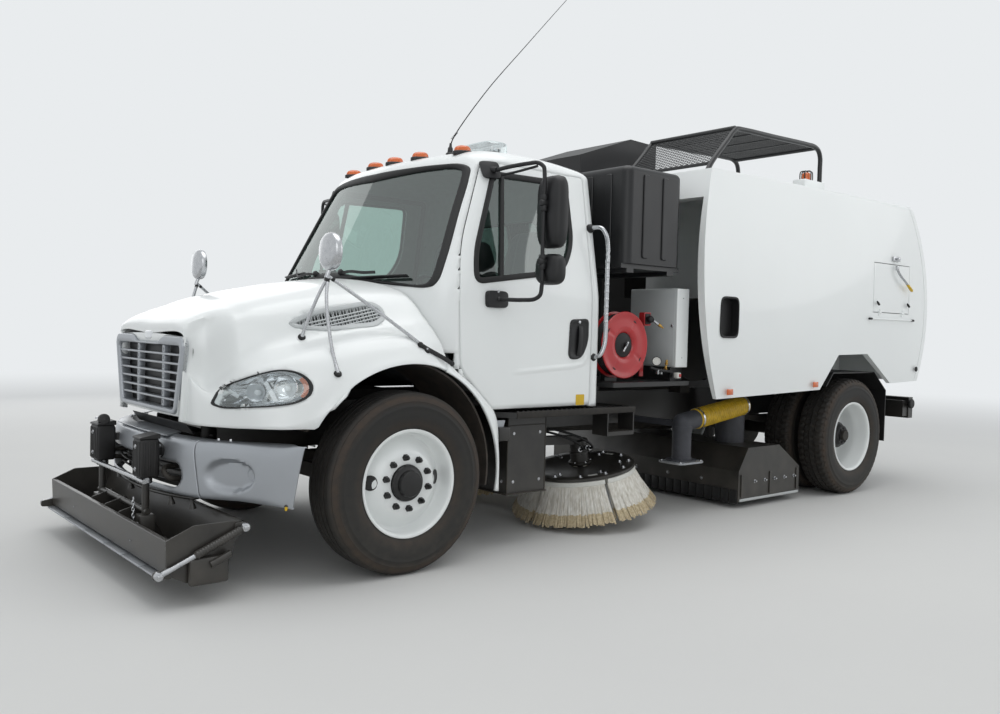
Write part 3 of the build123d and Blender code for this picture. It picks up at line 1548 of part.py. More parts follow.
with BuildPart() as hopper_shell:
    add(hopper_form.part)
    add(ahead_of_tail(rear_door_wall + panel_gap), mode=Mode.INTERSECT)
    side_plate(
        (
            (cavity_front_x, load_floor_z),
            (cavity_front_x, roof_z(cavity_front_x) - hopper_wall),
            (tail_x - 100, roof_z(tail_x - 100) - hopper_wall),
            (tail_x - 100, load_floor_z),
        ),
        (-inner_half, inner_half),
        mode=Mode.SUBTRACT,
    )
    header_rear_x = front_edge_x(hopper_top_front_z) - header_wall
    side_plate(
        (
            (bulkhead_x, 800),
            (bulkhead_x, roof_z(bulkhead_x) - hopper_wall),
            (header_rear_x, roof_z(header_rear_x) - hopper_wall),
            (header_rear_x, hopper_top_front_z - header_depth),
            (hopper_front_x + 200, hopper_top_front_z - header_depth),
            (hopper_front_x + 200, 800),
        ),
        (-inner_half, inner_half),
        mode=Mode.SUBTRACT,
    )
    side_plate(
        (
            (tail_x - 100, 800),
            (tail_x - 100, load_floor_z - load_floor_wall),
            (bulkhead_x + 1, load_floor_z - load_floor_wall),
            (bulkhead_x + 1, 800),
        ),
        (-inner_half, inner_half),
        mode=Mode.SUBTRACT,
    )
    side_plate(
        [(front_axle_x + x, z) for x, z in arch_points],
        (-hopper_half_width - 20, hopper_half_width + 20),
        mode=Mode.SUBTRACT,
    )
    add(side_prism(inspection_outline, panel_gap, (inner_half - 20, hopper_half_width + 20)), mode=Mode.SUBTRACT)
    with BuildSketch(side_plane(inner_half - 5)) as hole:
        with Locations((front_axle_x + side_hole_x, side_hole_z)):
            RectangleRounded(*side_hole, side_hole_radius)
    extrude(hole.sketch, amount=-hopper_wall - 30, mode=Mode.SUBTRACT)
    for side in (1, -1):
        lug_y = sorted((side * (dump_pin_y - 25), side * (dump_pin_y + 5)))
        side_plate(
            (
                (dump_pivot_x - 25, load_floor_z - load_floor_wall + 1),
                (dump_pivot_x + 130, load_floor_z - load_floor_wall + 1),
                (dump_pivot_x + 48, dump_pivot_z - 40),
                (dump_pivot_x - 48, dump_pivot_z - 40),
            ),
            lug_y,
        )
        rod(
            (dump_pivot_x, lug_y[0] - 5, dump_pivot_z),
            (dump_pivot_x, lug_y[1] + 5, dump_pivot_z),
            dump_pin_radius + fit_gap,
            mode=Mode.SUBTRACT,
        )
    for y in rear_knuckle_places:
        rod((hinge_line_x, y - 60, hinge_line_z), (hinge_line_x, y, hinge_line_z), rear_knuckle_radius)
        block(
            (hinge_line_x + 1, hinge_line_x + 60),
            (y - 60, y),
            (hopper_top_rear_z - 20, hinge_line_z + 8),
        )
        rod((hinge_line_x, y - 60, hinge_line_z), (hinge_line_x, y + 60, hinge_line_z), rear_pin_radius)
    for low_x, high_x in inspection_knuckles:
        z = inspection_hinge_z
        y = inspection_hinge_y
        middle_x = front_axle_x + (low_x + high_x) / 2
        rod((front_axle_x + low_x - 2, y, z), (middle_x + 2, y, z), 10.5, mode=Mode.SUBTRACT)
        rod((middle_x, y, z), (front_axle_x + high_x, y, z), 9)
        block((middle_x, front_axle_x + high_x), (y - 10, y + 4), (z - 30, z))
        rod((front_axle_x + low_x, y, z), (front_axle_x + high_x, y, z), 4)

with BuildPart() as rear_door:
    add(hopper_form.part)
    add(ahead_of_tail(rear_door_wall), mode=Mode.SUBTRACT)
    for y in rear_knuckle_places:
        rod(
            (hinge_line_x, y + 1, hinge_line_z), (hinge_line_x, y + 60, hinge_line_z), rear_knuckle_radius
        )
        block(
            (hinge_line_x - 55, hinge_line_x - 1),
            (y + 1, y + 60),
            (hopper_top_rear_z - 3, hinge_line_z + 8),
        )
        rod(
            (hinge_line_x, y, hinge_line_z),
            (hinge_line_x, y + 61, hinge_line_z),
            rear_pin_radius + fit_gap,
            mode=Mode.SUBTRACT,
        )

with BuildPart() as inspection_door:
    add(hopper_form.part)
    add(
        side_prism(inspection_outline, 0, (hopper_half_width - inspection_wall, hopper_half_width + 20)),
        mode=Mode.INTERSECT,
    )
    for low_x, high_x in inspection_knuckles:
        z = inspection_hinge_z
        y = inspection_hinge_y
        middle_x = front_axle_x + (low_x + high_x) / 2
        rod((middle_x - 2, y, z), (front_axle_x + high_x + 2, y, z), 10.5, mode=Mode.SUBTRACT)
        rod((front_axle_x + low_x, y, z), (middle_x - fit_gap, y, z), 9)
        block((front_axle_x + low_x, middle_x - fit_gap), (y - 10, y + 4), (z, z + 30))
        rod(
            (front_axle_x + low_x - 1, y, z), (middle_x + 1, y, z), 4 + fit_gap, mode=Mode.SUBTRACT
        )

# Roof guard: two bent tubes and their cross bars over the fan opening
guard_front_foot_x = front_axle_x - 2800
guard_rear_foot_x = front_axle_x - 4395
guard_bends = ((-3150, 3000), (-4310, 3030), (-4395, 2970))
guard_radius = 20
guard_low_y = 100
guard_high_y = 950
with BuildPart() as roof_guard:
    for y in (guard_high_y, guard_low_y):
        points = [(guard_front_foot_x, y, roof_z(guard_front_foot_x) + guard_radius)]
        points += [(front_axle_x + x, y, z) for x, z in guard_bends]
        points += [(guard_rear_foot_x, y, roof_z(guard_rear_foot_x) + fit_gap)]
        for start, end in zip(points[:-1], points[1:]):
            rod(start, end, guard_radius)
        block(
            (guard_front_foot_x - 60, guard_front_foot_x + 40),
            (y - 30, y + 30),
            (roof_z(guard_front_foot_x - 60) + fit_gap, roof_z(guard_front_foot_x) + 16),
        )
    for x, z in guard_bends:
        rod((front_axle_x + x, guard_low_y, z), (front_axle_x + x, guard_high_y, z), guard_radius)
    for x, z in ((-3440, 3007), (-3730, 3015), (-4020, 3022)):
        rod((front_axle_x + x, guard_low_y, z), (front_axle_x + x, guard_high_y, z), 8)

with BuildPart() as air_housing:
    side_plate(
        (
            (front_axle_x - 2560, roof_z(front_axle_x - 2560) + fit_gap),
            (front_axle_x - 2540, 2850),
            (front_axle_x - 3160, 3070),
            (front_axle_x - 3500, 3060),
            (front_axle_x - 3500, roof_z(front_axle_x - 3500) + fit_gap),
        ),
        (-950, -150),
    )

with BuildPart() as roof_beacon:
    beacon_x = front_axle_x - 4030
    side_plate(
        (
            (beacon_x + 150, roof_z(beacon_x + 150) + fit_gap),
            (beacon_x + 150, 2675),
            (beacon_x - 150, 2680),
            (beacon_x - 150, roof_z(beacon_x - 150) + fit_gap),
        ),
        (1010, 1130),
    )
    rod((beacon_x + 40, 1070, 2670), (beacon_x + 40, 1070, 2760), 45)

# Brackets on the rails: cab mounts, and those with pins for the hopper's lugs and the broom arms
arm_pin_radius = 20
cab_mount_places = (-620, -1500)
# Dump hinge bracket: corners about the pivot, in x and z; its foot on the rail closes the shape
dump_bracket_shape = ((-5, -38), (-36, -12), (-36, 34), (48, 34), (48, -20))
with BuildPart() as chassis_brackets:
    for side in (1, -1):
        side_plate(
            [(dump_pivot_x + x, dump_pivot_z + z) for x, z in dump_bracket_shape]
            + [(dump_pivot_x + 70, rail_top + fit_gap), (dump_pivot_x, rail_top + fit_gap)],
            sorted((side * (rail_inner_y + 5), side * (rail_outer_y - 2))),
        )
        rod(
            (dump_pivot_x, side * (rail_outer_y - 20), dump_pivot_z),
            (dump_pivot_x, side * (dump_pin_y + 12), dump_pivot_z),
            dump_pin_radius,
        )
        block(
            (broom_pivot_x - 60, broom_pivot_x + 60),
            sorted((side * (rail_inner_y + 5), side * (broom_pivot_y + 60))),
            (rail_bottom - 10, rail_bottom - fit_gap),
        )
        rod(
            (broom_pivot_x, side * broom_pivot_y, broom_arm_z),
            (broom_pivot_x, side * broom_pivot_y, rail_bottom - 5),
            arm_pin_radius,
        )
        for x in cab_mount_places:
            block(
                (front_axle_x + x - 60, front_axle_x + x + 60),
                sorted((side * (rail_inner_y + 5), side * (rail_outer_y - 5))),
                (rail_top + fit_gap, cab_floor_z - fit_gap),
            )

# Gutter brooms: disc and bristles on a leaning spindle, carried by a swinging arm
lean = math.radians(broom_lean)
spin_axis = Vector(math.sin(lean), 0, math.cos(lean))
tip_centre_z = broom_low_z + broom_radius * math.sin(lean)
spindle_radius = 20
motor_radius = 62


def broom_point(side, height):
    """Point on the broom's spindle at a height above the plane of the bristle tips."""
    return Vector(broom_x, side * broom_y, tip_centre_z) + spin_axis * height


def broom(side):
    """Round plate with its hub, bored for the spindle, and the flared ring of bristles below it."""
    plate_low = broom_point(side, bristle_height)
    plate_top = broom_point(side, bristle_height + broom_disc_wall)
    foot = broom_point(side, 0)
    with BuildPart() as made:
        rod(plate_low, plate_top, broom_disc_radius)
        rod(broom_point(side, bristle_height - 60), plate_low, 70)
        rod(
            broom_point(side, bristle_height - 61),
            broom_point(side, bristle_height + broom_disc_wall + 1),
            spindle_radius + fit_gap,
            mode=Mode.SUBTRACT,
        )
        with BuildSketch(Plane(origin=foot, x_dir=(0, 1, 0), z_dir=Vector(0, 1, 0).cross(spin_axis))):
            with BuildLine():
                Polyline(
                    (broom_radius - bristle_wall, 0),
                    (broom_radius, 0),
                    (broom_disc_radius - 6, bristle_height - fit_gap),
                    (broom_disc_radius - 6 - bristle_wall, bristle_height - fit_gap),
                    close=True,
                )
            make_face()
        revolve(axis=Axis(tuple(foot), tuple(spin_axis)))
    return made.part


def broom_arm(side):
    """Arm from the pivot under the rail to the motor above the broom."""
    motor_low = broom_point(side, bristle_height + broom_disc_wall + 5)
    motor_top = broom_point(side, bristle_height + 205)
    with BuildPart() as made:
        reach = Vector(motor_top.X - broom_pivot_x, side * (broom_y - broom_pivot_y), 0)
        middle = Vector(broom_pivot_x, side * broom_pivot_y, broom_arm_z) + reach * 0.5
        with BuildSketch(Plane(origin=middle, x_dir=reach, z_dir=(0, 0, 1))):
            Rectangle(reach.length, 80)
        extrude(amount=broom_arm_height)
        pivot_low = (broom_pivot_x, side * broom_pivot_y, broom_arm_z)
        rod(pivot_low, (broom_pivot_x, side * broom_pivot_y, rail_bottom - 10 - fit_gap), 60)
        rod(
            (broom_pivot_x, side * broom_pivot_y, broom_arm_z - 1),
            (broom_pivot_x, side * broom_pivot_y, rail_bottom),
            arm_pin_radius + fit_gap,
            mode=Mode.SUBTRACT,
        )
        rod(motor_low, motor_top, motor_radius)
        rod(broom_point(side, bristle_height - 55), motor_top, spindle_radius)
    return made.part


with BuildPart() as broom_arm_left:
    add(broom_arm(1))
with BuildPart() as broom_arm_right:
    add(broom_arm(-1))
with BuildPart() as broom_left:
    add(broom(1))
with BuildPart() as broom_right:
    add(broom(-1))

# Rear fenders over the twin wheels, with mud flaps
flap_x = rear_axle_x - 610
with BuildPart() as rear_fenders:
    for side in (1, -1):
        side_plate(
            (
                (rear_axle_x + 430, 960),
                (rear_axle_x + 320, 1075),
                (rear_axle_x - 380, 1075),
                (flap_x - 5, 900),
                (flap_x - 5, 430),
                (flap_x + 5, 430),
                (flap_x + 5, 905),
                (rear_axle_x - 385, 1065),
                (rear_axle_x + 315, 1065),
                (rear_axle_x + 420, 955),
            ),
            sorted((side * 560, side * (hopper_half_width - 85))),
        )
        block(
            (rear_axle_x - 40, rear_axle_x + 40),
            sorted((side * (rail_outer_y - 30), side * 600)),
            (1055, 1070),
        )
        block(
            (rear_axle_x - 40, rear_axle_x + 40),
            sorted((side * (rail_outer_y - 42), side * (rail_outer_y - 10))),
            (rail_top + fit_gap, 1070),
        )

# Rear bumper: beam across the rails' tails with a lamp box at each end
with BuildPart() as rear_bumper:
    block((tail_x + 14, rail_rear_x - fit_gap), (-1140, 1140), (640, 790))
    for side in (1, -1):
        block(
            (tail_x + 10, tail_x + 90),
            sorted((side * 860, side * 1150)),
            (620, 820),
        )

# Every piece with the name of its node
pieces = (
    (frame_rails, "frame_rails"),
    (front_axle, "front_axle"),
    (leaf_springs, "leaf_springs"),
    (rear_axle, "rear_axle"),
    (truck_engine, "truck_engine"),
    (knuckle_left, "knuckle_left"),
    (knuckle_right, "knuckle_right"),
    (tie_rod, "tie_rod"),
    (tyre_front_left, "tyre_front_left"),
    (tyre_front_right, "tyre_front_right"),
    (tyres_rear_left, "tyres_rear_left"),
    (tyres_rear_right, "tyres_rear_right"),
    (rim_front_left, "rim_front_left"),
    (rim_front_right, "rim_front_right"),
    (rims_rear_left, "rims_rear_left"),
    (rims_rear_right, "rims_rear_right"),
    (hood_shell, "hood_shell"),
    (grille, "grille"),
    (headlamps, "headlamps"),
    (hood_mirrors, "hood_mirrors"),
    (fender_liners, "fender_liners"),
    (front_bumper, "front_bumper"),
    (magnet_bar, "magnet_bar"),
    (magnet_lifts, "magnet_lifts"),
    (cab_shell_hinged, "cab_shell"),
    (cab_glass, "cab_glass"),
    (door_left, "door_left"),
    (door_right, "door_right"),
    (door_glass_left, "door_glass_left"),
    (door_glass_right, "door_glass_right"),
    (mirror_left, "mirror_left"),
    (mirror_right, "mirror_right"),
    (dashboard, "dashboard"),
    (seats, "seats"),
    (roof_lamps, "roof_lamps"),
    (antenna, "antenna"),
    (grab_handles, "grab_handles"),
    (running_boards, "running_boards"),
    (tank_frame, "tank_frame"),
    (hose_reel, "hose_reel"),
    (control_box, "control_box"),
    (water_tanks, "water_tanks"),
    (aux_engine, "aux_engine"),
    (pickup_head, "pickup_head"),
    (ducts, "ducts"),
    (blast_hose, "blast_hose"),
    (hopper_shell, "hopper_shell"),
    (rear_door, "rear_door"),
    (inspection_door, "inspection_door"),
    (roof_guard, "roof_guard"),
    (air_housing, "air_housing"),
    (roof_beacon, "roof_beacon"),
    (chassis_brackets, "chassis_brackets"),
    (broom_arm_left, "broom_arm_left"),
    (broom_arm_right, "broom_arm_right"),
    (broom_left, "broom_left"),
    (broom_right, "broom_right"),
    (rear_fenders, "rear_fenders"),
    (rear_bumper, "rear_bumper"),
)
os.makedirs("parts", exist_ok=True)
for piece, node in pieces:
    piece.part.label = node
    export_step(piece.part, f"parts/{node}.step")
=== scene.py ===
import math
import bmesh
import bpy
import numpy as np
from mathutils import Matrix, Vector


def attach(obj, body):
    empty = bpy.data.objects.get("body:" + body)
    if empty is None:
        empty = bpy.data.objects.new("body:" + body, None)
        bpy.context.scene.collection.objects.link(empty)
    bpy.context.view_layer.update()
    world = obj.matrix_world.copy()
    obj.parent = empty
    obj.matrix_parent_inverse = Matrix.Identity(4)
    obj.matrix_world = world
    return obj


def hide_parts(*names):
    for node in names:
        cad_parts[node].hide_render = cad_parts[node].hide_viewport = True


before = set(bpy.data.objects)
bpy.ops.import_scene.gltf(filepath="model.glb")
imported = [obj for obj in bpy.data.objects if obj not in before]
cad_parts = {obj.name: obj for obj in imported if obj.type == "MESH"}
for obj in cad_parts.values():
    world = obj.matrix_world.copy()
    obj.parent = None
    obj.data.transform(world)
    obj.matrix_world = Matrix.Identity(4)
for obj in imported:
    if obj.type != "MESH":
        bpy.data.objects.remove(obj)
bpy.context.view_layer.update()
print("stage: frame loaded")

# Where the axles stand in the model's frame, in metres: +X forwards, +Y to the truck's left, ground at Z 0.
# Every piece below is measured from the front axle's X, and makePiece shifts it there.
place = {"frontAxleX": 2.265, "rearAxleX": -2.425, "axleZ": 0.508}
fa = place["frontAxleX"]


def xyz(*columns):
    # coordinates given one by one, broadcast to one shape and stacked
    return np.stack(np.broadcast_arrays(*columns), axis=-1)


def unit(ways):
    # vectors divided by their length
    ways = np.asarray(ways, float)
    return ways / np.linalg.norm(ways, axis=-1, keepdims=True)


def eased(share):
    # s^2 (3 - 2 s), held at 0 and 1 outside
    share = np.clip(share, 0, 1)
    return share**2 * (3 - 2 * share)


def gridPart(points, material=0, closeU=False, closeV=False, capStart=False, capEnd=False, flip=False):
    # quads between neighbours of a u by v grid of points; a cap fills the first or last u row with one face
    points = np.asarray(points, float)
    rows, columns = points.shape[:2]
    index = np.arange(rows * columns).reshape(rows, columns)
    if closeU:
        index = np.vstack([index, index[:1]])
    if closeV:
        index = np.hstack([index, index[:, :1]])
    quads = np.stack([index[:-1, :-1], index[1:, :-1], index[1:, 1:], index[:-1, 1:]], axis=-1).reshape(-1, 4)
    faces = (quads[:, ::-1] if flip else quads).tolist()
    first = np.arange(columns)
    if capStart:
        faces.append((first if not flip else first[::-1]).tolist())
    if capEnd:
        last = first + (rows - 1) * columns
        faces.append((last[::-1] if not flip else last).tolist())
    return points.reshape(-1, 3), faces, material


def ringPart(rings, material=0, capStart=False, capEnd=True, flip=False):
    # rings of points joined one to the next, with the last one filled
    return gridPart(rings, material, False, True, capStart, capEnd, flip)


def makePiece(name, parts, materials, body, replaces="", smooth=40, weld=0.00005):
    # joins parts (points, faces, material number) into one mesh whose edges sharper than smooth degrees stay crisp
    vertices = np.vstack([part[0] for part in parts]) + (fa, 0, 0)
    faces, numbers, offset = [], [], 0
    for points, partFaces, number in parts:
        faces += [[corner + offset for corner in face] for face in partFaces]
        numbers += [number] * len(partFaces)
        offset += len(points)
    mesh = bpy.data.meshes.new(name)
    mesh.from_pydata(vertices.tolist(), [], faces)
    for each in materials:
        mesh.materials.append(each)
    mesh.polygons.foreach_set("material_index", numbers)
    piece = bpy.data.objects.new(name, mesh)
    bpy.context.scene.collection.objects.link(piece)
    sheet = bmesh.new()
    sheet.from_mesh(mesh)
    bmesh.ops.remove_doubles(sheet, verts=sheet.verts, dist=weld)
    bmesh.ops.dissolve_degenerate(sheet, edges=sheet.edges, dist=weld)
    bmesh.ops.recalc_face_normals(sheet, faces=sheet.faces)
    sheet.to_mesh(mesh)
    sheet.free()
    mesh.shade_smooth()
    mesh.set_sharp_from_angle(angle=math.radians(smooth))
    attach(piece, body)
    if replaces:
        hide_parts(*replaces.split())
    return piece


def thicken(piece, thickness, **settings):
    # a sheet's inner face, thickness behind the one modelled
    modifier = piece.modifiers.new("solidify", "SOLIDIFY")
    for key, value in dict(settings, thickness=thickness, offset=-1).items():
        setattr(modifier, key, value)


def smoothCurve(controls, at, closed=False):
    # centripetal Catmull-Rom curve through rows of controls: knots t grow by the square root of each chord, and
    # three rounds of straight blends between them give the point; at is a count or the row numbers wanted
    controls = np.asarray(controls, float)
    if closed:
        padded = np.concatenate([controls[-1:], controls, controls[:2]])
    else:
        padded = np.concatenate([2 * controls[:1] - controls[1:2], controls, 2 * controls[-1:] - controls[-2:-1]])
    spans = len(padded) - 3
    if np.isscalar(at):
        at = np.linspace(0, spans, at, endpoint=not closed)
    at = np.asarray(at, float)
    k = np.clip(at.astype(int), 0, spans - 1)
    f = (at - k).reshape((-1,) + (1,) * (controls.ndim - 1))
    p = [padded[k + shift] for shift in range(4)]
    t = [0 * f]
    for shift in range(3):
        chord = np.linalg.norm(p[shift + 1] - p[shift], axis=-1, keepdims=True)
        t.append(t[-1] + np.sqrt(np.maximum(chord, 1e-6)))
    here = t[1] + (t[2] - t[1]) * f
    for reach in (1, 2):
        p = [((t[i + reach] - here) * p[i] + (here - t[i]) * p[i + 1]) / (t[i + reach] - t[i])
             for i in range(len(p) - 1)]
    return ((t[2] - here) * p[0] + (here - t[1]) * p[1]) / (t[2] - t[1])


def roundedOutline(corners, radius, steps=4):
    # polygon whose corners are replaced by quadratic arcs that start radius away along each side
    corners = np.asarray(corners, float)
    radii = np.broadcast_to(radius, len(corners)).reshape(-1, 1)

    def reach(other):
        length = np.linalg.norm(other - corners, axis=1, keepdims=True)
        return corners + (other - corners) * np.minimum(radii / length, 0.49)

    start, end = reach(np.roll(corners, 1, 0)), reach(np.roll(corners, -1, 0))
    t = np.linspace(0, 1, steps + 1).reshape(1, -1, 1)
    arc = start[:, None] * (1 - t) ** 2 + 2 * corners[:, None] * t * (1 - t) + end[:, None] * t**2
    return arc.reshape(-1, corners.shape[1])


def superOutline(halfA, halfB, power, count=48):
    # |a / halfA|^n + |b / halfB|^n = 1, walked by angle
    t = np.linspace(0, 2 * np.pi, count, endpoint=False)
    c, s = np.cos(t), np.sin(t)
    return xyz(halfA * np.sign(c) * np.abs(c) ** (2 / power), halfB * np.sign(s) * np.abs(s) ** (2 / power))


def sweepPart(path, profile, material=0, up=(0, 0, 1), closePath=False, scale=1.0):
    # profile (side, up), scaled along the path, carried along it: side is square to the path's run and to up
    path, profile = np.asarray(path, float), np.asarray(profile, float)
    run = unit(np.roll(path, -1, 0) - np.roll(path, 1, 0) if closePath else np.gradient(path, axis=0))
    side = unit(np.cross(run, np.asarray(up, float)))
    rise = np.cross(side, run)
    ring = side[:, None] * profile[None, :, :1] + rise[:, None] * profile[None, :, 1:]
    points = path[:, None] + ring * np.broadcast_to(np.asarray(scale, float), len(path)).reshape(-1, 1, 1)
    return gridPart(points, material, closePath, True, not closePath, not closePath)


def tubePart(path, radius, material=0, sides=12, up=(0.01, 0.02, 1), closePath=False):
    # round bar: a circle of the given radius, or radii along the path, carried along a path
    turn = np.linspace(0, 2 * np.pi, sides, endpoint=False)
    return sweepPart(path, xyz(np.cos(turn), np.sin(turn)), material, up, closePath, radius)


def lathePart(profile, centre, axis, material=0, sides=48, capStart=False):
    # profile (radius, distance along the axis) turned about an axis through centre
    axis = unit(axis)
    side = unit(np.cross(axis, (0.0, 0.0, 1.0) if abs(axis[2]) < 0.9 else (1.0, 0.0, 0.0)))
    turn = np.linspace(0, 2 * np.pi, sides, endpoint=False)
    profile = np.asarray(profile, float)
    ring = side * np.cos(turn)[:, None] + np.cross(axis, side) * np.sin(turn)[:, None]
    points = np.asarray(centre, float) + profile[:, None, :1] * ring[None] + profile[:, None, 1:] * axis
    return ringPart(points, material, capStart, False)


def boltParts(at, axis, size, height, material, washer=True):
    # bolt head with a chamfered crown on a washer, turned as a lathe of six and of many sides
    crown = [(0.001, height), (size * 0.78, height), (size, height * 0.8), (size, 0.0)]
    parts = [lathePart(crown, at, axis, material, 6)]
    if washer:
        rim = [(size * 0.9, 0.0022), (size * 1.45, 0.0022), (size * 1.5, 0.001), (size * 1.5, -0.001)]
        parts.append(lathePart(rim, at, axis, material, 16))
    return parts


def blockPart(low, high, radius, material=0, steps=2):
    # rounded box: a sphere's grid of directions, pushed out to the eight corners of the inner box
    low, high = np.asarray(low, float), np.asarray(high, float)
    half = (high - low) / 2
    radius = min(radius, half.min() * 0.98)
    quarter = np.linspace(0.001, np.pi / 2 - 0.001, steps + 1)
    around = np.concatenate([quarter + k * np.pi / 2 for k in range(4)])
    a, h = np.meshgrid(around, np.concatenate([quarter - np.pi / 2, quarter]), indexing="ij")
    way = xyz(np.cos(a) * np.cos(h), np.sin(a) * np.cos(h), np.sin(h))
    points = np.sign(way) * (half - radius) + way * radius + (low + high) / 2
    return ringPart(points.transpose(1, 0, 2), material, True)


def inwards(outline):
    # unit normals of a closed outline, pointing into it
    edge = np.roll(outline, -1, 0) - np.roll(outline, 1, 0)
    normal = np.stack([edge[:, 1], -edge[:, 0]], axis=-1)
    normal /= np.maximum(np.linalg.norm(normal, axis=1, keepdims=True), 1e-9)
    area = np.sum(outline[:, 0] * np.roll(outline[:, 1], -1) - np.roll(outline[:, 0], -1) * outline[:, 1])
    return -normal if area > 0 else normal


def drawnIn(outline, amount):
    # closed outline moved inwards by amount
    return outline + inwards(outline) * amount


def platePart(outline, origin, across, rise, thickness, material=0, bevel=0.0015):
    # flat plate with bevelled rims: its outline (across, rise) at four depths, with both faces closed
    outline = np.asarray(outline, float)
    across, rise = unit(across), unit(rise)
    rows = []
    for shift, depth in ((bevel, 0), (0, bevel), (0, thickness - bevel), (bevel, thickness)):
        flat = drawnIn(outline, shift)
        rows.append(origin + flat[:, :1] * across + flat[:, 1:] * rise + np.cross(across, rise) * depth)
    return ringPart(rows, material, True)


def sidePlate(corners, radius, y, thickness, material=0, steps=4, **more):
    # plate in x and z with rounded corners, from y towards the middle of the truck by its thickness
    return platePart(roundedOutline(corners, radius, steps), (0, y, 0), (1, 0, 0), (0, 0, 1), thickness, material,
                     **more)


def stackPart(outline, centre, rows, material=0, capStart=False, capEnd=True):
    # an outline (x, y) about centre, scaled by k and raised by h row by row
    x, y, z = centre
    rings = [xyz(x + outline[:, 0] * k, y + outline[:, 1] * k, z + h) for k, h in rows]
    return ringPart(rings, material, capStart, capEnd)


def mirrored(parts):
    # the same parts on the truck's other side, with their faces turned over
    return [(points * (1, -1, 1), [face[::-1] for face in faces], number) for points, faces, number in parts]


def bothSides(parts):
    # the parts and their mirror images
    return parts + mirrored(parts)


def unturned(parts):
    # the parts as they are: the left side's counterpart of mirrored
    return parts


def nearestOn(flat, outline):
    # nearest point of a closed outline to each flat point, and how far off it lies
    run = np.roll(outline, -1, 0) - outline
    share = ((flat[:, None] - outline) * run).sum(-1) / np.maximum((run**2).sum(-1), 1e-12)
    spots = outline + run * np.clip(share, 0, 1)[..., None]
    gap = np.linalg.norm(flat[:, None] - spots, axis=-1)
    best = gap.argmin(1)
    rows = np.arange(len(flat))
    return spots[rows, best], gap[rows, best]


def insideOutline(flat, outline):
    # even-odd test of flat points against a closed outline
    x, y = outline[:, 0], outline[:, 1]
    nx, ny = np.roll(x, -1), np.roll(y, -1)
    px, py = flat[:, :1], flat[:, 1:]
    with np.errstate(divide="ignore", invalid="ignore"):
        hits = ((y > py) != (ny > py)) & (px < (nx - x) * (py - y) / (ny - y) + x)
    return hits.sum(1) % 2 == 1


def cutPart(part, axes, outline, surface, zone, reach):
    # opens an outline in a surface: corners within reach of it are drawn onto it along the surface, quads that it
    # then crosses are split on that diagonal, and the faces within it go
    points, faces, number = part
    points = points.copy()
    rows = np.flatnonzero(zone(points))
    spots, gap = nearestOn(points[rows][:, axes], outline)
    moved = rows[gap < reach]
    on = np.zeros(len(points), bool)
    on[moved] = True
    points[moved] = surface(*spots[gap < reach].T)
    inZone = zone(points)
    kept = []
    for a, *others in faces:
        face = [a, *others]
        pieces = [face]
        if len(face) == 4 and inZone[face].all():
            b, c, d = others
            if on[a] and on[c] and not (on[b] and on[d]):
                pieces = [[a, b, c], [a, c, d]]
            elif on[b] and on[d]:
                pieces = [[a, b, d], [b, c, d]]
        kept += pieces
    middles = np.array([points[face].mean(0) for face in kept])
    inside = insideOutline(middles[:, axes], outline) & zone(middles)
    return points, [face for face, gone in zip(kept, inside) if not gone], number


def evenly(outline, count, closed=True):
    # points at equal steps of length along an outline or path
    line = np.vstack([outline, outline[:1]]) if closed else np.asarray(outline, float)
    length = np.concatenate([[0], np.cumsum(np.linalg.norm(np.diff(line, axis=0), axis=1))])
    at = np.linspace(0, length[-1], count, endpoint=not closed)
    return np.stack([np.interp(at, length, line[:, k]) for k in range(line.shape[1])], axis=-1)


def linear(hexColour):
    # sRGB hex to the linear light values that shaders take
    channels = np.array([int(hexColour[k:k + 2], 16) for k in (1, 3, 5)]) / 255
    return (*np.where(channels <= 0.04045, channels / 12.92, ((channels + 0.055) / 1.055) ** 2.4).tolist(), 1.0)


def addNode(tree, kind, settings=None, links=None):
    # one shader node with its settings, by socket name, socket number or property, and its incoming links
    node = tree.nodes.new("ShaderNode" + kind)
    for key, value in (settings or {}).items():
        if isinstance(key, int) or key in node.inputs:
            node.inputs[key].default_value = value
        else:
            setattr(node, key, value)
    for key, (source, output) in (links or {}).items():
        tree.links.new(source.outputs[output], node.inputs[key])
    return node


def newMaterial(name):
    # an empty material and its node tree
    made = bpy.data.materials.new(name)
    made.use_nodes = True
    return made, made.node_tree


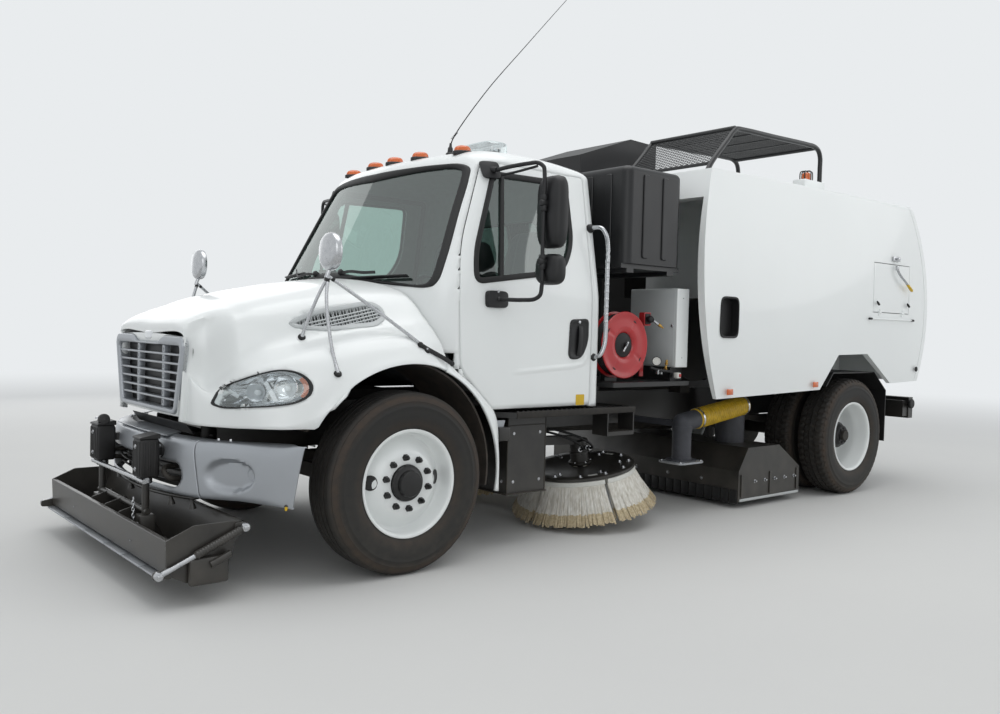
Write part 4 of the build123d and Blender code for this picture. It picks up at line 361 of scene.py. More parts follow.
def finish(name, base, second, patchMm, rough, grainMm, bumpMm, dust=0.0, mix=0.5, stretch=(1, 1, 1), ring=None,
           **shader):
    # base colour drifting to a second one in soft patches, roughness that drifts with them, and a fine
    # grain in the bump; dust is how strongly road dust settles on what lies under axle height
    made, tree = newMaterial(name)
    surface = tree.nodes["Principled BSDF"]
    where = addNode(tree, "TexCoord")
    scaled = addNode(tree, "Mapping", {"Scale": stretch}, {"Vector": (where, "Object")})
    patches, grain = (addNode(tree, "TexNoise", {"Scale": 1000 / size, "Detail": detail},
                              {"Vector": (scaled, "Vector")})
                      for size, detail in ((patchMm, 4.0), (grainMm, 2.0)))
    spread = addNode(tree, "MapRange", {"From Min": 0.3, "From Max": 0.7, "To Max": mix}, {"Value": (patches, "Fac")})
    colour = addNode(tree, "Mix", {"data_type": "RGBA", 6: linear(base), 7: linear(second)}, {0: (spread, "Result")})
    masks = []
    if dust:
        height = addNode(tree, "SeparateXYZ", None, {"Vector": (where, "Object")})
        low = addNode(tree, "MapRange", {"From Min": 1.1, "From Max": 0.1, "To Max": dust}, {"Value": (height, "Z")})
        masks.append(("#8B8478", (low, "Result")))
    if ring:
        masks.append((ring, (addNode(tree, "Attribute", {"attribute_name": "ring"}), "Fac")))
    for tone, mask in masks:
        share = addNode(tree, "Math", {"operation": "MULTIPLY"}, {0: mask, 1: (patches, "Fac")})
        colour = addNode(tree, "Mix", {"data_type": "RGBA", 7: linear(tone)}, {0: (share, "Value"), 6: (colour, 2)})
    gloss = addNode(tree, "MapRange", {"To Min": rough[0], "To Max": rough[1]}, {"Value": (patches, "Fac")})
    bump = addNode(tree, "Bump", {"Strength": 0.6, "Distance": bumpMm / 1000}, {"Height": (grain, "Fac")})
    for node, output, socket in ((colour, 2, "Base Color"), (gloss, "Result", "Roughness"), (bump, "Normal", "Normal")):
        tree.links.new(node.outputs[output], surface.inputs[socket])
    for key, value in shader.items():
        surface.inputs[key.replace("_", " ")].default_value = value
    return made


# White two-pack enamel, sprayed: a clear gloss coat over a very faint orange peel
whitePaint = finish("whiteEnamelSprayed", "#EDF0EF", "#E7EAE9", 900, (0.3, 0.38), 9, 0.02, 0.1,
                    Coat_Weight=0.5, Coat_Roughness=0.06)
# Silver metallic paint on moulded plastic: satin, with no mirror in it
silverPaint = finish("silverMetallicPaint", "#A9ADB2", "#9DA1A6", 500, (0.32, 0.42), 1.2, 0.01, 0.12,
                     Metallic=0.55, Coat_Weight=0.25, Coat_Roughness=0.15)
# Black chassis enamel, brushed or dipped: a soft shine with dust in it
blackPaint = finish("blackChassisEnamel", "#0D0E10", "#17181A", 160, (0.3, 0.46), 5, 0.06, 0.3,
                    Coat_Weight=0.15, Coat_Roughness=0.25)
# Cast iron and forged steel under black paint, rough from the sand and the scale
castIron = finish("blackedCastIron", "#121111", "#221F1D", 60, (0.55, 0.75), 3, 0.35, 0.45, Metallic=0.3)
# Zinc-plated steel, drawn: bright bars, rods and fittings with a grey cloud in the plating
plated = finish("zincPlatedSteel", "#C3C4C6", "#9FA2A6", 25, (0.18, 0.34), 1, 0.01, Metallic=1.0)
# Chrome plate on polished steel: near mirror, for lamp bowls and mirror backs
chrome = finish("chromePlate", "#DCDEE0", "#CDD0D3", 80, (0.04, 0.08), 6, 0.004, Metallic=1.0)
# Tyre rubber, moulded and used on dusty roads: matt black, brown where the ring attribute marks the scuffed band
tyreRubber = finish("tyreRubber", "#131312", "#1E1C1A", 45, (0.62, 0.8), 4, 0.25, 0.12, ring="#4A3A2C")
# Black EPDM rubber for seals, straps and hoses: matt, smooth
blackRubber = finish("epdmRubber", "#0B0B0C", "#141415", 50, (0.5, 0.66), 2, 0.05)
# Black grained ABS, injection moulded: fine leather-like grain, soft shine
blackAbs = finish("blackGrainedAbs", "#0F0F11", "#171719", 120, (0.42, 0.55), 1.6, 0.12, 0.1)
# Fender liner polypropylene, brown with road dust
linerPlastic = finish("dustyPolypropylene", "#2A2623", "#473E36", 90, (0.65, 0.85), 6, 0.3, 0.3, 0.8)
# Rotomoulded polyethylene tank: deep black, slightly wavy
tankPlastic = finish("rotomouldedTank", "#0C0D0F", "#141518", 200, (0.34, 0.48), 4, 0.25)
# Safety-red enamel on pressed steel
redEnamel = finish("redEnamel", "#B3151B", "#9C1016", 120, (0.28, 0.4), 6, 0.02, Coat_Weight=0.4, Coat_Roughness=0.1)
# Light grey powder coat, baked: a fine dimpled skin; on the control cabinet the same grey is painted shade, darkening
# its front face and body beside the white outer side
greyCoatAndPaintedShade = finish("paleGreyCoatAndPaintedShade", "#BFC3C3", "#B2B6B6", 300, (0.4, 0.5), 2.5, 0.1, 0.1)
# Yellow ribbed PVC hose with grime between the ribs
yellowHose = finish("yellowPvcHose", "#C9A416", "#8F7514", 40, (0.38, 0.6), 3, 0.12, mix=0.7)
# Polypropylene broom bristle, cream with dust near the tips
bristlePlastic = finish("creamBristle", "#EBE9E2", "#C6C0B2", 18, (0.55, 0.8), 2, 0.1, 0.35, 0.85, (1, 1, 0.15))
# Woven grey seat cloth, about 1 mm threads drawn at 3 mm so that they show
seatCloth = finish("wovenSeatCloth", "#55585B", "#43464A", 3, (0.85, 0.95), 3, 0.5, Sheen_Weight=0.3)
# Dashboard vinyl, soft grained grey
dashVinyl = finish("greyDashVinyl", "#4A4C4E", "#3E4042", 70, (0.55, 0.7), 2, 0.2)
# Grey moulded headliner and door cards
liningFelt = finish("greyCabLining", "#9A9C9B", "#8B8D8C", 60, (0.8, 0.92), 2.5, 0.25)
# Amber and red polycarbonate lenses, moulded with fine flutes
amberLens = finish("amberLens", "#D4631B", "#B84F12", 15, (0.12, 0.2), 4, 0.3, Coat_Weight=0.6, Coat_Roughness=0.05)
redLens = finish("redLens", "#A31317", "#8A0E12", 15, (0.12, 0.22), 4, 0.3, Coat_Weight=0.6, Coat_Roughness=0.05)
# Frosted bulb glass and clear lamp parts
whiteLens = finish("frostedBulbGlass", "#E9EDF0", "#DCE2E6", 20, (0.15, 0.25), 2, 0.05,
                   Coat_Weight=0.5, Coat_Roughness=0.05)
# Yellow dipped grip of hand levers
yellowGrip = finish("yellowDippedGrip", "#D8B21C", "#C79F12", 30, (0.4, 0.5), 3, 0.05)
# White nylon of the brooms' clamp bands and tags
whiteTrim = finish("mouldedWhiteNylon", "#D9D9D3", "#C9C8C0", 30, (0.4, 0.55), 2, 0.05)
# Worn bristle ends, stained by the road
brownTips = finish("wornBristleTips", "#CDBE9E", "#A08E6E", 14, (0.6, 0.85), 2, 0.1, mix=0.9)
# Moulded duct rubber, greyed
ductGrey = finish("greyDuctRubber", "#3B3D44", "#2D2F35", 60, (0.5, 0.7), 3, 0.15, 0.1, 0.7)
# Turned brass of nozzles and valves, and the blue nylon of air fittings
brass = finish("turnedBrass", "#C09A54", "#A9823E", 20, (0.22, 0.35), 1, 0.01, Metallic=1.0)
blueFitting = finish("blueNylonFitting", "#2B4FA0", "#22408A", 20, (0.35, 0.5), 1.5, 0.03)
# Hub paint, black and chipped by the spanner
wheelBlack = finish("wheelHubBlack", "#0F0F10", "#232120", 35, (0.28, 0.5), 3, 0.1)


def glassMaterial(name, tint, seeThrough):
    # tinted sheet glass: straight-through tint mixed with a mirror that grows towards the edge of sight
    made, tree = newMaterial(name)
    tree.nodes.remove(tree.nodes["Principled BSDF"])
    where = addNode(tree, "TexCoord")
    waves = addNode(tree, "TexNoise", {"Scale": 3.0}, {"Vector": (where, "Object")})
    bump = addNode(tree, "Bump", {"Strength": 0.05, "Distance": 0.002}, {"Height": (waves, "Fac")})
    clear = addNode(tree, "BsdfTransparent", {"Color": linear(tint)})
    mirror = addNode(tree, "BsdfGlossy", {"Roughness": 0.02, "Color": (0.9, 0.95, 0.93, 1)},
                     {"Normal": (bump, "Normal")})
    edge = addNode(tree, "Fresnel", {"IOR": 1.5}, {"Normal": (bump, "Normal")})
    share = addNode(tree, "Math", {"operation": "MULTIPLY_ADD", 1: 1 - seeThrough, 2: (1 - seeThrough) / 2},
                    {0: (edge, "Fac")})
    mixed = addNode(tree, "MixShader", None, {0: (share, "Value"), 1: (clear, "BSDF"), 2: (mirror, "BSDF")})
    tree.links.new(mixed.outputs["Shader"], tree.nodes["Material Output"].inputs["Surface"])
    return made


# Laminated windscreen and door glass with a green tint
cabGlass = glassMaterial("greenTintedGlass", "#BFD6CF", 0.68)
# Clear polycarbonate cover of the headlamps
lampCover = glassMaterial("clearPolycarbonate", "#F2F5F6", 0.72)
print("stage: materials")

# The finish of every CAD node that stays in view
nodeFinish = {
    whitePaint: "hood_shell cab_shell door_left door_right hopper_shell rear_door inspection_door control_box "
                "rim_front_left rim_front_right rims_rear_left rims_rear_right roof_beacon",
    silverPaint: "front_bumper grille",
    blackPaint: "frame_rails magnet_bar magnet_lifts hood_mirrors mirror_left mirror_right grab_handles "
                "running_boards tank_frame roof_guard broom_arm_left broom_arm_right rear_bumper pickup_head",
    castIron: "front_axle leaf_springs rear_axle truck_engine knuckle_left knuckle_right tie_rod aux_engine "
              "chassis_brackets",
    tyreRubber: "tyre_front_left tyre_front_right tyres_rear_left tyres_rear_right",
    blackAbs: "air_housing rear_fenders",
    linerPlastic: "fender_liners",
    blackRubber: "antenna",
    ductGrey: "ducts",
    tankPlastic: "water_tanks",
    redEnamel: "hose_reel",
    yellowHose: "blast_hose",
    bristlePlastic: "broom_left broom_right",
    seatCloth: "seats",
    dashVinyl: "dashboard",
    amberLens: "roof_lamps",
    cabGlass: "cab_glass door_glass_left door_glass_right",
    lampCover: "headlamps",
}
for made, names in nodeFinish.items():
    for name in names.split():
        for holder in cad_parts[name].material_slots:
            holder.material = made
print("stage: node finishes")

# ---- hood
hoodLook = {
    # sections along the hood: x from the front axle, then the heights and half widths of its levels
    "stations": (1.035, 1.03, 1.01, 0.96, 0.9, 0.85, 0.78, 0.7, 0.52, 0.35, 0.17, 0.0, -0.13, -0.232),
    "crown": (1.3, 1.345, 1.374, 1.402, 1.432, 1.454, 1.482, 1.515, 1.567, 1.605, 1.632, 1.65, 1.662, 1.67),
    "shoulderY": (0.548, 0.566, 0.582, 0.602, 0.622, 0.636, 0.652, 0.668, 0.698, 0.722, 0.744, 0.76, 0.774, 0.784),
    "shoulderZ": (1.284, 1.304, 1.32, 1.343, 1.366, 1.384, 1.408, 1.44, 1.486, 1.52, 1.545, 1.56, 1.57, 1.578),
    "valleyY": (0.533, 0.59, 0.612, 0.648, 0.69, 0.715, 0.745, 0.775, 0.828, 0.868, 0.9, 0.925, 0.944, 0.958),
    "valleyZ": (1.15, 1.12, 1.08, 1.035, 1.075, 1.13, 1.19, 1.238, 1.29, 1.33, 1.366, 1.392, 1.41, 1.42),
    "browY": (0.524, 0.625, 0.672, 0.76, 0.835, 0.872, 0.915, 0.952, 1.022, 1.06, 1.078, 1.085, 1.082, 1.07),
    "browZ": (1.08, 1.06, 1.03, 1.0, 1.05, 1.088, 1.13, 1.16, 1.215, 1.26, 1.296, 1.312, 1.3, 1.275),
    "flankY": (0.508, 0.66, 0.715, 0.815, 0.895, 0.94, 0.992, 1.04, 1.11, 1.142, 1.154, 1.158, 1.15, 1.13),
    "flankZ": (0.98, 0.97, 0.96, 0.955, 0.97, 0.985, 1.0, 1.02, 1.075, 1.13, 1.18, 1.205, 1.195, 1.165),
    "skirtY": (0.48, 0.69, 0.748, 0.842, 0.928, 0.972, 1.03, 1.08, 1.135, 1.155, 1.16, 1.162, 1.156, 1.14),
    "skirtZ": 0.835,
    "archX": 0.005, "archZ": 0.54, "archR": 0.63,
    "flare": 0.012, "flareWidth": 0.03,
    "skin": 0.018, "tuck": (-0.036, -0.09, -0.01),
}


def archTop(x):
    # height of the wheel arch over x: z = archZ + sqrt(r^2 - (x - archX)^2)
    look = hoodLook
    return look["archZ"] + np.sqrt(np.maximum(look["archR"] ** 2 - (x - look["archX"]) ** 2, 0))


def archFlare(x, z):
    # outward flare round the arch: flare exp(-((r - R) / flareWidth)^2)
    look = hoodLook
    off = np.hypot(x - look["archX"], z - look["archZ"]) - look["archR"]
    return look["flare"] * np.exp(-(off / look["flareWidth"]) ** 2)


def hoodSurface():
    # level curves crown, shoulder, valley, brow, flank, skirt over the stations, then a spline across the levels;
    # the skirt row follows the wheel arch where that is higher, and the rear edge keeps clear of the cab's bowed
    # front, x = -0.262 + 0.21 (1 - (y / 1.065)^2)
    look = hoodLook
    x = np.array(look["stations"])
    levels = [xyz(x, 0, look["crown"])]
    levels += [xyz(x, look[name + "Y"], look[name + "Z"]) for name in ("shoulder", "valley", "brow", "flank")]
    levels.append(xyz(x, look["skirtY"], np.maximum(look["skirtZ"], archTop(x))))
    count = len(x) - 1
    at = np.concatenate([np.linspace(k, k + 1, 10, endpoint=False) for k in range(count)] + [[count]])
    levels = smoothCurve(np.array(levels).transpose(1, 0, 2), at).transpose(1, 0, 2)
    around = np.concatenate([np.linspace(k, k + 1, steps, endpoint=False)
                             for k, steps in enumerate((16, 8, 9, 8, 9), start=1)] + [[6]])
    surface = smoothCurve(np.concatenate([levels[1:2] * (1, -1, 1), levels]), around).transpose(1, 0, 2)
    px, py, pz = surface[..., 0], surface[..., 1], surface[..., 2]
    pz[:, -1] = np.maximum(look["skirtZ"], archTop(px))[:, -1]
    py += np.where(py > 0.9, archFlare(px, pz), 0)
    rear = -0.262 + 0.21 * (1 - np.clip(py / 1.065, 0, 1) ** 2)
    start = 0.35
    behind = px < start
    px[behind] = (start - (start - px) * (start - rear) / (start + 0.232))[behind]
    tuck = eased((px - 0.8) / 0.16) * eased((py - 0.5) / 0.12)
    return surface + tuck[..., None] * look["tuck"]


hoodGrid = hoodSurface()


def hoodSpot(x, z, lift=0.0):
    # the hood's side at each x and z: the plane y = a + b x + c z fitted to the surface's points with weights
    # 1 / (d^2 + 0.012^2)^2, lifted along its normal (-b, 1, -c)
    side = hoodGrid[:, 14:].reshape(-1, 3)
    spots = np.stack([np.ravel(x), np.ravel(z)], axis=-1)
    apart = side[None, :, (0, 2)] - spots[:, None]
    weight = 1 / ((apart**2).sum(-1) + 0.012**2) ** 2
    terms = np.concatenate([np.ones(apart.shape[:2] + (1,)), apart], axis=-1)
    square = np.einsum("pn,pni,pnj->pij", weight, terms, terms) + 1e-9 * np.eye(3)
    fit = np.linalg.solve(square, np.einsum("pn,pni,n->pi", weight, terms, side[:, 1])[..., None])[..., 0]
    lift = np.broadcast_to(lift, len(fit))[:, None]
    return xyz(spots[:, 0], fit[:, 0], spots[:, 1]) + unit(xyz(-fit[:, 1], 1, -fit[:, 2])) * lift


lampLook = {
    # the headlamp's outline on the flank, x and z from its tip along the top and back
    "outline": ((0.972, 0.955), (0.955, 0.992), (0.905, 1.045), (0.84, 1.084), (0.77, 1.114), (0.7, 1.13),
                (0.635, 1.122), (0.592, 1.09), (0.578, 1.05), (0.598, 1.005), (0.655, 0.972), (0.74, 0.955),
                (0.85, 0.944), (0.945, 0.94)),
    "depth": 0.075, "proud": 0.006,
}
lampOutline = smoothCurve(lampLook["outline"], 72, closed=True)
lampOutline += eased((lampOutline[:, :1] - 0.8) / 0.16) * np.array(hoodLook["tuck"])[[0, 2]]
ventLook = {
    # the vent frame's outline on the hood's side, x and z from its front tip over the top
    "outline": ((0.548, 1.374), (0.485, 1.416), (0.384, 1.452), (0.221, 1.486), (0.075, 1.508), (0.02, 1.484),
                (0.012, 1.428), (0.07, 1.382), (0.196, 1.36), (0.345, 1.342), (0.463, 1.344), (0.526, 1.355)),
    "rim": 0.022, "slats": 7, "ribs": 34,
}
ventOutline = evenly(smoothCurve(ventLook["outline"], 120, closed=True), 96)


def hoodParts():
    # the hood's skin with its lamp and vent openings, and the fender leg: a fan of rings between the arch and
    # the seam, whose outline is given by polar angle about the arch
    look = hoodLook
    skin = cutPart(gridPart(hoodGrid), (0, 2), lampOutline, hoodSpot, lambda spots: spots[:, 1] > 0.74, 0.011)
    skin = cutPart(skin, (0, 2), drawnIn(ventOutline, 0.008), hoodSpot,
                   lambda spots: (spots[:, 1] > 0.6) & (spots[:, 2] > 1.25), 0.011)
    centre = np.array([look["archX"], look["archZ"]])
    outer = smoothCurve([(-0.262, 1.19), (-0.31, 1.135), (-0.42, 1.058), (-0.54, 0.952), (-0.618, 0.872),
                         (-0.646, 0.78), (-0.652, 0.66), (-0.656, 0.5), (-0.665, 0.4)], 40)
    inner = centre + look["archR"] * unit(outer - centre)
    near = np.linalg.norm(outer - centre, axis=1) < look["archR"] + 0.004
    inner = np.where(near[:, None], outer - 0.002, inner)
    inner[:, 1] = np.maximum(inner[:, 1], 0.4)
    share = np.array([0, 0.1, 0.25, 0.45, 0.7, 0.9, 1.0])[None, :, None]
    flat = inner[:, None] * (1 - share) + outer[:, None] * share
    y = 1.156 - 0.02 * share[..., 0] ** 3 + archFlare(flat[..., 0], flat[..., 1])
    return [skin, gridPart(xyz(flat[..., 0], y, flat[..., 1]))]


hood = makePiece("hoodSkin", bothSides(hoodParts()), [whitePaint], "hood", "hood_shell", 50)
thicken(hood, hoodLook["skin"])
print("stage: hood skin")


def crossings(outline, x):
    # highest and lowest z at which a closed outline crosses each x
    top, low = [], []
    for each in x:
        found = [a[1] + (b[1] - a[1]) * (each - a[0]) / (b[0] - a[0]) for a, b in zip(outline, np.roll(outline, -1, 0))
                 if (a[0] - each) * (b[0] - each) < 0]
        top.append(max(found))
        low.append(min(found))
    return np.array(top), np.array(low)


def ventParts():
    # frame: rings from the outline inwards, lifted over the hood's side and then turned down into the opening;
    # backing: the outline sunk 28 mm; slats: level blades between the frame's sides with small ribs between them
    look = ventLook
    rim, up = look["rim"], (0.2, 0.75, 0.62)
    parts = [ringPart([hoodSpot(*drawnIn(ventOutline, inward).T, lift) for inward, lift in
                       ((-0.001, -0.001), (0.0, 0.003), (0.004, 0.005), (rim - 0.004, 0.004), (rim, 0.001),
                        (rim + 0.001, -0.012), (rim + 0.001, -0.03))], capEnd=False)]
    middle, hole = ventOutline.mean(0), drawnIn(ventOutline, rim)
    parts.append(ringPart([hoodSpot(*(middle + (hole - middle) * share).T, -0.028) for share in (1.0, 0.6, 0.2)], 1))
    x = np.linspace(hole[:, 0].min() + 0.004, hole[:, 0].max() - 0.004, 60)
    top, low = crossings(hole, x)
    axis = 1.432 - 0.125 * (x - 0.02) / 0.5
    for level in np.linspace(-0.054, 0.054, look["slats"]):
        z = axis + level
        fits = (z < top) & (z > low)
        if fits.sum() > 3:
            blade = [(-0.003, -0.006), (0.003, -0.006), (0.0035, 0.004), (-0.0035, 0.004)]
            parts.append(sweepPart(hoodSpot(x[fits], z[fits], -0.004), blade, 0, up))
    for k in np.linspace(2, 57, look["ribs"]).astype(int):
        wide, lift = (0.005, -0.001) if k == 16 else (0.0018, -0.006)
        line = hoodSpot(x[k] + np.zeros(4), np.linspace(low[k], top[k], 4), lift)
        parts.append(sweepPart(line, [(-wide, -0.004), (wide, -0.004), (wide, 0.003), (-wide, 0.003)], 0, up))
    return parts


makePiece("hoodVents", bothSides(ventParts()), [greyCoatAndPaintedShade, blackAbs], "hood")
print("stage: hood vents")


def lampParts():
    # lens: rings from the outline to its middle, bulged out by proud * (1 - share^2); bowl: the same rings sunk by
    # depth; reflectors are dished lathes, the divider bars are blades and the amber strip follows the rear edge
    edge = hoodSpot(*lampOutline.T)
    middle = edge.mean(0)
    out = np.cross(edge[18] - edge[54], edge[0] - edge[36])
    out = unit(out) * np.sign(out[1])

    def ring(share):
        return middle + (edge - middle) * share

    parts = [ringPart([hoodSpot(*ring(share)[:, (0, 2)].T, lampLook["proud"] * (1 - share**2) + 0.001)
                       for share in (1.0, 0.97, 0.85, 0.65, 0.4, 0.15)]),
             ringPart([ring(share) - out * lampLook["depth"] * d for share, d in
                       ((1.0, 0.0), (0.97, 0.35), (0.86, 0.8), (0.65, 1.0), (0.35, 1.0), (0.1, 1.0))], 1, flip=True),
             ringPart([ring(1 + grow) + out * lift for grow, lift in
                       ((0.045, -0.002), (0.035, 0.004), (0.0, 0.006), (-0.035, 0.004), (-0.04, -0.006))], 2,
                      capEnd=False)]
    for x, z, size in ((0.82, 1.02, 0.052), (0.7, 1.045, 0.062)):
        seat = hoodSpot([x], [z])[0] - out * 0.028
        dish = [(0.004, -0.036), (size * 0.5, -0.03), (size * 0.85, -0.012), (size, 0.004), (size * 1.04, 0.0)]
        parts.append(lathePart(dish, seat, out, 1, 40, capStart=True))
        parts.append(lathePart([(0.0005, 0.0), (0.012, -0.004), (0.016, -0.016), (0.016, -0.03)], seat, out, 3, 24))
    for x, low, high in ((0.765, 0.975, 1.07), (0.885, 0.988, 1.032)):
        bar = hoodSpot(np.linspace(x - 0.02, x + 0.01, 8), np.linspace(low, high, 8)) - out * 0.026
        parts.append(sweepPart(bar, [(-0.009, -0.02), (0.009, -0.02), (0.011, 0.012), (-0.011, 0.012)], 1, out))
    strip = hoodSpot((0.625, 0.605, 0.603, 0.618), (0.995, 1.03, 1.062, 1.095)) - out * 0.012
    section = [(-0.013, -0.01), (0.013, -0.01), (0.013, 0.006), (-0.013, 0.006)]
    parts.append(sweepPart(smoothCurve(strip, 16), section, 4, out))
    return parts


makePiece("headlampUnits", bothSides(lampParts()), [lampCover, chrome, blackRubber, whiteLens, amberLens],
          "hood", "headlamps", 45)
print("stage: headlamps")

# ---- grille
grilleLook = {
    "topZ": 1.29, "lowZ": 0.868, "halfTop": 0.548, "halfLow": 0.472, "radius": 0.055,
    "dipHalf": 0.215, "dip": 0.04,
    "band": 0.04, "topBand": 0.052,
    "bars": 6, "blockY": 0.205,
}


def grilleOutline(inward, dipShare):
    # closed outline (y, z): straight sides between rounded corners, 41 points along a top edge that dips by
    # dip / (1 + ((y / dipHalf)^2)^6) in its middle
    look = grilleLook
    top = look["topZ"] - (look["topBand"] if dipShare == 0 else inward)
    halfTop, halfLow = look["halfTop"] - inward, look["halfLow"] - inward
    low = look["lowZ"] + min(inward, 0.026)
    turn = np.linspace(0, np.pi / 2, 7)
    r = look["radius"] - inward * 0.6
    corners = [xyz(y + r * np.cos(begin + turn), z + r * np.sin(begin + turn))
               for y, z, begin in ((halfLow - r, low + r, -np.pi / 2), (halfTop - r, top - r, 0.0))]
    y = np.linspace(halfTop - r, -(halfTop - r), 43)[1:-1]
    edge = xyz(y, top - dipShare * look["dip"] / (1 + (y / look["dipHalf"]) ** 12))
    return np.concatenate(corners + [edge] + [corner[::-1] * (-1, 1) for corner in corners[::-1]])


def upright(ring, x):
    # a ring (y, z) stood at x
    return xyz(x, ring[:, 0], ring[:, 1])


def grilleParts():
    # frame: rings blended from the outer outline to the opening; bars: blades across; blocks: square rings in two
    # columns; backing: a slightly bulged dark screen
    look = grilleLook
    outer, inner = grilleOutline(0.0, 1.0), grilleOutline(look["band"], 0.0)
    parts = [ringPart([upright(outer * (1 - share) + inner * share, x) for share, x in
                       ((0.0, 1.01), (0.0, 1.034), (0.05, 1.043), (0.14, 1.048), (0.5, 1.05), (0.86, 1.047),
                        (0.97, 1.041), (1.0, 1.03), (1.0, 0.985))], capEnd=False)]
    heights = np.linspace(inner[:, 1].min(), inner[:, 1].max(), look["bars"] + 2)
    slope = (look["halfTop"] - look["halfLow"]) / (look["topZ"] - look["lowZ"])
    blade = [(-0.034, -0.004), (0.004, -0.007), (0.012, -0.005), (0.014, 0.0), (0.012, 0.005), (0.004, 0.007),
             (-0.034, 0.004)]
    for z in heights[1:-1]:
        half = look["halfLow"] - look["band"] + slope * (z - look["lowZ"]) + 0.004
        parts.append(sweepPart(xyz(1.024, np.linspace(-half, half, 9), z), blade))
    square = roundedOutline([(-0.017, -0.023), (0.017, -0.023), (0.017, 0.023), (-0.017, 0.023)], 0.003, 2)
    for z in (heights[:-1] + heights[1:]) / 2:
        for y in (-look["blockY"], look["blockY"]):
            rows = [upright(square * share + (y, z), x) for share, x in
                    ((1.0, 0.99), (1.0, 1.02), (0.93, 1.023), (0.42, 1.023), (0.36, 1.018), (0.36, 1.0))]
            parts.append(ringPart(rows, capEnd=False))
            parts.append(ringPart([rows[-1], rows[-1] * (1, 0, 0) + (0, y, z)], 1, capEnd=False))
    middle = inner.mean(0)
    parts.append(ringPart([upright(middle + (inner - middle) * share, 0.978 + 0.006 * (1 - share**2))
                           for share in (1.04, 0.8, 0.5, 0.2)], 1))
    return parts


makePiece("grilleUnit", grilleParts(), [silverPaint, blackAbs], "hood", "grille", 38)


def noseParts():
    # white surround: the frame's outline, then the same outline pushed out to the hood's front edge; the lower lip
    # rolls under; boss: a blank rounded badge seat over the dip, r = 1 - (u^4 + v^4)
    outer = grilleOutline(0.0, 1.0)
    y, z = outer.T
    high = np.where(z > 1.23, 1.3 - 0.016 * np.minimum(np.abs(y) / grilleLook["halfTop"], 1) ** 2, z)
    edge = xyz(y * (1 + 0.004 * np.clip((z - 1.22) / 0.05, 0, 1)),
               np.maximum(np.where(z < 0.93, z - (0.93 - z) * 0.55, high), 0.866))
    parts = [ringPart([upright(outer * (1 - share) + edge * share, x) for share, x in
                       ((0.0, 1.012), (0.0, 1.03), (0.25, 1.036), (0.7, 1.037), (1.0, 1.034), (1.03, 1.024))],
                      capEnd=False)]
    side = np.linspace(-1, 1, 25)
    section = ((1.034, 0.87), (1.034, 0.862), (1.028, 0.854), (1.008, 0.85), (0.98, 0.85))
    parts.append(gridPart([xyz(x - 0.02 * np.abs(side) ** 3, side * 0.486, h) for x, h in section]))
    u, v = np.meshgrid(np.linspace(0, 1, 9), np.linspace(0, 2 * np.pi, 40, endpoint=False), indexing="ij")
    corner = (np.abs(np.cos(v)) ** 4 + np.abs(np.sin(v)) ** 4) ** -0.25
    rise = 0.009 * np.sqrt(np.clip(1 - u**4, 0, 1))
    boss = xyz(1.032 + rise, u * 0.066 * corner * np.cos(v), 1.288 + u * 0.026 * corner * np.sin(v))
    parts.append(ringPart(boss[::-1], 1))
    return parts


makePiece("hoodNose", noseParts(), [whitePaint, chrome], "hood")
print("stage: grille and nose")

# ---- cab: skin, doors, glass
cabLook = {
    "halfWidth": 1.065, "topHalfWidth": 0.925, "waistZ": 1.6, "edgeZ": 2.4, "waistSoft": 0.05,
    "frontX": -0.275, "rake": 0.493, "bow": 0.21, "bowShare": 0.87, "cornerX": 0.155, "backX": -1.584,
    "sillZ": 0.876,
    # roof levels: height and how far each is drawn in from the edge
    "roof": ((2.424, 0.006), (2.45, 0.022), (2.474, 0.05), (2.494, 0.09), (2.51, 0.15), (2.522, 0.25),
             (2.532, 0.4), (2.538, 0.6), (2.54, 0.85)),
    "roofDrop": 0.05,
    "panel": 0.02,
}


def cabFrame(z):
    # half width W and front line F at height z: both straight below the waist and sloping above it, blended by
    # (u + sqrt(u^2 + soft^2)) / 2 with u = z - waist
    look = cabLook
    u = np.asarray(z, float) - look["waistZ"]
    rise = (u + np.sqrt(u**2 + look["waistSoft"] ** 2)) / 2
    slope = (look["halfWidth"] - look["topHalfWidth"]) / (look["edgeZ"] - look["waistZ"])
    return look["halfWidth"] - slope * rise, look["frontX"] - look["rake"] * rise


def cabCorner(z):
    # the front corner's quadratic arc: it leaves the bow at y = bowShare W and meets the side cornerX behind F
    look = cabLook
    width, front = cabFrame(z)
    share = look["bowShare"]
    bowX = front + look["bow"] * (1 - share**2)
    turnX = bowX - 2 * look["bow"] * share * (1 - share)
    return (bowX, share * width), (turnX, width), (front - look["cornerX"], width)


def arcPoint(t, first, second, third):
    # quadratic arc: first (1 - t)^2 + 2 second t (1 - t) + third t^2
    return first * (1 - t) ** 2 + 2 * second * t * (1 - t) + third * t**2


def arcShare(value, first, second, third):
    # t of the quadratic arc where it takes the value
    a, b, c = first - 2 * second + third, 2 * (second - first), first - value
    root = np.sqrt(np.clip(b**2 - 4 * a * c, 0, None))
    return np.clip(-2 * c / (b + np.sign(b) * root), 0, 1)


def onCab(x, z, lift=0.0):
    # the side's point at x and z: y = W on the flat side and the corner's arc ahead of it
    x, z = np.broadcast_arrays(np.asarray(x, float), np.asarray(z, float))
    (bowX, bowY), (turnX, turnY), (sideX, sideY) = cabCorner(z)
    y = arcPoint(arcShare(np.maximum(x, sideX), bowX, turnX, sideX), bowY, turnY, sideY)
    return xyz(x + lift * np.clip((x - sideX) / 0.2, 0, 1), y + lift, z)


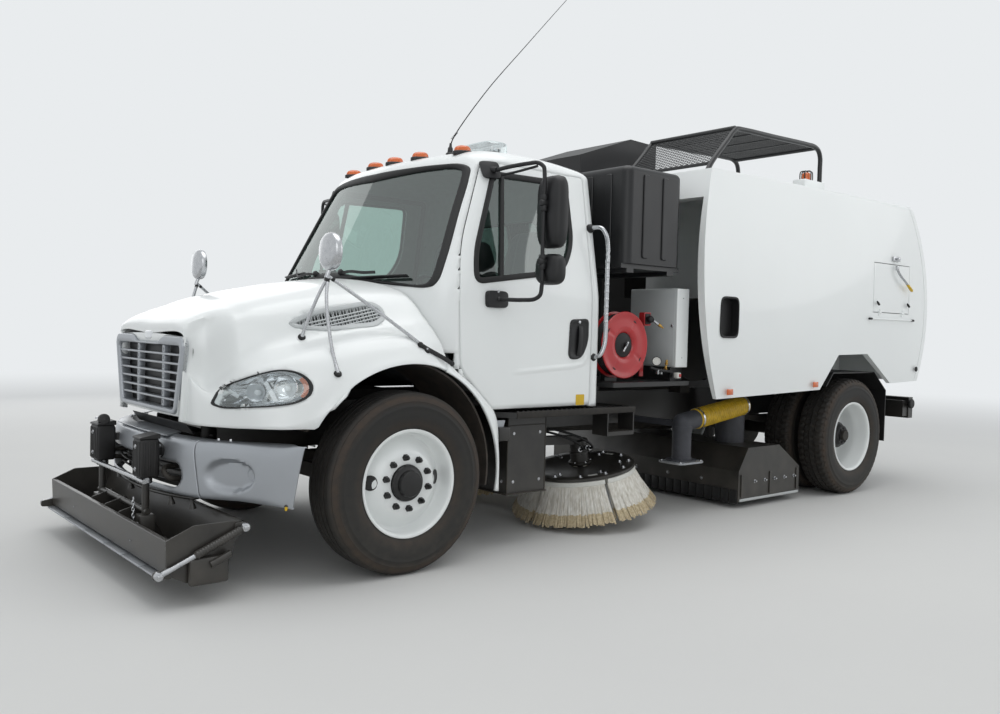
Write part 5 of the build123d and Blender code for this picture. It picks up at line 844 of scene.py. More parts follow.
def onScreen(y, z, lift=0.0):
    # the front's point at y and z: the bow x = F + bow (1 - (y / W)^2), then the corner's arc
    y, z = np.broadcast_arrays(np.asarray(y, float), np.asarray(z, float))
    width, front = cabFrame(z)
    (bowX, bowY), (turnX, turnY), (sideX, sideY) = cabCorner(z)
    side = np.abs(y)
    corner = arcPoint(arcShare(np.clip(side, bowY, sideY), bowY, turnY, sideY), bowX, turnX, sideX)
    x = np.where(side < bowY, front + cabLook["bow"] * (1 - (side / width) ** 2), corner)
    return xyz(x + 0.9 * lift, y, z + 0.44 * lift)


def onBack(y, z, lift=0.0):
    # the cab's flat back: x = backX - lift
    return xyz(cabLook["backX"] - lift, y, z) * 1.0


def cabSection(z):
    # plan of the left half at height z, from the middle of the front round the corner and along to the back's middle
    first, turn, last = np.array(cabCorner(z))
    back, sideY = cabLook["backX"], last[1]
    front = onScreen(np.linspace(0, first[1], 42), z)[:, :2]
    corner = arcPoint(np.linspace(0, 1, 10)[1:, None], first, turn, last)
    side = xyz(np.linspace(last[0], back + 0.06, 50)[1:], sideY)
    rear = arcPoint(np.linspace(0, 1, 8)[1:, None], side[-1], np.array([back, sideY]), np.array([back, sideY - 0.06]))
    return np.concatenate([front, corner, side, rear, xyz(back, np.linspace(sideY - 0.06, 0, 40)[1:])])


def cabSurface():
    # sections stacked from the sill to the roof's edge, then drawn in towards the roof's middle level by level; the
    # roof drops by roofDrop s^2 towards the back and 0.06 s^2 towards the front
    look = cabLook
    levels = np.concatenate([np.linspace(look["sillZ"], look["waistZ"], 32),
                             np.linspace(look["waistZ"], look["edgeZ"], 37)[1:]])
    edge = cabSection(look["edgeZ"] + 0.01)
    points = [xyz(*cabSection(z).T, z) for z in levels]
    middle = np.array([-1.05, 0.0])
    for z, drawn in look["roof"]:
        flat = middle + (edge - middle) * (1 - drawn / look["topHalfWidth"])
        back = np.clip((middle[0] - flat[:, 0]) / 0.53, 0, 1)
        front = np.clip((flat[:, 0] - middle[0]) / 0.6, 0, 1.2)
        near = np.clip((z - look["edgeZ"]) / 0.12, 0, 1)
        points.append(xyz(*flat.T, z - near * (look["roofDrop"] * back**2 + 0.06 * front**2)))
    return np.array(points)


doorLook = {
    # outlines in x and z; the seam gap is left all round the door
    "outline": ((-0.648, 0.884), (-0.404, 1.124), (-0.389, 1.59), (-0.434, 1.86), (-0.664, 2.398),
                (-1.505, 2.4), (-1.492, 0.884)),
    "radii": (0.014, 0.06, 0.1, 0.16, 0.05, 0.04, 0.016),
    "window": ((-0.497, 1.632), (-0.512, 1.83), (-0.712, 2.345), (-1.352, 2.358), (-1.362, 1.93),
               (-1.245, 1.738)),
    "windowRadii": (0.085, 0.09, 0.06, 0.08, 0.11, 0.1),
    "handle": ((-1.292, 1.448), (-1.462, 1.458), (-1.462, 1.3), (-1.4, 1.188), (-1.28, 1.188)),
    "handleRadii": (0.035, 0.035, 0.06, 0.055, 0.05),
    "gap": 0.0025, "skin": 0.022, "seal": 0.036,
    "screen": ((0.0, 1.672), (0.3, 1.65), (0.57, 1.618), (0.78, 1.598), (0.9, 1.59), (0.962, 1.606),
               (0.985, 1.655), (0.972, 1.77), (0.904, 2.09), (0.864, 2.29), (0.834, 2.368), (0.755, 2.402),
               (0.6, 2.408), (0.3, 2.402), (0.0, 2.395)),
    "rear": ((0.42, 1.72), (0.42, 2.16), (-0.42, 2.16), (-0.42, 1.72)),
}
doorLine = evenly(roundedOutline(doorLook["outline"], doorLook["radii"], 10), 260)
windowLine = evenly(roundedOutline(doorLook["window"], doorLook["windowRadii"], 10), 160)
halfScreen = smoothCurve(doorLook["screen"], 90)
screenLine = evenly(np.concatenate([halfScreen, halfScreen[-2:0:-1] * (-1, 1)]), 220)
rearLine = evenly(roundedOutline(doorLook["rear"], 0.09, 8), 120)


def cabSkinParts():
    # the stacked sections with the screen, rear window and doorway cut along their outlines; below the hood's rear
    # edge the front is left open, where the footwell's floor closes it
    skin = gridPart(cabSurface())
    skin = cutPart(skin, (1, 2), drawnIn(screenLine, 0.022), onScreen,
                   lambda spots: (spots[:, 0] > -0.8) & (spots[:, 2] > 1.5), 0.011)
    skin = cutPart(skin, (0, 2), drawnIn(doorLine, -doorLook["gap"]), onCab,
                   lambda spots: (spots[:, 1] > 0.84) & (spots[:, 2] < 2.42), 0.011)
    points, faces, number = cutPart(skin, (1, 2), rearLine, onBack,
                                    lambda spots: spots[:, 0] < cabLook["backX"] + 0.002, 0.01)
    below = np.array([(0.3, 1.235), (-0.375, 1.235), (-0.375, 1.13), (-0.655, 0.86), (0.3, 0.86)])
    middles = np.array([points[face].mean(0) for face in faces])
    gone = insideOutline(middles[:, (0, 2)], below)
    return [(points, [face for face, out in zip(faces, gone) if not out], number)]


cab = makePiece("cabSkin", bothSides(cabSkinParts()), [whitePaint, liningFelt], "chassis", "cab_shell",
                50)
thicken(cab, cabLook["panel"], material_offset=1)


def floorParts():
    # floor and toe board: one profile (x, z) across the cab, with shallow ribs z + 2 mm cos(2 pi y / 60 mm)
    x, z = smoothCurve([(-0.12, 1.262), (-0.34, 1.246), (-0.385, 1.17), (-0.44, 1.085), (-0.6, 1.03), (-1.0, 1.022),
                        (-1.3, 1.022), (-1.56, 1.022)], 40).T[..., None]
    y = np.linspace(-1.035, 1.035, 121)
    return [gridPart(xyz(x, y * np.where(x > -0.4, 0.96, 1.0), z + 0.002 * np.cos(2 * np.pi * y / 0.06)))]


thicken(makePiece("cabFloor", floorParts(), [dashVinyl], "chassis", smooth=50), 0.03)


def ringBetween(outer, inner, surface, rows):
    # surface strip between two closed outlines, matched by their angle about the inner one's middle
    middle = inner.mean(0)
    angle = np.sort(np.arctan2(*(outer - middle).T[::-1]))
    matched = []
    for line in (outer, inner):
        own = np.arctan2(*(line - middle).T[::-1])
        order = np.argsort(own)
        reach = np.linalg.norm(line - middle, axis=1)[order]
        length = np.interp(angle, own[order], reach, period=2 * np.pi)
        matched.append(middle + length[:, None] * xyz(np.cos(angle), np.sin(angle)))
    return ringPart([surface(*(matched[0] * (1 - share) + matched[1] * share).T, 0.0)
                     for share in np.linspace(0, 1, rows)], capEnd=False)


def fillOutline(line, surface, lift, material=0, shares=(1, 0.9, 0.75, 0.55, 0.35, 0.15)):
    # surface patch within an outline: rings drawn together towards its middle
    middle = line.mean(0)
    return ringPart([surface(*(middle + (line - middle) * share).T, lift) for share in shares], material)


def sealSweep(line, surface, width, height, lift, up=(0, 1, 0)):
    # rubber seal: a half round, slightly flattened, carried round an outline on the surface
    t = np.linspace(0, np.pi, 9)
    profile = xyz(width / 2 * np.cos(t), height * np.sin(t) ** 0.7)
    profile = np.vstack([profile, [(-width / 2, -0.004), (width / 2, -0.004)]])
    return sweepPart(surface(*line.T, lift), profile, 0, up, closePath=True)


def doorParts():
    # a strip of the cab's surface between the door's outline and its window
    return [ringBetween(drawnIn(doorLine, doorLook["gap"]), drawnIn(windowLine, 0.016), onCab, 30)]


def doorTrim():
    # window seal and divider; handle: a dish of rings, a lever bowed by 4 mm + 12 mm sin(pi s)^0.5 and a lock
    parts = [sealSweep(drawnIn(windowLine, doorLook["seal"] / 2), onCab, doorLook["seal"], 0.009, 0.001)]
    bar = evenly(np.array([(-0.793, 2.338), (-0.715, 1.668)]), 14, closed=False)
    section = [(-0.015, -0.012), (0.015, -0.012), (0.015, 0.001), (0.01, 0.006), (-0.01, 0.006), (-0.015, 0.001)]
    parts.append(sweepPart(onCab(*bar.T, 0.002), section, 0, up=(0, 1, 0)))
    line = evenly(roundedOutline(doorLook["handle"], doorLook["handleRadii"], 8), 80)
    middle = line.mean(0)
    parts.append(ringPart([onCab(*(middle + (line - middle) * share).T, lift) for share, lift in
                           ((1.0, -0.001), (0.99, 0.006), (0.95, 0.009), (0.88, 0.008), (0.82, 0.004), (0.7, 0.0015),
                            (0.4, 0.001), (0.1, 0.001))], 1))
    lever = onCab(*evenly(np.array([(-1.385, 1.405), (-1.372, 1.215)]), 14, closed=False).T)
    lever[:, 1] += 0.004 + 0.012 * np.sin(np.linspace(0, np.pi, 14)) ** 0.5
    section = [(-0.019, -0.004), (0.019, -0.004), (0.019, 0.002), (0.012, 0.006), (-0.012, 0.006), (-0.019, 0.002)]
    parts.append(sweepPart(lever, section, 1, up=(0, 1, 0)))
    parts.append(lathePart([(0.001, 0.0), (0.001, 0.013), (0.009, 0.012), (0.011, 0.009), (0.011, 0.0)],
                           onCab(-1.372, 1.432), (0, 1, 0), 2, 20))
    return parts


def labelPart():
    # plain yellow square on the door's rear corner: a thin plate with rounded corners
    line = roundedOutline([(-1.362, 0.888), (-1.362, 0.958), (-1.44, 0.958), (-1.44, 0.888)], 0.004, 2)
    return [fillOutline(evenly(line, 40), onCab, 0.0012, 3)]


def swagePart():
    # crease rising to the rear: a strip whose lift is 4.5 mm cos(pi v / 2)^1.5 across its width, fading at both ends
    line = smoothCurve([(-0.8, 1.108), (-0.95, 1.118), (-1.15, 1.132), (-1.36, 1.148), (-1.425, 1.165),
                        (-1.458, 1.215)], 60)
    run = unit(np.gradient(line, axis=0))
    v = np.linspace(-1, 1, 11)
    along = np.linspace(0, 1, 60)
    fade = np.sin(np.pi * np.clip(along * 3, 0, 0.5)) * np.sin(np.pi * np.clip(along[::-1] * 6, 0, 0.5))
    flat = line[:, None] + xyz(-run[:, 1], run[:, 0])[:, None] * v[None, :, None] * 0.022
    lift = 0.0002 + fade[:, None] * 0.0045 * np.cos(np.pi * v / 2)[None] ** 1.5
    return [gridPart(onCab(flat[..., 0], flat[..., 1]) + lift[..., None] * (0, 1, 0))]


for side, turned in (("left", unturned), ("right", mirrored)):
    body = side + "_door"
    panel = makePiece(side + "DoorSkin", turned(doorParts()), [whitePaint, liningFelt], body,
                      "door_" + side, 50)
    thicken(panel, doorLook["skin"], material_offset=1)
    makePiece(side + "DoorTrim", turned(doorTrim() + (labelPart() if side == "left" else [])),
              [blackRubber, blackAbs, plated, yellowGrip], body)
    makePiece(side + "DoorSwage", turned(swagePart()), [whitePaint], body, smooth=60)
    makePiece(side + "DoorGlass", turned([fillOutline(drawnIn(windowLine, 0.022), onCab, -0.008)]), [cabGlass], body,
              "door_glass_" + side, 60)
print("stage: cab skin and doors")


def sealParts():
    # the screen's seal, a profile (across, up) carried round its outline towards its middle, the rear window's
    # seal, and the doorways' seals behind the seams
    middle = screenLine.mean(0)
    path = drawnIn(screenLine, 0.023)
    towards = unit(middle - path)
    rows = [onScreen(*(path - towards * across).T, up) for across, up in
            ((0.025, -0.004), (0.025, 0.002), (0.02, 0.008), (0.006, 0.011), (-0.012, 0.008), (-0.021, 0.003),
             (-0.024, -0.006), (-0.024, -0.014))]
    strip = sweepPart(onCab(*drawnIn(doorLine, 0.014).T, -0.03),
                      [(-0.018, -0.004), (0.018, -0.004), (0.018, 0.006), (-0.018, 0.006)], 0, (0, 1, 0), True)
    return [ringPart(rows, capEnd=False), sealSweep(rearLine, onBack, 0.04, 0.01, 0.0, (-1, 0, 0))] + bothSides([strip])


panes = [fillOutline(drawnIn(screenLine, 0.024), onScreen, -0.01, 0, np.linspace(1, 0.04, 26)),
         fillOutline(drawnIn(rearLine, 0.012), onBack, -0.01)]
makePiece("cabPanes", panes, [cabGlass], "chassis", "cab_glass", 60)
makePiece("cabSeals", sealParts(), [blackRubber], "chassis", smooth=50)
print("stage: glass and seals")

# ---- front bumper
bumperLook = {
    "plan": ((1.113, 0.0), (1.106, 0.2), (1.086, 0.38), (1.052, 0.54), (1.002, 0.68), (0.925, 0.79), (0.815, 0.925),
             (0.645, 1.158)),
    # depth behind the face and height of the section, from the lower return over the face to the top flange
    "section": ((0.05, 0.456), (0.02, 0.45), (0.008, 0.452), (0.001, 0.466), (0.0, 0.52), (0.0, 0.6),
                (0.002, 0.67), (0.008, 0.708), (0.02, 0.733), (0.04, 0.746), (0.075, 0.751), (0.115, 0.751)),
    "skin": 0.006,
    "slotHalf": 0.565, "slotZ": 0.557, "slotR": 0.069,
    "recess": (0.818, 0.578, 0.118, 0.09), "recessDepth": 0.048,
}
planCurve = evenly(smoothCurve(bumperLook["plan"], 80), 120, closed=False)
planSlope = np.gradient(planCurve[:, 0], planCurve[:, 1])


def planAt(y):
    # the plan's x at y, and the length sqrt(1 + slope^2) of its normal there
    tilt, x = (np.interp(np.abs(y), planCurve[:, 1], values) for values in (planSlope, planCurve[:, 0]))
    return x, np.sqrt(1 + tilt**2)


def onBumper(y, z, lift=0.0):
    # the face's point at y and z: its plan's x less the section's depth at z, measured along the plan's normal
    section = np.array(bumperLook["section"])[2:]
    x, length = planAt(y)
    return xyz(x - (np.interp(z, section[:, 1], section[:, 0]) - lift) * length, y, z) * 1.0


def bumperPanel(fromY, toY, columns):
    # one panel: its edges' y are functions of z, and the section's returns are drawn in by their depth
    d, z = smoothCurve(bumperLook["section"], 60).T[:, None]
    share = np.linspace(0, 1, columns)[:, None]
    y = fromY(z) + (toY(z) - fromY(z)) * share
    cy, cz, wide, tall = bumperLook["recess"]
    reach = np.sqrt(((np.abs(y) - cy) / wide) ** 2 + ((z - cz) / tall) ** 2)
    d = d + bumperLook["recessDepth"] * eased((1.02 - reach) / 0.3) * (1 + 0.35 * (np.abs(y) - cy) / wide)
    z = z - 0.022 * np.clip((np.abs(y) - 0.86) / 0.25, 0, 1) * np.clip((0.6 - z) / 0.15, 0, 1)
    x, length = planAt(y)
    return gridPart(xyz(x - d * (1 - 0.85 * eased((np.abs(y) - 1.02) / 0.12)) / length, y, z))


def seamY(z):
    # where the end panels start: y = 0.64 + 0.17 (0.75 - z)
    return 0.64 + (0.75 - z) * 0.17


def bumperParts():
    # centre panel with its slot, and an end panel whose rear edge leans forward towards the bottom
    look = bumperLook
    centre = bumperPanel(lambda z: -seamY(z) + 0.002, lambda z: seamY(z) - 0.002, 131)
    t = np.linspace(-np.pi / 2, np.pi / 2, 17)
    end = xyz(look["slotHalf"] - look["slotR"] + look["slotR"] * np.cos(t), look["slotZ"] + look["slotR"] * np.sin(t))
    slot = evenly(np.concatenate([end, end[::-1] * (-1, 1)]), 200)
    centre = cutPart(centre, (1, 2), slot, onBumper, lambda spots: spots[:, 0] > 1.0, 0.008)
    side = bumperPanel(lambda z: seamY(z) + 0.002, lambda z: 1.158 - 0.16 * np.clip(0.752 - z, 0, None), 70)
    return [centre] + bothSides([side])


thicken(makePiece("frontBumperShell", bumperParts(), [silverPaint], "chassis", "front_bumper", 42),
        bumperLook["skin"])


def bumperGear():
    # slot: dark backing, level bars and tow hooks; recess: lamp hole at its rear end; top shelf with bolts; brackets
    # back to the rails and the hood's pivots; spray hose under the edge with its nozzles
    parts = []
    y = np.linspace(-0.6, 0.6, 61)
    blade = [(-0.006, -0.003), (0.006, -0.004), (0.01, 0.0), (0.006, 0.004), (-0.006, 0.003)]
    for z in (0.512, 0.542, 0.572, 0.602):
        parts.append(sweepPart(onBumper(y, z, -0.045), blade))
    parts.append(gridPart([onBumper(y, z, -0.085) for z in (0.47, 0.56, 0.65)], 1))
    for side in (-1, 1):
        hook = smoothCurve([(0.985, side * 0.4, 0.585), (1.055, side * 0.405, 0.585), (1.088, side * 0.43, 0.582),
                            (1.098, side * 0.462, 0.562), (1.078, side * 0.482, 0.535), (1.035, side * 0.478, 0.528),
                            (0.995, side * 0.47, 0.53)], 30)
        parts.append(tubePart(hook, 0.014, 2, 12))
        for y0 in (0.16, 0.34, 0.5):
            parts += boltParts(onBumper(side * y0, 0.752) + (-0.085, 0, -0.001), (0, 0, 1), 0.009, 0.008, 0)
        for y0, x0 in ((0.7, 0.9), (0.76, 0.86)):
            parts += boltParts((x0, side * y0, 0.751), (0, 0, 1), 0.008, 0.01, 4)
        hole = [(0.001, -0.004), (0.026, -0.004), (0.034, 0.004), (0.04, 0.01), (0.042, 0.006), (0.042, -0.02)]
        parts.append(lathePart(hole, onBumper(side * 0.9, 0.588, -0.04), (0.8, side * 0.6, 0.0), 3, 32))
        parts.append(blockPart((0.79, side * 0.352 - 0.032, 0.665), (1.04, side * 0.352 + 0.032, 0.725), 0.006, 1))
        parts.append(sidePlate([(0.7, 0.7), (0.86, 0.7), (0.86, 0.8), (0.815, 0.832), (0.775, 0.832)], 0.012,
                               side * 0.352 + 0.006, 0.01, 1))
        parts += boltParts((0.795, side * 0.345 - 0.01, 0.8), (0, side, 0), 0.012, 0.012, 4)
    shelf = roundedOutline([(1.078, -0.42), (1.092, 0.0), (1.078, 0.42), (0.945, 0.3), (0.94, -0.3)], 0.03, 4)
    parts.append(platePart(shelf, (0, 0, 0.75), (1, 0, 0), (0, 1, 0), 0.007, 3))
    sheet = [(-0.44, 0.0), (0.44, 0.0), (0.44, 0.074), (-0.44, 0.074)]
    parts.append(platePart(sheet, (0.93, 0, 0.755), (0, 1, 0), (0.6, 0, 0.8), 0.004))
    y = np.linspace(-1.02, 1.0, 90)
    behind = np.clip((np.abs(y) - 0.62) / 0.08, 0, 1)
    hose = onBumper(y, 0.47, -0.03 - 0.036 * behind)
    hose[:, 2] = 0.437 - 0.01 * np.cos(y * 3) + 0.04 * behind
    parts.append(tubePart(hose, 0.011, 1, 12))
    nozzle = [(0.001, 0.01), (0.01, 0.008), (0.01, -0.02), (0.015, -0.028), (0.021, -0.05), (0.001, -0.052)]
    for y0 in (-0.6, -0.15, 0.42, 0.6):
        spot = onBumper(y0, 0.47, -0.03) * (1, 1, 0) + (0, 0, 0.432)
        parts.append(lathePart(nozzle, spot, (0.1, 0, 1), 1, 18))
    elbow = smoothCurve(hose[-1] + [(0, 0, 0), (-0.012, 0.03, 0.002), (0.0, 0.06, -0.014), (0.02, 0.078, -0.05)], 16)
    parts.append(tubePart(elbow, 0.0135, 1, 12))
    parts.append(tubePart([elbow[-1], elbow[-1] + (0.006, 0.004, -0.016)], (0.01, 0.006), 5, 12))
    return parts


makePiece("frontBumperGear", bumperGear(), [blackAbs, blackPaint, castIron, silverPaint, plated, yellowGrip], "chassis",
          smooth=38)
print("stage: front bumper")

# ---- magnet bar and its lifts
magnetLook = {
    "tray": ((1.255, 0.318), (1.262, 0.33), (1.29, 0.33), (1.284, 0.165), (1.184, 0.116), (0.992, 0.116),
             (0.99, 0.153), (0.921, 0.384), (0.903, 0.388), (0.899, 0.376)),
    "end": ((1.29, 0.33), (1.283, 0.165), (1.184, 0.114), (0.989, 0.114), (0.989, 0.153), (0.92, 0.384),
            (0.975, 0.39), (1.154, 0.39)),
    "rib": ((1.275, 0.17), (1.277, 0.316), (1.262, 0.338), (1.15, 0.372), (1.035, 0.205), (1.02, 0.165)),
    "halfWidth": 1.02, "lipNotches": (-0.62, -0.22, 0.16, 0.46, 0.74),
    "ribY": (-0.25, 0.0, 0.25),
    "stemY": 0.38, "stemX": 1.168,
}


def magnetParts():
    # tray: a bent sheet's section swept across; lip: bars between notches; end plates, ribs, magnet end caps; a
    # strut at each end of a plated rod in a ribbed barrel r = 20.5 mm + 1.2 mm cos(36 pi s); stems and a chain
    look = magnetLook
    half = look["halfWidth"]
    section = roundedOutline(look["tray"], 0.006, 3)[2:-2]
    parts = [gridPart(xyz(section[:, 0], np.linspace(-half, half, 9)[:, None], section[:, 1]))]
    edges = [-half, *look["lipNotches"], half]
    for start, end in zip(edges[:-1], edges[1:]):
        parts.append(blockPart((1.262, start + 0.004, 0.146), (1.318, end - 0.004, 0.157), 0.003, 1))
    eye = [(0.001, 0.022), (0.009, 0.022), (0.012, 0.02), (0.012, 0.014), (0.02, 0.012), (0.021, 0.01),
           (0.021, -0.02), (0.001, -0.02)]
    for side in (-1, 1):
        parts.append(sidePlate(look["end"], 0.008, side * half + (0.01 if side > 0 else 0.0), 0.01))
        parts.append(blockPart((0.988, side * 1.047 - 0.017, 0.1), (1.186, side * 1.047 + 0.017, 0.236), 0.03, 0, 4))
        strut = side * 1.054
        low, high = np.array([1.33, strut, 0.174]), np.array([0.905, strut, 0.357])
        run = high - low
        parts.append(tubePart([low, low + run * 0.44], 0.013, 2, 20))
        s = np.linspace(0, 1, 64)
        radius = 0.0205 + 0.0012 * np.cos(2 * np.pi * s * 18)
        radius[:2] = radius[-2:] = 0.016
        parts.append(tubePart(low + run * (0.4 + 0.56 * s[:, None]), radius, 0, 20))
        parts.append(tubePart([(1.085, side * 1.066, 0.198), (0.985, side * 1.066, 0.24)], 0.018, 0, 20))
        for end in (low, high):
            parts.append(lathePart(eye, end, (0, side, 0), 2, 24))
        for lug in ([(1.352, 0.156), (1.352, 0.192), (1.262, 0.206), (1.262, 0.15)],
                    [(0.884, 0.338), (0.884, 0.38), (0.952, 0.38), (0.952, 0.3)]):
            parts.append(sidePlate(lug, 0.012, side * 1.034 + 0.006, 0.012))
        parts.append(tubePart([(look["stemX"], side * look["stemY"], z) for z in (0.15, 0.3, 0.5, 0.665)], 0.0195, 0,
                              24))
        parts.append(blockPart((1.128, side * 0.38 - 0.04, 0.15), (1.208, side * 0.38 + 0.04, 0.335), 0.006))
        for z in (0.28, 0.22):
            parts += boltParts((1.209, side * 0.38, z), (1, 0, 0), 0.011, 0.01, 2)
        for rail in (1.1, 1.145):
            parts.append(tubePart([(rail, side * 0.3, 0.192), (rail, side * 1.005, 0.192)], 0.008, 1, 10))
        parts += boltParts((1.29, side * 0.52, 0.235), (1, 0, 0), 0.004, 0.003, 1, False)
    parts += [sidePlate(look["rib"], 0.006, y + 0.004, 0.008, steps=3) for y in look["ribY"]]
    parts.append(blockPart((1.0, -0.99, 0.118), (1.176, 0.99, 0.163), 0.008))
    parts.append(tubePart([(1.168, -0.42, 0.352), (1.168, 0.42, 0.352)], 0.016, 0, 16))
    flat = np.linspace(0, 2 * np.pi, 20, endpoint=False)
    wide, tall = 0.0065 * np.cos(flat), 0.0125 * np.sin(flat)
    for k in range(7):
        z = 0.318 + 0.0175 * k
        link, up = ((xyz(1.238 + wide, 0.4, z + tall), (0.6, 0.8, 0.01)) if k % 2 else
                    (xyz(1.238, 0.4 + wide, z + tall), (0.8, 0.6, 0.01)))
        parts.append(tubePart(link, 0.0026, 2, 6, up, True))
    return parts


makePiece("magnetTray", magnetParts(), [blackPaint, silverPaint, plated], "magnet", "magnet_bar", 36)


def liftParts():
    # housings: rounded boxes with raised ribs and sloping lids, collars below, the shaft between them, the motor on the
    # far one and the arms to the bumper
    parts = []
    x, stem = magnetLook["stemX"], magnetLook["stemY"]
    collar = [(0.02, -0.004), (0.03, -0.004), (0.033, 0.0), (0.033, 0.03), (0.0215, 0.034)]
    for side in (-1, 1):
        y = side * stem
        wide = 0.058 if side > 0 else 0.072
        parts.append(blockPart((x - 0.05, y - wide, 0.535), (x + 0.05, y + wide, 0.742), 0.01, 0, 3))
        for k in np.linspace(-1, 1, 5) * (wide - 0.014):
            for face in (-0.05, 0.05):
                parts.append(blockPart((x + face - 0.005, y + k - 0.006, 0.545),
                                       (x + face + 0.005, y + k + 0.006, 0.728), 0.004))
        for k in (-0.028, 0.0, 0.028):
            rib = y + side * wide
            parts.append(blockPart((x + k - 0.006, rib - 0.004, 0.549), (x + k + 0.006, rib + 0.004, 0.724), 0.004))
        parts.append(sidePlate([(x - 0.055, 0.742), (x + 0.055, 0.742), (x + 0.05, 0.752), (x - 0.04, 0.77),
                                (x - 0.055, 0.768)], 0.004, y + wide + 0.003, 2 * wide + 0.006, steps=3))
        parts.append(lathePart(collar, (x, y, 0.505), (0, 0, 1), 1, 28))
        arm = [(x - 0.045, y, 0.668), (1.1 - 0.02, side * 0.352, 0.672), (1.02, side * 0.34, 0.676)]
        parts.append(sweepPart(arm, [(-0.028, -0.022), (0.028, -0.022), (0.028, 0.022), (-0.028, 0.022)]))
        for z in (0.58, 0.7):
            parts += boltParts((x + 0.056, y, z), (1, 0, 0), 0.008, 0.007, 1)
    parts.append(tubePart([(x + 0.03, -0.46, 0.52), (x + 0.03, 0.45, 0.52)], 0.013, 1, 20))
    parts.append(lathePart([(0.001, 0.05), (0.028, 0.048), (0.032, 0.042), (0.032, -0.03), (0.024, -0.036)],
                           (x + 0.005, -0.352, 0.775), (0.2, 1, 0.1), 0, 26))
    parts.append(lathePart([(0.001, 0.014), (0.012, 0.013), (0.014, 0.0)], (x + 0.03, -0.39, 0.775), (0, 0, 1), 1, 14))
    cable = smoothCurve([(x - 0.045, 0.4, 0.715), (1.118, 0.44, 0.722), (1.11, 0.47, 0.7), (1.104, 0.45, 0.66),
                         (1.095, 0.4, 0.64)], 30)
    parts.append(tubePart(cable, 0.005, 2, 8))
    return parts


makePiece("magnetLiftHousings", liftParts(), [blackAbs, plated, blackRubber], "chassis", "magnet_lifts",
          36)
print("stage: magnet bar")

# ---- mirrors, handles, wipers and roof fittings
trimLook = {
    "mirrorTube": 0.0125,
    "handleTube": 0.0145,
    "markers": ((-0.684, 0.666), (-0.684, -0.666), (-0.63, 0.277), (-0.63, -0.277), (-0.612, 0.0)),
    "lightBar": (-1.275, 0.12), "lightBarHalf": (0.1, 0.222), "lightBarTop": 2.7,
    "whip": ((-0.857, 0.3, 2.6), (-0.88, 0.3, 2.66), (-1.15, 0.3, 3.02), (-1.52, 0.3, 3.43),
             (-1.915, 0.3, 3.86)),
    "wiperPivots": (0.165, -0.165),
}


def mirrorHead(centre, halfY, halfZ, depth, power):
    # superellipse sections along x: a rim round the glass at the back, straight sides and a domed front
    outline = superOutline(halfY, halfZ, power)
    shell = ((0.86, -depth + 0.01), (0.9, -depth + 0.004), (0.925, -depth), (0.965, -depth), (0.995, -depth + 0.007),
             (1.0, -0.55 * depth), (0.965, -0.3 * depth), (0.89, -0.13 * depth), (0.74, -0.03 * depth), (0.45, 0.004),
             (0.12, 0.008))
    pane = ((0.885, -depth + 0.011), (0.6, -depth + 0.0085), (0.08, -depth + 0.0075))
    return [ringPart([xyz(x, outline[:, 0] * k, outline[:, 1] * k) + centre for k, x in rows], number)
            for number, rows in enumerate((shell, pane))]


def doorMirror():
    # a bent tube between two feet on the door, a brace, and two superellipse heads with their clamps
    look = trimLook
    bend = smoothCurve([(-0.712, 0.985, 2.345), (-0.722, 1.06, 2.352), (-0.76, 1.22, 2.362), (-0.775, 1.285, 2.36),
                        (-0.787, 1.322, 2.335), (-0.79, 1.33, 2.29), (-0.79, 1.33, 2.05), (-0.79, 1.33, 1.75),
                        (-0.79, 1.33, 1.625), (-0.786, 1.322, 1.58), (-0.772, 1.29, 1.556), (-0.74, 1.215, 1.55),
                        (-0.672, 1.09, 1.552)], 70)
    brace = smoothCurve([(-0.735, 1.0, 2.315), (-0.752, 1.1, 2.322), (-0.772, 1.215, 2.335), (-0.782, 1.275, 2.343)],
                        14)
    parts = [tubePart(bend, look["mirrorTube"], 0, 16), tubePart(brace, 0.008, 0, 12)]
    for x, z, halfX, halfZ, end in ((-0.71, 2.35, 0.055, 0.055, bend[0]), (-0.6625, 1.552, 0.0825, 0.052, bend[-1])):
        flat = superOutline(halfX, halfZ, 5.0, 40)
        parts.append(ringPart([onCab(x + flat[:, 0] * k, z + flat[:, 1] * k, lift) for k, lift in
                               ((1.0, -0.002), (1.0, 0.018), (0.94, 0.027), (0.6, 0.031), (0.1, 0.032))]))
        stub = onCab(x, z, 0.02)
        parts.append(tubePart([stub, stub * 0.3 + end * 0.7, end], 0.019, 0, 16))
    for z, halfY, halfZ, depth, power in ((2.075, 0.105, 0.215, 0.082, 4.2), (1.735, 0.105, 0.092, 0.074, 3.2)):
        parts += mirrorHead((-0.812, 1.33, z), halfY, halfZ, depth, power)
    knob = [(0.001, 0.034), (0.015, 0.033), (0.021, 0.026), (0.023, 0.01), (0.023, -0.028)]
    clamp = [(0.0125, -0.017), (0.02, -0.017), (0.022, -0.014), (0.022, 0.014), (0.02, 0.017), (0.0125, 0.017)]
    parts += [lathePart(knob, (-0.794, 1.33, z), (1, 0.05, 0), 0, 20) for z in (2.12, 1.775)]
    parts += [lathePart(clamp, (-0.79, 1.33, z), (0, 0, 1), 0, 20) for z in (2.15, 2.09, 1.8, 1.75)]
    for x, z in ((-0.7, 2.32), (-0.66, 1.6)):
        parts += boltParts((x, onCab(-0.7, z, 0.029)[1], z), (0, 1, 0), 0.006, 0.004, 2)
    return parts


for side, turned in (("left", unturned), ("right", mirrored)):
    makePiece(side + "DoorMirror", turned(doorMirror()), [blackAbs, chrome, plated], side + "_door",
              "mirror_" + side)


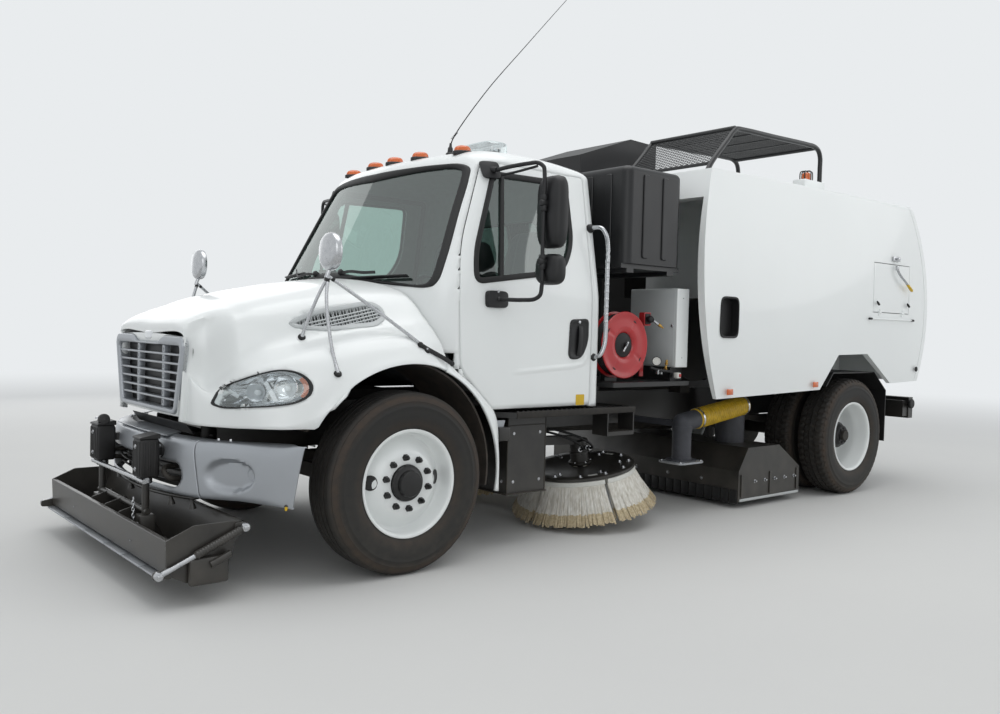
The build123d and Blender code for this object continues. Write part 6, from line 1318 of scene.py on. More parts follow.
def hoodTrim():
    # convex round mirror head on three bent legs with feet on the hood's skin; a rubber latch: a strap over the
    # hood's rear edge with a bulb at its grip, and its hook plate
    parts = mirrorHead((0.415, 0.92, 1.768), 0.1, 0.104, 0.048, 2.2)
    hub = np.array((0.378, 0.92, 1.7))
    parts.append(tubePart(hub + [(0.0, 0, 0.045), (0.01, 0, -0.02), (0.03, 0, -0.075)], 0.012, 0, 14))
    top = hub + (0.02, 0, -0.065)
    thick = np.concatenate([np.full(22, 0.0095), [0.01, 0.011, 0.012, 0.013]])
    for (footX, footZ), knee in (((0.44, 1.118), (0.438, 0.97, 1.4)), ((-0.118, 1.245), (0.14, 1.02, 1.455)),
                                 ((0.5, 1.3), (0.47, 0.87, 1.45))):
        knee, foot = np.array(knee), hoodSpot(footX, footZ, 0.004)[0]
        leg = smoothCurve([top, knee * 0.55 + top * 0.45, knee * 0.5 + foot * 0.5, foot], 26)
        parts.append(tubePart(leg, thick, 0, 12))
        parts.append(lathePart([(0.001, 0.01), (0.014, 0.009), (0.02, 0.003), (0.022, -0.004)], foot, (0.1, 0.6, 0.5),
                               2, 20))
        parts.append(lathePart([(0.0075, -0.01), (0.0105, -0.009), (0.0105, 0.009), (0.0075, 0.01)],
                               top * 0.9 + knee * 0.1, knee - top, 2, 14))
    near = hoodSpot((-0.076, -0.12, -0.165), (1.268, 1.243, 1.222), 0.01)
    line = smoothCurve(np.vstack([near, near[-1] + (-0.055, 0.01, -0.028), near[-1] + (-0.115, 0.006, -0.058)]), 24)
    parts.append(sweepPart(line, superOutline(0.013, 0.005, 3, 14), 2, up=(0, 1, 0.1)))
    for at, size in ((line[0], 0.017), (line[-1], 0.015)):
        parts.append(lathePart([(0.001, 0.012), (size * 0.7, 0.01), (size, 0.002), (size, -0.006)], at, (0.1, 1, 0.3),
                               2, 18))
    return parts


makePiece("hoodMirrorPair", bothSides(hoodTrim()), [plated, chrome, blackRubber], "hood", "hood_mirrors")


def handleParts():
    # grab handle: a bent tube with a mount at each end and knurled rings along its grip
    handle = smoothCurve([(-1.53, 0.97, 2.062), (-1.532, 1.04, 2.066), (-1.536, 1.092, 2.056), (-1.552, 1.117, 2.01),
                          (-1.568, 1.119, 1.94), (-1.57, 1.119, 1.75), (-1.57, 1.119, 1.5), (-1.57, 1.119, 1.34),
                          (-1.562, 1.117, 1.28), (-1.535, 1.104, 1.215), (-1.524, 1.07, 1.203), (-1.52, 1.03, 1.202)],
                         64)
    parts = [tubePart(handle, trimLook["handleTube"], 0, 18)]
    mount = [(0.001, 0.028), (0.019, 0.028), (0.026, 0.02), (0.03, 0.004), (0.031, -0.03)]
    ring = [(0.0143, -0.01), (0.0157, -0.007), (0.0157, 0.007), (0.0143, 0.01)]
    parts += [lathePart(mount, spot, (0, 1, 0), 1, 24) for spot in ((-1.53, 0.985, 2.062), (-1.52, 1.045, 1.202))]
    return parts + [lathePart(ring, (-1.57, 1.119, z), (0, 0, 1), 0, 18) for z in np.linspace(1.44, 1.84, 9)]


makePiece("cabGrabHandles", bothSides(handleParts()), [plated, blackAbs], "chassis", "grab_handles")


def wipers():
    # each arm is a bar along the screen from its pivot, and its blade a strip 12 mm off the glass with a spine
    parts = []
    for y, reach, bladeZ in zip(trimLook["wiperPivots"], (0.36, -0.4), (1.66, 1.712)):
        near = onScreen(y + reach * np.array([0, 0.35, 0.7, 1]), (1.705, 1.7, 1.69, bladeZ + 0.03), 0.026)
        near[0] = onScreen(y, 1.7, 0.012)
        section = [(-0.004, -0.009), (0.004, -0.009), (0.004, 0.009), (-0.004, 0.009)]
        parts.append(sweepPart(smoothCurve(near, 20), section, 0, up=(0.2, 0, 1)))
        parts.append(lathePart([(0.001, 0.04), (0.013, 0.038), (0.019, 0.03), (0.021, 0.0), (0.026, -0.004)],
                               onScreen(y, 1.7, -0.006), (0.8, 0, 0.6), 0, 22))
        along = np.linspace(reach * 0.45, reach * 1.72, 26)
        strip = [(-0.0035, -0.012), (0.0035, -0.012), (0.006, 0.006), (0.003, 0.012), (-0.003, 0.012), (-0.006, 0.006)]
        for section, lift in ((strip, 0.012), (superOutline(0.005, 0.007, 2.4, 10), 0.024)):
            blade = onScreen(y + along, bladeZ + (along - along[0]) * 0.02, lift)
            parts.append(sweepPart(blade, section, 0, up=(0.9, 0, 0.4)))
    return parts


makePiece("screenWipers", wipers(), [blackAbs], "chassis")


def roofSkin(x, y):
    # height of the cab roof under a fitting, found by a ray onto the finished cab skin
    hit, spot, _, _ = cab.ray_cast(Vector((x + fa, y, 4.0)), Vector((0, 0, -1)))
    return spot[2] if hit else 2.5


def lampSet():
    # marker lamps: a base and a domed lens, rows of a superellipse (k, h) that drop by a tenth of x; light bar: a
    # black skirt, a clear cover and four bowls
    look = trimLook
    parts = []
    outline = superOutline(0.062, 0.027, 2.6, 36)
    for x, y in look["markers"]:
        z = roofSkin(x, y)
        for rows, number in ((((1.16, -0.012), (1.16, 0.006), (1.08, 0.011), (1.0, 0.012)), 1),
                             (((1.0, 0.01), (0.97, 0.022), (0.88, 0.033), (0.68, 0.041), (0.4, 0.045),
                               (0.08, 0.046)), 0)):
            parts.append(ringPart([xyz(x + outline[:, 0] * k, y + outline[:, 1] * k, z + h + outline[:, 0] * k * -0.1)
                                   for k, h in rows], number, False, number == 0))
    (x, y), (halfX, halfY) = look["lightBar"], look["lightBarHalf"]
    z, top = roofSkin(x, y), look["lightBarTop"]
    outline = superOutline(halfX, halfY, 4.5, 72)
    skirt = ((0.9, z - 0.012), (0.93, z + 0.02), (1.0, z + 0.04), (1.0, z + 0.07), (0.975, z + 0.078), (0.93, z + 0.08))
    cover = ((0.955, z + 0.078), (0.965, z + 0.084), (0.955, top - 0.028), (0.92, top - 0.01), (0.84, top - 0.002),
             (0.5, top + 0.001), (0.05, top + 0.002))
    parts += [stackPart(outline, (x, y, 0), skirt, 1, capEnd=False), stackPart(outline, (x, y, 0), cover, 2)]
    bowl = [(0.006, 0.0), (0.024, 0.006), (0.036, 0.022), (0.04, 0.04)]
    return parts + [lathePart(bowl, (x, y + k, z + 0.08), (0, 0, 1), 3, 24) for k in (-0.15, -0.05, 0.05, 0.15)]


def antennaParts():
    # whip: a tube tapering from 4.2 to 2.2 mm; its spring: a coil r = 7.5 mm that climbs 1.1 mm per radian
    x, y, _ = trimLook["whip"][0]
    whip = evenly(smoothCurve(trimLook["whip"], 80), 60, closed=False)
    coil = np.linspace(0, 14 * np.pi, 150)
    spring = xyz(x - 0.012 - coil / 90 * 0.14 * 0.6 + 0.0075 * np.sin(coil), y + 0.0075 * np.cos(coil),
                 2.655 + coil * 0.0011)
    return [tubePart(whip, np.linspace(0.0042, 0.0022, 60), 0, 8, up=(0, 1, 0.01)), tubePart(spring, 0.0016, 0, 6)]


def antennaBase():
    # turned rubber foot of the whip on the roof
    x, y, _ = trimLook["whip"][0]
    profile = [(0.001, 0.085), (0.008, 0.084), (0.01, 0.06), (0.017, 0.05), (0.019, 0.02), (0.028, 0.014),
               (0.032, 0.0), (0.033, -0.03)]
    return [lathePart(profile, (x, y, roofSkin(x, y) + 0.012), (-0.05, 0, 1), 1, 24)]


makePiece("roofLampSet", lampSet() + antennaBase(), [amberLens, blackAbs, lampCover, chrome], "chassis",
          "roof_lamps", 45)
makePiece("antennaWhip", antennaParts(), [blackRubber], "chassis", "antenna", 50)
print("stage: mirrors and roof")

# ---- seats
seatLook = {
    "y": (0.45, -0.45), "cushion": ((-1.43, -0.995), 0.232, (1.325, 1.462)),
    "back": ((-1.375, 1.43), (-1.46, 2.075)), "backHalf": 0.222, "backThick": 0.11, "fill": 0.7,
    "channels": (-0.36, 0.36), "taper": 0.16,
}


def padPart(frameAt, halfA, halfB, thick, crown):
    # pad over a superellipse outline (a, b): thickness t (1 - r^6)^(1/2) on each side, crown added towards the
    # middle, sewn channels let in as narrow Gaussian grooves and the border piped
    u = np.linspace(-1, 1, 33)
    a, b = np.meshgrid(u, u, indexing="ij")
    n = 5.0
    scale = np.maximum(np.abs(a), np.abs(b)) / np.maximum((np.abs(a) ** n + np.abs(b) ** n) ** (1 / n), 1e-9)
    a, b = a * scale, b * scale
    r = np.clip((np.abs(a) ** n + np.abs(b) ** n) ** (1 / n), 0, 1)
    body = np.sqrt(np.clip(1 - r**6, 0, 1))
    groove = sum(np.exp(-((a - c) / 0.045) ** 2) for c in seatLook["channels"]) + 0.8 * np.exp(-((r - 0.8) / 0.03) ** 2)
    upper = thick / 2 * body + crown * (1 - r**2) - 0.01 * groove * (r < 0.97)
    wide, long = a * halfA * (1 - 0.02 * (1 - np.abs(b))), b * halfB * (1 - 0.02 * (1 - np.abs(a)))
    return [gridPart(frameAt(wide, long, upper)), gridPart(frameAt(wide, long, -thick / 2 * body), flip=True)]


def seatParts(y):
    # cushion pad, level with a slight rise, and the back's pad, leaned along its line and tapered by
    # 1 - taper (b / length + 1/2)^2
    look = seatLook
    (back, front), half, (low, high) = look["cushion"]
    parts = padPart(lambda a, b, h: xyz((back + front) / 2 + b, y + a, (low + high) / 2 - 0.012 + h + b * 0.05),
                    half, (front - back) / 2, high - low - 0.03, 0.018)
    (x0, z0), (x1, z1) = look["back"]
    length = math.hypot(x1 - x0, z1 - z0)
    alongX, alongZ = (x1 - x0) / length, (z1 - z0) / length
    return parts + padPart(lambda a, b, h: xyz((x0 + x1) / 2 + alongX * b + alongZ * h,
                                               y + a * (1 - look["taper"] * (b / length + 0.5) ** 2),
                                               (z0 + z1) / 2 + alongZ * b - alongX * h),
                           look["backHalf"], length / 2, look["backThick"] - 0.02, 0.01)


for side, y in zip(("left", "right"), seatLook["y"]):
    pads = makePiece(side + "SeatPads", seatParts(y), [seatCloth], "chassis", "seats", 60)
    smoother = pads.modifiers.new("subsurf", "SUBSURF")
    smoother.levels = smoother.render_levels = 1
    base = [blockPart((-1.395, y - 0.15, 1.06), (-1.105, y + 0.15, 1.3), 0.02, 0, 3)]
    base += [blockPart((-1.4, y - 0.156, z), (-1.1, y + 0.156, z + 0.022), 0.009) for z in 1.09 + 0.04 * np.arange(5)]
    makePiece(side + "SeatBase", base, [blackRubber], "chassis")
print("stage: seats")

# ---- brooms, boards, reel, control box, tanks and hoses
broomLook = {
    "at": (-1.889, 0.649), "lean": math.radians(9), "tipRadius": 0.527, "tipZ": 0.0994,
    "discRadius": 0.392, "discLow": 0.29, "discHigh": 0.312, "bandLow": 0.252,
    "segments": 5, "gap": 0.03, "tufts": 64, "layers": 3, "seed": 11,
}
spindle = (math.sin(broomLook["lean"]), 0, math.cos(broomLook["lean"]))


def broomSpot(radius, turn, height):
    # C + r (cos t e1 + sin t e2) + h s, with s the leaning spindle
    (centreX, centreY), (s, _, c) = broomLook["at"], spindle
    out = radius * np.cos(turn)
    return xyz(centreX + out * c + height * s, centreY + radius * np.sin(turn),
               broomLook["tipZ"] - out * s + height * c)


def broomParts():
    # disc: a section turned about the spindle; under it a band per segment and layers of tufts, whose radius grows
    # by s^1.15 and height falls by s from the band to the tip; bolts and tags on top
    look = broomLook
    rng = np.random.default_rng(look["seed"])
    around = np.linspace(0, 2 * np.pi, 96, endpoint=False)
    edge, low, high, bandLow = look["discRadius"], look["discLow"], look["discHigh"], look["bandLow"]
    disc = ((0.07, low - 0.004), (0.07, high - 0.003), (0.3, high - 0.003), (0.306, high), (edge - 0.006, high),
            (edge, high - 0.005), (edge, low), (edge - 0.01, low - 0.004), (0.3, low - 0.004))
    parts = [gridPart([broomSpot(r, around, h) for r, h in disc], 0, True, True)]
    share = 2 * np.pi / look["segments"]
    radii, heights = np.array(((0.384, low - 0.004), (0.391, low - 0.006), (0.395, bandLow + 0.006), (0.391, bandLow),
                               (0.345, bandLow), (0.345, low - 0.004))).T
    s = np.array([0, 0.35, 0.72, 1.0])
    for k in range(look["segments"]):
        arc = k * share + np.linspace(look["gap"], share - look["gap"], 26)
        parts.append(ringPart(broomSpot(radii, arc[:, None], heights), 1, True))
        for layer in range(look["layers"]):
            count = look["tufts"]
            step = (share - 2 * look["gap"]) / (count + 1)
            turn = k * share + look["gap"] + (np.arange(count) + 0.5 + 0.33 * layer) * step
            turn = turn + rng.normal(0, 0.004, count)
            spread = look["tipRadius"] - 0.03 * layer - rng.uniform(0, 0.012, count)
            lift = rng.uniform(0.001, 0.022, count) + 0.006 * layer
            swing = rng.normal(0, 0.011, count)
            width = rng.uniform(0.0048, 0.007, count)
            base = 0.388 - 0.014 * layer
            r = (base + (spread[:, None] - base) * s**1.15)[..., None]
            h = (bandLow + 0.004 + (lift[:, None] - bandLow) * s)[..., None]
            t = (turn[:, None] + swing[:, None] * s**2)[..., None]
            wide = (width[:, None] * (1.0, 1.15, 1.35, 1.15))[..., None]
            for tuft in broomSpot(r + (0, 0.003, 0, -0.003), t + wide * (-1, 0, 1, 0) / r, h):
                parts += [ringPart(tuft[:3], 2, capEnd=False), ringPart(tuft[2:], 3)]
    for k in range(12):
        for radius in (0.35,) if k % 2 else (0.35, 0.285):
            spot = broomSpot(radius, (k + 0.5) * np.pi / 6, high - (0 if radius > 0.3 else 0.003))
            parts += boltParts(spot, spindle, 0.01, 0.014, 4)
    radii, turns = np.array(((0.318, -0.1), (0.318, 0.1), (0.338, 0.1), (0.338, -0.1))).T
    return parts + [ringPart([broomSpot(radii, turn + turns, high + h) for h in (-0.001, 0.0025)], 1)
                    for turn in (1.05, 3.2, 5.3)]


def motorParts():
    # motor with its flanges and bolts, and two ports with the hoses that leave them
    motor = [(0.064, 0.318), (0.082, 0.32), (0.085, 0.324), (0.085, 0.338), (0.081, 0.342), (0.0655, 0.344),
             (0.0655, 0.398), (0.072, 0.402), (0.072, 0.416), (0.0655, 0.42), (0.0655, 0.47), (0.07, 0.474),
             (0.07, 0.494), (0.064, 0.5), (0.001, 0.502)]
    port = [(0.011, 0.0), (0.016, 0.002), (0.016, 0.018), (0.012, 0.02), (0.012, 0.034), (0.015, 0.036), (0.015, 0.048),
            (0.001, 0.049)]
    parts = [lathePart(motor, broomSpot(0.0, 0.0, 0.0), spindle, 0, 40)]
    for k in range(6):
        parts += boltParts(broomSpot(0.075, k * np.pi / 3 + 0.3, 0.338), spindle, 0.007, 0.008, 1)
    for turn in (0.9, 1.6):
        at = broomSpot(0.066, turn, 0.445)
        way = unit(broomSpot(0.2, turn, 0.445) - at)
        parts.append(lathePart(port, at, way, 1, 16))
        hose = at + way * 0.045 + [(0, 0, 0), (0.01, 0.035, 0.015), (0.09, 0.03, 0.07), (0.22, -0.06, 0.125),
                                   (0.34, -0.16, 0.15)]
        parts.append(tubePart(smoothCurve(hose, 30), 0.0085, 2, 12))
    return parts


for side, turned in (("left", unturned), ("right", mirrored)):
    makePiece(side + "BroomBrush", turned(broomParts()), [blackPaint, whiteTrim, bristlePlastic, brownTips, plated],
              side + "_broom", "broom_" + side, weld=0.00001)
    makePiece(side + "BroomMotor", turned(motorParts()), [blackPaint, plated, blackRubber], side + "_arm")
print("stage: brooms")

boardLook = {
    "front": -0.715, "rear": -1.91, "topZ": 0.862,
    "box": ((-1.162, -0.842), (0.64, 1.0), (0.335, 0.82)), "step": ((-1.9, -1.635), (0.96, 1.1), 0.698),
}


def boardParts():
    # raised treads across the boards, a rolled outer edge, box seams with a flange below, and serrated step rims
    look = boardLook
    parts = []
    tread = superOutline(0.013, 0.02, 3, 12)
    for x in np.arange(look["rear"] + 0.03, look["front"] - 0.13, 0.042):
        for y in (0.985, 1.045):
            centre = y + (0.012 if round(x * 1000) % 2 else 0)
            parts.append(ringPart([xyz(x + tread[:, 0] * kx, centre + tread[:, 1] * ky, look["topZ"] + h)
                                   for kx, ky, h in ((1, 1, -0.001), (0.7, 0.8, 0.004))]))
    lip = [(look["front"] - 0.112, 1.098, 0.845), (look["rear"] + 0.002, 1.098, 0.845)]
    parts.append(sweepPart(lip, superOutline(0.006, 0.021, 3, 14), 1))
    (boxRear, boxFront), (boxIn, boxOut), (boxLow, boxHigh) = look["box"]
    for z, reach in ((boxLow + 0.006, 0.022), (boxHigh - 0.05, 0.003)):
        ring = roundedOutline([(boxRear - 0.002, boxIn), (boxFront + reach, boxIn), (boxFront + reach, boxOut + reach),
                               (boxRear - 0.002, boxOut + reach)], 0.006, 3)
        parts.append(stackPart(ring, (0, 0, z), ((1, -0.0035), (1, 0.0035)), 1, True))
    for x, y in ((boxFront, boxOut), (boxRear, boxOut), (boxFront, boxIn + 0.03)):
        parts.append(blockPart((x - 0.005, y - 0.006, boxLow), (x + 0.004, y + 0.003, boxHigh), 0.003, 1))
    for z in (boxLow + 0.08, boxHigh - 0.1):
        for y in (boxIn + 0.07, boxOut - 0.05):
            parts += boltParts((boxFront, y, z), (1, 0, 0), 0.007, 0.006, 2)
        for x in (boxRear + 0.05, boxFront - 0.05):
            parts += boltParts((x, boxOut, z), (0, 1, 0), 0.007, 0.006, 2)
    (stepRear, stepFront), (stepIn, stepOut), stepHigh = look["step"]
    tooth = [(0.009, -0.001), (0.009, 0.003), (0.0065, 0.0045), (0.0045, 0.002), (0.001, 0.001)]
    for x in np.arange(stepRear + 0.018, stepFront, 0.026):
        for y in np.arange(stepIn + 0.02, stepOut, 0.034):
            parts.append(lathePart(tooth, (x, y, stepHigh), (0, 0, 1), 1, 8))
    parts.append(sidePlate([(-0.7, 0.815), (-0.775, 0.815), (-0.735, 0.7)], 0.01, 1.052, 0.006, 3, 3))
    parts.append(blockPart((-0.79, 1.03, 0.69), (-0.7, 1.085, 0.775), 0.008, 0, 3))
    return parts


makePiece("boardTreads", bothSides(boardParts()), [blackPaint, castIron, plated, silverPaint], "chassis")

reelLook = {"at": (-1.84, 1.0, 1.286), "half": 0.054}


def reelParts():
    # pressed flanges with a rolled rim, a dished web and eight radial creases, the hub, spindle and wound hose
    (x, y, z), half = reelLook["at"], reelLook["half"]
    turn = np.linspace(0, 2 * np.pi, 96, endpoint=False)
    groove = np.exp(-((((turn * 4 / np.pi + 0.3) % 2) - 1) / 0.09) ** 2)
    parts = []
    for side in (1, -1):
        parts.append(ringPart([xyz(x + r * np.cos(turn), y + side * (half + out - 0.0035 * groove * (0.11 < r < 0.21)),
                                   z + r * np.sin(turn)) for r, out in
                               ((0.086, -0.02), (0.092, -0.012), (0.104, -0.004), (0.135, -0.002), (0.17, -0.006),
                                (0.205, -0.004), (0.218, 0.0), (0.227, 0.0), (0.231, -0.004), (0.23, -0.01),
                                (0.222, -0.011), (0.205, -0.01), (0.15, -0.012), (0.092, -0.022))], capEnd=False))
        parts.append(lathePart([(0.088, -0.022), (0.08, -0.016), (0.074, -0.016), (0.06, -0.006), (0.03, -0.006),
                                (0.026, -0.001), (0.014, -0.001)], (x, y + side * half, z), (0, side, 0), 1, 40))
    for k, radius in enumerate((0.205, 0.19)):
        for across in np.arange(-0.034, 0.035, 0.017):
            ring = xyz(x + radius * np.cos(turn), y + across + 0.006 * k, z + radius * np.sin(turn))
            parts.append(tubePart(ring, 0.0088, 1, 10, (0, 1, 0), True))
    parts.append(lathePart([(0.12, -0.05), (0.12, 0.05)], (x, y, z), (0, 1, 0), 0, 40))
    return parts


makePiece("hoseReelDrum", reelParts(), [redEnamel, blackRubber], "reel", "hose_reel")


def reelFrame():
    # spindle end, guide bracket with its roller, nozzle, gauge and valve on the deck
    x, y, z = reelLook["at"]
    nozzle, nozzleWay = (-2.125, 1.055, 1.462), (-0.62, 0.22, -0.42)
    gauge, gaugeWay = (-2.15, 1.075, 1.175), (0.75, 0.66, 0.05)
    parts = [lathePart([(0.0125, -0.002), (0.0125, 0.012), (0.01, 0.014), (0.001, 0.015)], (x, y + 0.052, z), (0, 1, 0),
                       1, 20)]
    parts.append(tubePart([(x - 0.018, y + 0.064, z + 0.02), (x + 0.03, y + 0.064, z - 0.045)], 0.007, 1, 14))
    parts.append(sidePlate([(-2.078, 1.425), (-2.078, 1.52), (-2.15, 1.52), (-2.15, 1.425)], 0.012, 1.01, 0.05,
                           steps=3))
    parts.append(blockPart((-2.142, 1.005, 1.435), (-2.086, 1.016, 1.511), 0.006, 2))
    parts.append(sidePlate([(-2.125, 1.43), (-2.085, 1.43), (-2.085, 1.062), (-2.125, 1.062)], 0.006, 0.974, 0.012,
                           steps=2))
    ball = [(0.001, 0.026), (0.014, 0.023), (0.023, 0.013), (0.026, 0.0), (0.023, -0.013), (0.014, -0.023)]
    parts.append(lathePart(ball, (-2.112, 1.036, 1.47), (0.1, 1, 0), 2, 24))
    parts.append(lathePart([(0.001, 0.0), (0.009, 0.001), (0.009, 0.045), (0.007, 0.047)], nozzle, nozzleWay, 1, 16))
    parts.append(lathePart([(0.007, 0.045), (0.011, 0.048), (0.012, 0.066), (0.007, 0.08), (0.005, 0.096),
                            (0.001, 0.097)], nozzle, nozzleWay, 3, 16))
    parts.append(lathePart([(0.03, -0.02), (0.033, -0.018), (0.034, 0.004), (0.03, 0.006), (0.029, 0.002)], gauge,
                           gaugeWay, 2, 32))
    parts.append(lathePart([(0.029, 0.001), (0.001, 0.002)], gauge, gaugeWay, 4, 32))
    hose = smoothCurve([(-2.1, 1.06, 1.13), (-2.17, 1.075, 1.112), (-2.24, 1.085, 1.105), (-2.31, 1.08, 1.098)], 24)
    parts.append(tubePart(hose, 0.01, 2, 12))
    valve = [(0.001, 0.0), (0.012, 0.0), (0.013, 0.012), (0.009, 0.014), (0.009, 0.026), (0.012, 0.028), (0.001, 0.036)]
    for at, low, number in ((-2.17, 1.085, 1), (-2.205, 1.085, 1), (-2.255, 1.11, 3), (-2.262, 1.15, 3)):
        parts.append(lathePart(valve, (at, 1.07, low), (0.1, 0.2, 1), number, 14))
    parts.append(blockPart((-2.385, 1.072, 1.052), (-2.345, 1.108, 1.092), 0.004, 4))
    parts.append(blockPart((-2.38, 1.1, 1.06), (-2.362, 1.115, 1.084), 0.003))
    return parts


makePiece("reelGuide", reelFrame(), [redEnamel, plated, blackAbs, brass, whiteTrim], "chassis")


def boxParts():
    # folded cabinet: front face and body in a grey that is painted shade of the front, a white outer side, lid seam and
    # a quarter-turn lock
    parts = [blockPart((-2.462, 0.65, 1.13), (-2.33, 1.093, 1.7), 0.008, 0, 3),
             blockPart((-2.461, 1.088, 1.131), (-2.331, 1.1, 1.699), 0.005, 1, 3),
             blockPart((-2.332, 0.662, 1.142), (-2.327, 1.078, 1.688), 0.002),
             lathePart([(0.001, 0.01), (0.009, 0.009), (0.012, 0.003), (0.013, -0.002)], (-2.328, 1.06, 1.43),
                       (1, 0, 0), 2, 18)]
    for z in (1.2, 1.63):
        parts += boltParts((-2.395, 1.099, z), (0, 1, 0), 0.005, 0.003, 2, False)
    fitting = [(0.001, 0.0), (0.011, 0.0), (0.011, 0.018), (0.015, 0.02), (0.015, 0.04), (0.01, 0.042), (0.007, 0.058),
               (0.001, 0.059)]
    parts += [lathePart(fitting, (-2.462, 1.045, z), (-1, 0, 0), 3, 16) for z in 1.485 + 0.052 * np.arange(4)]
    parts.append(lathePart([(0.001, 0.0), (0.01, 0.0), (0.011, 0.03), (0.001, 0.034)], (-2.462, 1.045, 1.695),
                           (-1, 0, 0), 4, 16))
    return parts


# the cabinet's grey front face and body are painted shade; its outer side is the white plate
makePiece("controlCabinet", boxParts(), [greyCoatAndPaintedShade, whitePaint, plated, blueFitting, brass], "chassis",
          "control_box")


def tankParts():
    # moulded ribs on the tanks' outer and front faces, and their turned lids
    def rib(at, half):
        # upright rectangle about at, from a rib's foot to its head
        return [(at - half, 1.88), (at + half, 1.88), (at + half, 2.45), (at - half, 2.45)]

    parts = [sidePlate(rib(x, 0.03), 0.02, 1.16, 0.014, bevel=0.005) for x in (-2.1, -1.9)]
    parts += [platePart(roundedOutline(rib(y, 0.028), 0.02, 4), (-1.7125, 0, 0), (0, 1, 0), (0, 0, 1), 0.01,
                        bevel=0.004)
              for y in (0.62, 0.8, 0.98)]
    parts.append(lathePart([(0.12, -0.004), (0.12, 0.012), (0.112, 0.02), (0.108, 0.026), (0.04, 0.03), (0.001, 0.03)],
                           (-2.0, 0.8, 2.499), (0, 0, 1), 0, 40))
    return parts


makePiece("tankRibs", bothSides(tankParts()), [tankPlastic], "chassis")


def hoseParts():
    # convoluted hose: r = 72.5 mm + 6.5 mm |sin(pi s / 26 mm)| along its run, with clamps
    along = np.linspace(0, 0.62, 249)
    run = unit((-600.0, 0, 85.0))
    start = np.array((-2.64, 0.93, 0.7)) + run * 0.155
    parts = [tubePart(start + along[:, None] * run, 0.0725 + 0.0065 * np.abs(np.sin(np.pi * along / 0.026)), 0, 36,
                      (0, 1, 0.01))]
    clamp = [(0.078, -0.009), (0.0815, -0.009), (0.0815, 0.009), (0.078, 0.009)]
    return parts + [lathePart(clamp, start + run * at, run, 1, 40) for at in (0.022, 0.598)]


makePiece("blastHose", hoseParts(), [yellowHose, plated], "chassis", "blast_hose", 50)


def cuffParts():
    # rubber cuffs round the duct, and its bolted flange, a superellipse stacked with bevelled edges
    x, y = -2.64, 0.93
    parts = [lathePart([(0.071, -low), (radius, -low), (radius + 0.002, 0), (radius, low), (0.071, low)], (x, y, z),
                       (0, 0, 1), 0, 36) for z, radius, low in ((0.655, 0.076, 0.02), (0.43, 0.0765, 0.015))]
    parts.append(stackPart(superOutline(0.15, 0.118, 6, 48), (x, y, 0),
                           ((0.99, 0.3985), (1.0, 0.401), (1.0, 0.412), (0.98, 0.414)), 1, True))
    for dx, dy in ((0.12, 0.09), (0.12, -0.09), (-0.12, 0.09), (-0.12, -0.09)):
        parts += boltParts((x + dx, y + dy, 0.414), (0, 0, 1), 0.009, 0.008, 2)
    return parts


makePiece("ductCuffs", cuffParts(), [ductGrey, silverPaint, plated], "chassis")
print("stage: side gear")

# ---- hopper fittings, roof guard, pickup head and tail
guardLook = {
    "feetX": (-2.8, -4.395), "y": (0.1, 0.95),
    "radius": 0.02, "roofZ": (2.562, -0.0178), "diamond": (0.022, 0.046), "strand": 0.0026,
}
hopperLook = {
    "sideY": 1.25, "slot": (-2.748, 1.504), "slotHalf": (0.1075, 0.146),
    "reflectors": ((-2.78, 0.952), (-3.951, 0.985)), "bar": ((-4.8, 1.552), (-5.56, 1.554)),
    "boltX": (-3.42, -3.56, -3.7, -3.84, -3.98), "boltZ": 0.205,
}


def roofZ(x):
    # the hopper roof's height: base + slope (x + 2.52)
    base, slope = guardLook["roofZ"]
    return base + slope * (x + 2.52)


def latticePart(corner, along, across):
    # expanded metal: two families of strands u = c + v d and u = c - v d over a panel of edges along (u) and across (v)
    pitch, tall = guardLook["diamond"]
    corner, along, across = (np.asarray(each, float) for each in (corner, along, across))
    length, width = np.linalg.norm(along), np.linalg.norm(across)
    parts = []
    for slope in (pitch / tall, -pitch / tall):
        for start in np.arange(-width * abs(slope), length + width * abs(slope), pitch * 1.15):
            ends = sorted((-start / slope, (length - start) / slope))
            low, high = max(ends[0], 0), min(ends[1], width)
            if high - low >= 0.02:
                line = [corner + along / length * (start + slope * v) + across / width * v for v in (low, high)]
                parts.append(tubePart(line, guardLook["strand"], 0, 4))
    return parts


def guardParts():
    # two bent side tubes on foot plates, cross bars between them and panels of expanded metal over the top and front
    look = guardLook
    parts = []
    front, rear = look["feetX"]
    foot = superOutline(0.055, 0.032, 6, 24)
    for y in look["y"]:
        path = [(front, roofZ(front) + 0.03), (-2.87, 2.698), (-3.06, 2.895), (-3.125, 2.965), (-3.165, 2.995),
                (-3.26, 3.004), (-3.7, 3.0145), (-4.18, 3.027), (-4.3, 3.024), (-4.365, 2.995), (-4.393, 2.94),
                (-4.395, 2.85), (rear, roofZ(rear) + 0.034)]
        parts.append(tubePart(smoothCurve([(x, y, z) for x, z in path], 80), look["radius"], 0, 16, (0, 1, 0.01)))
        parts.append(stackPart(foot, (front - 0.01, y, roofZ(front) + 0.018), ((1, 0), (1, 0.01)), 0, True))
    low, high = look["y"]
    for x, z, radius, sides in ((-3.15, 3.0, look["radius"], 16), (-4.33, 3.02, look["radius"], 16),
                                (-3.44, 3.007, 0.008, 10), (-3.73, 3.015, 0.008, 10), (-4.02, 3.022, 0.008, 10),
                                (-2.862, 2.688, 0.014, 12)):
        parts.append(tubePart([(x, low, z), (x, high, z)], radius, 0, sides))
    parts += latticePart((-2.865, low, 2.7), (-0.285, 0, 0.3), (0, high - low, 0))
    parts += latticePart((-3.15, low, 3.006), (-1.18, 0, 0.022), (0, high - low, 0))
    return parts


makePiece("roofGuardMesh", guardParts(), [blackPaint], "hopper", "roof_guard")


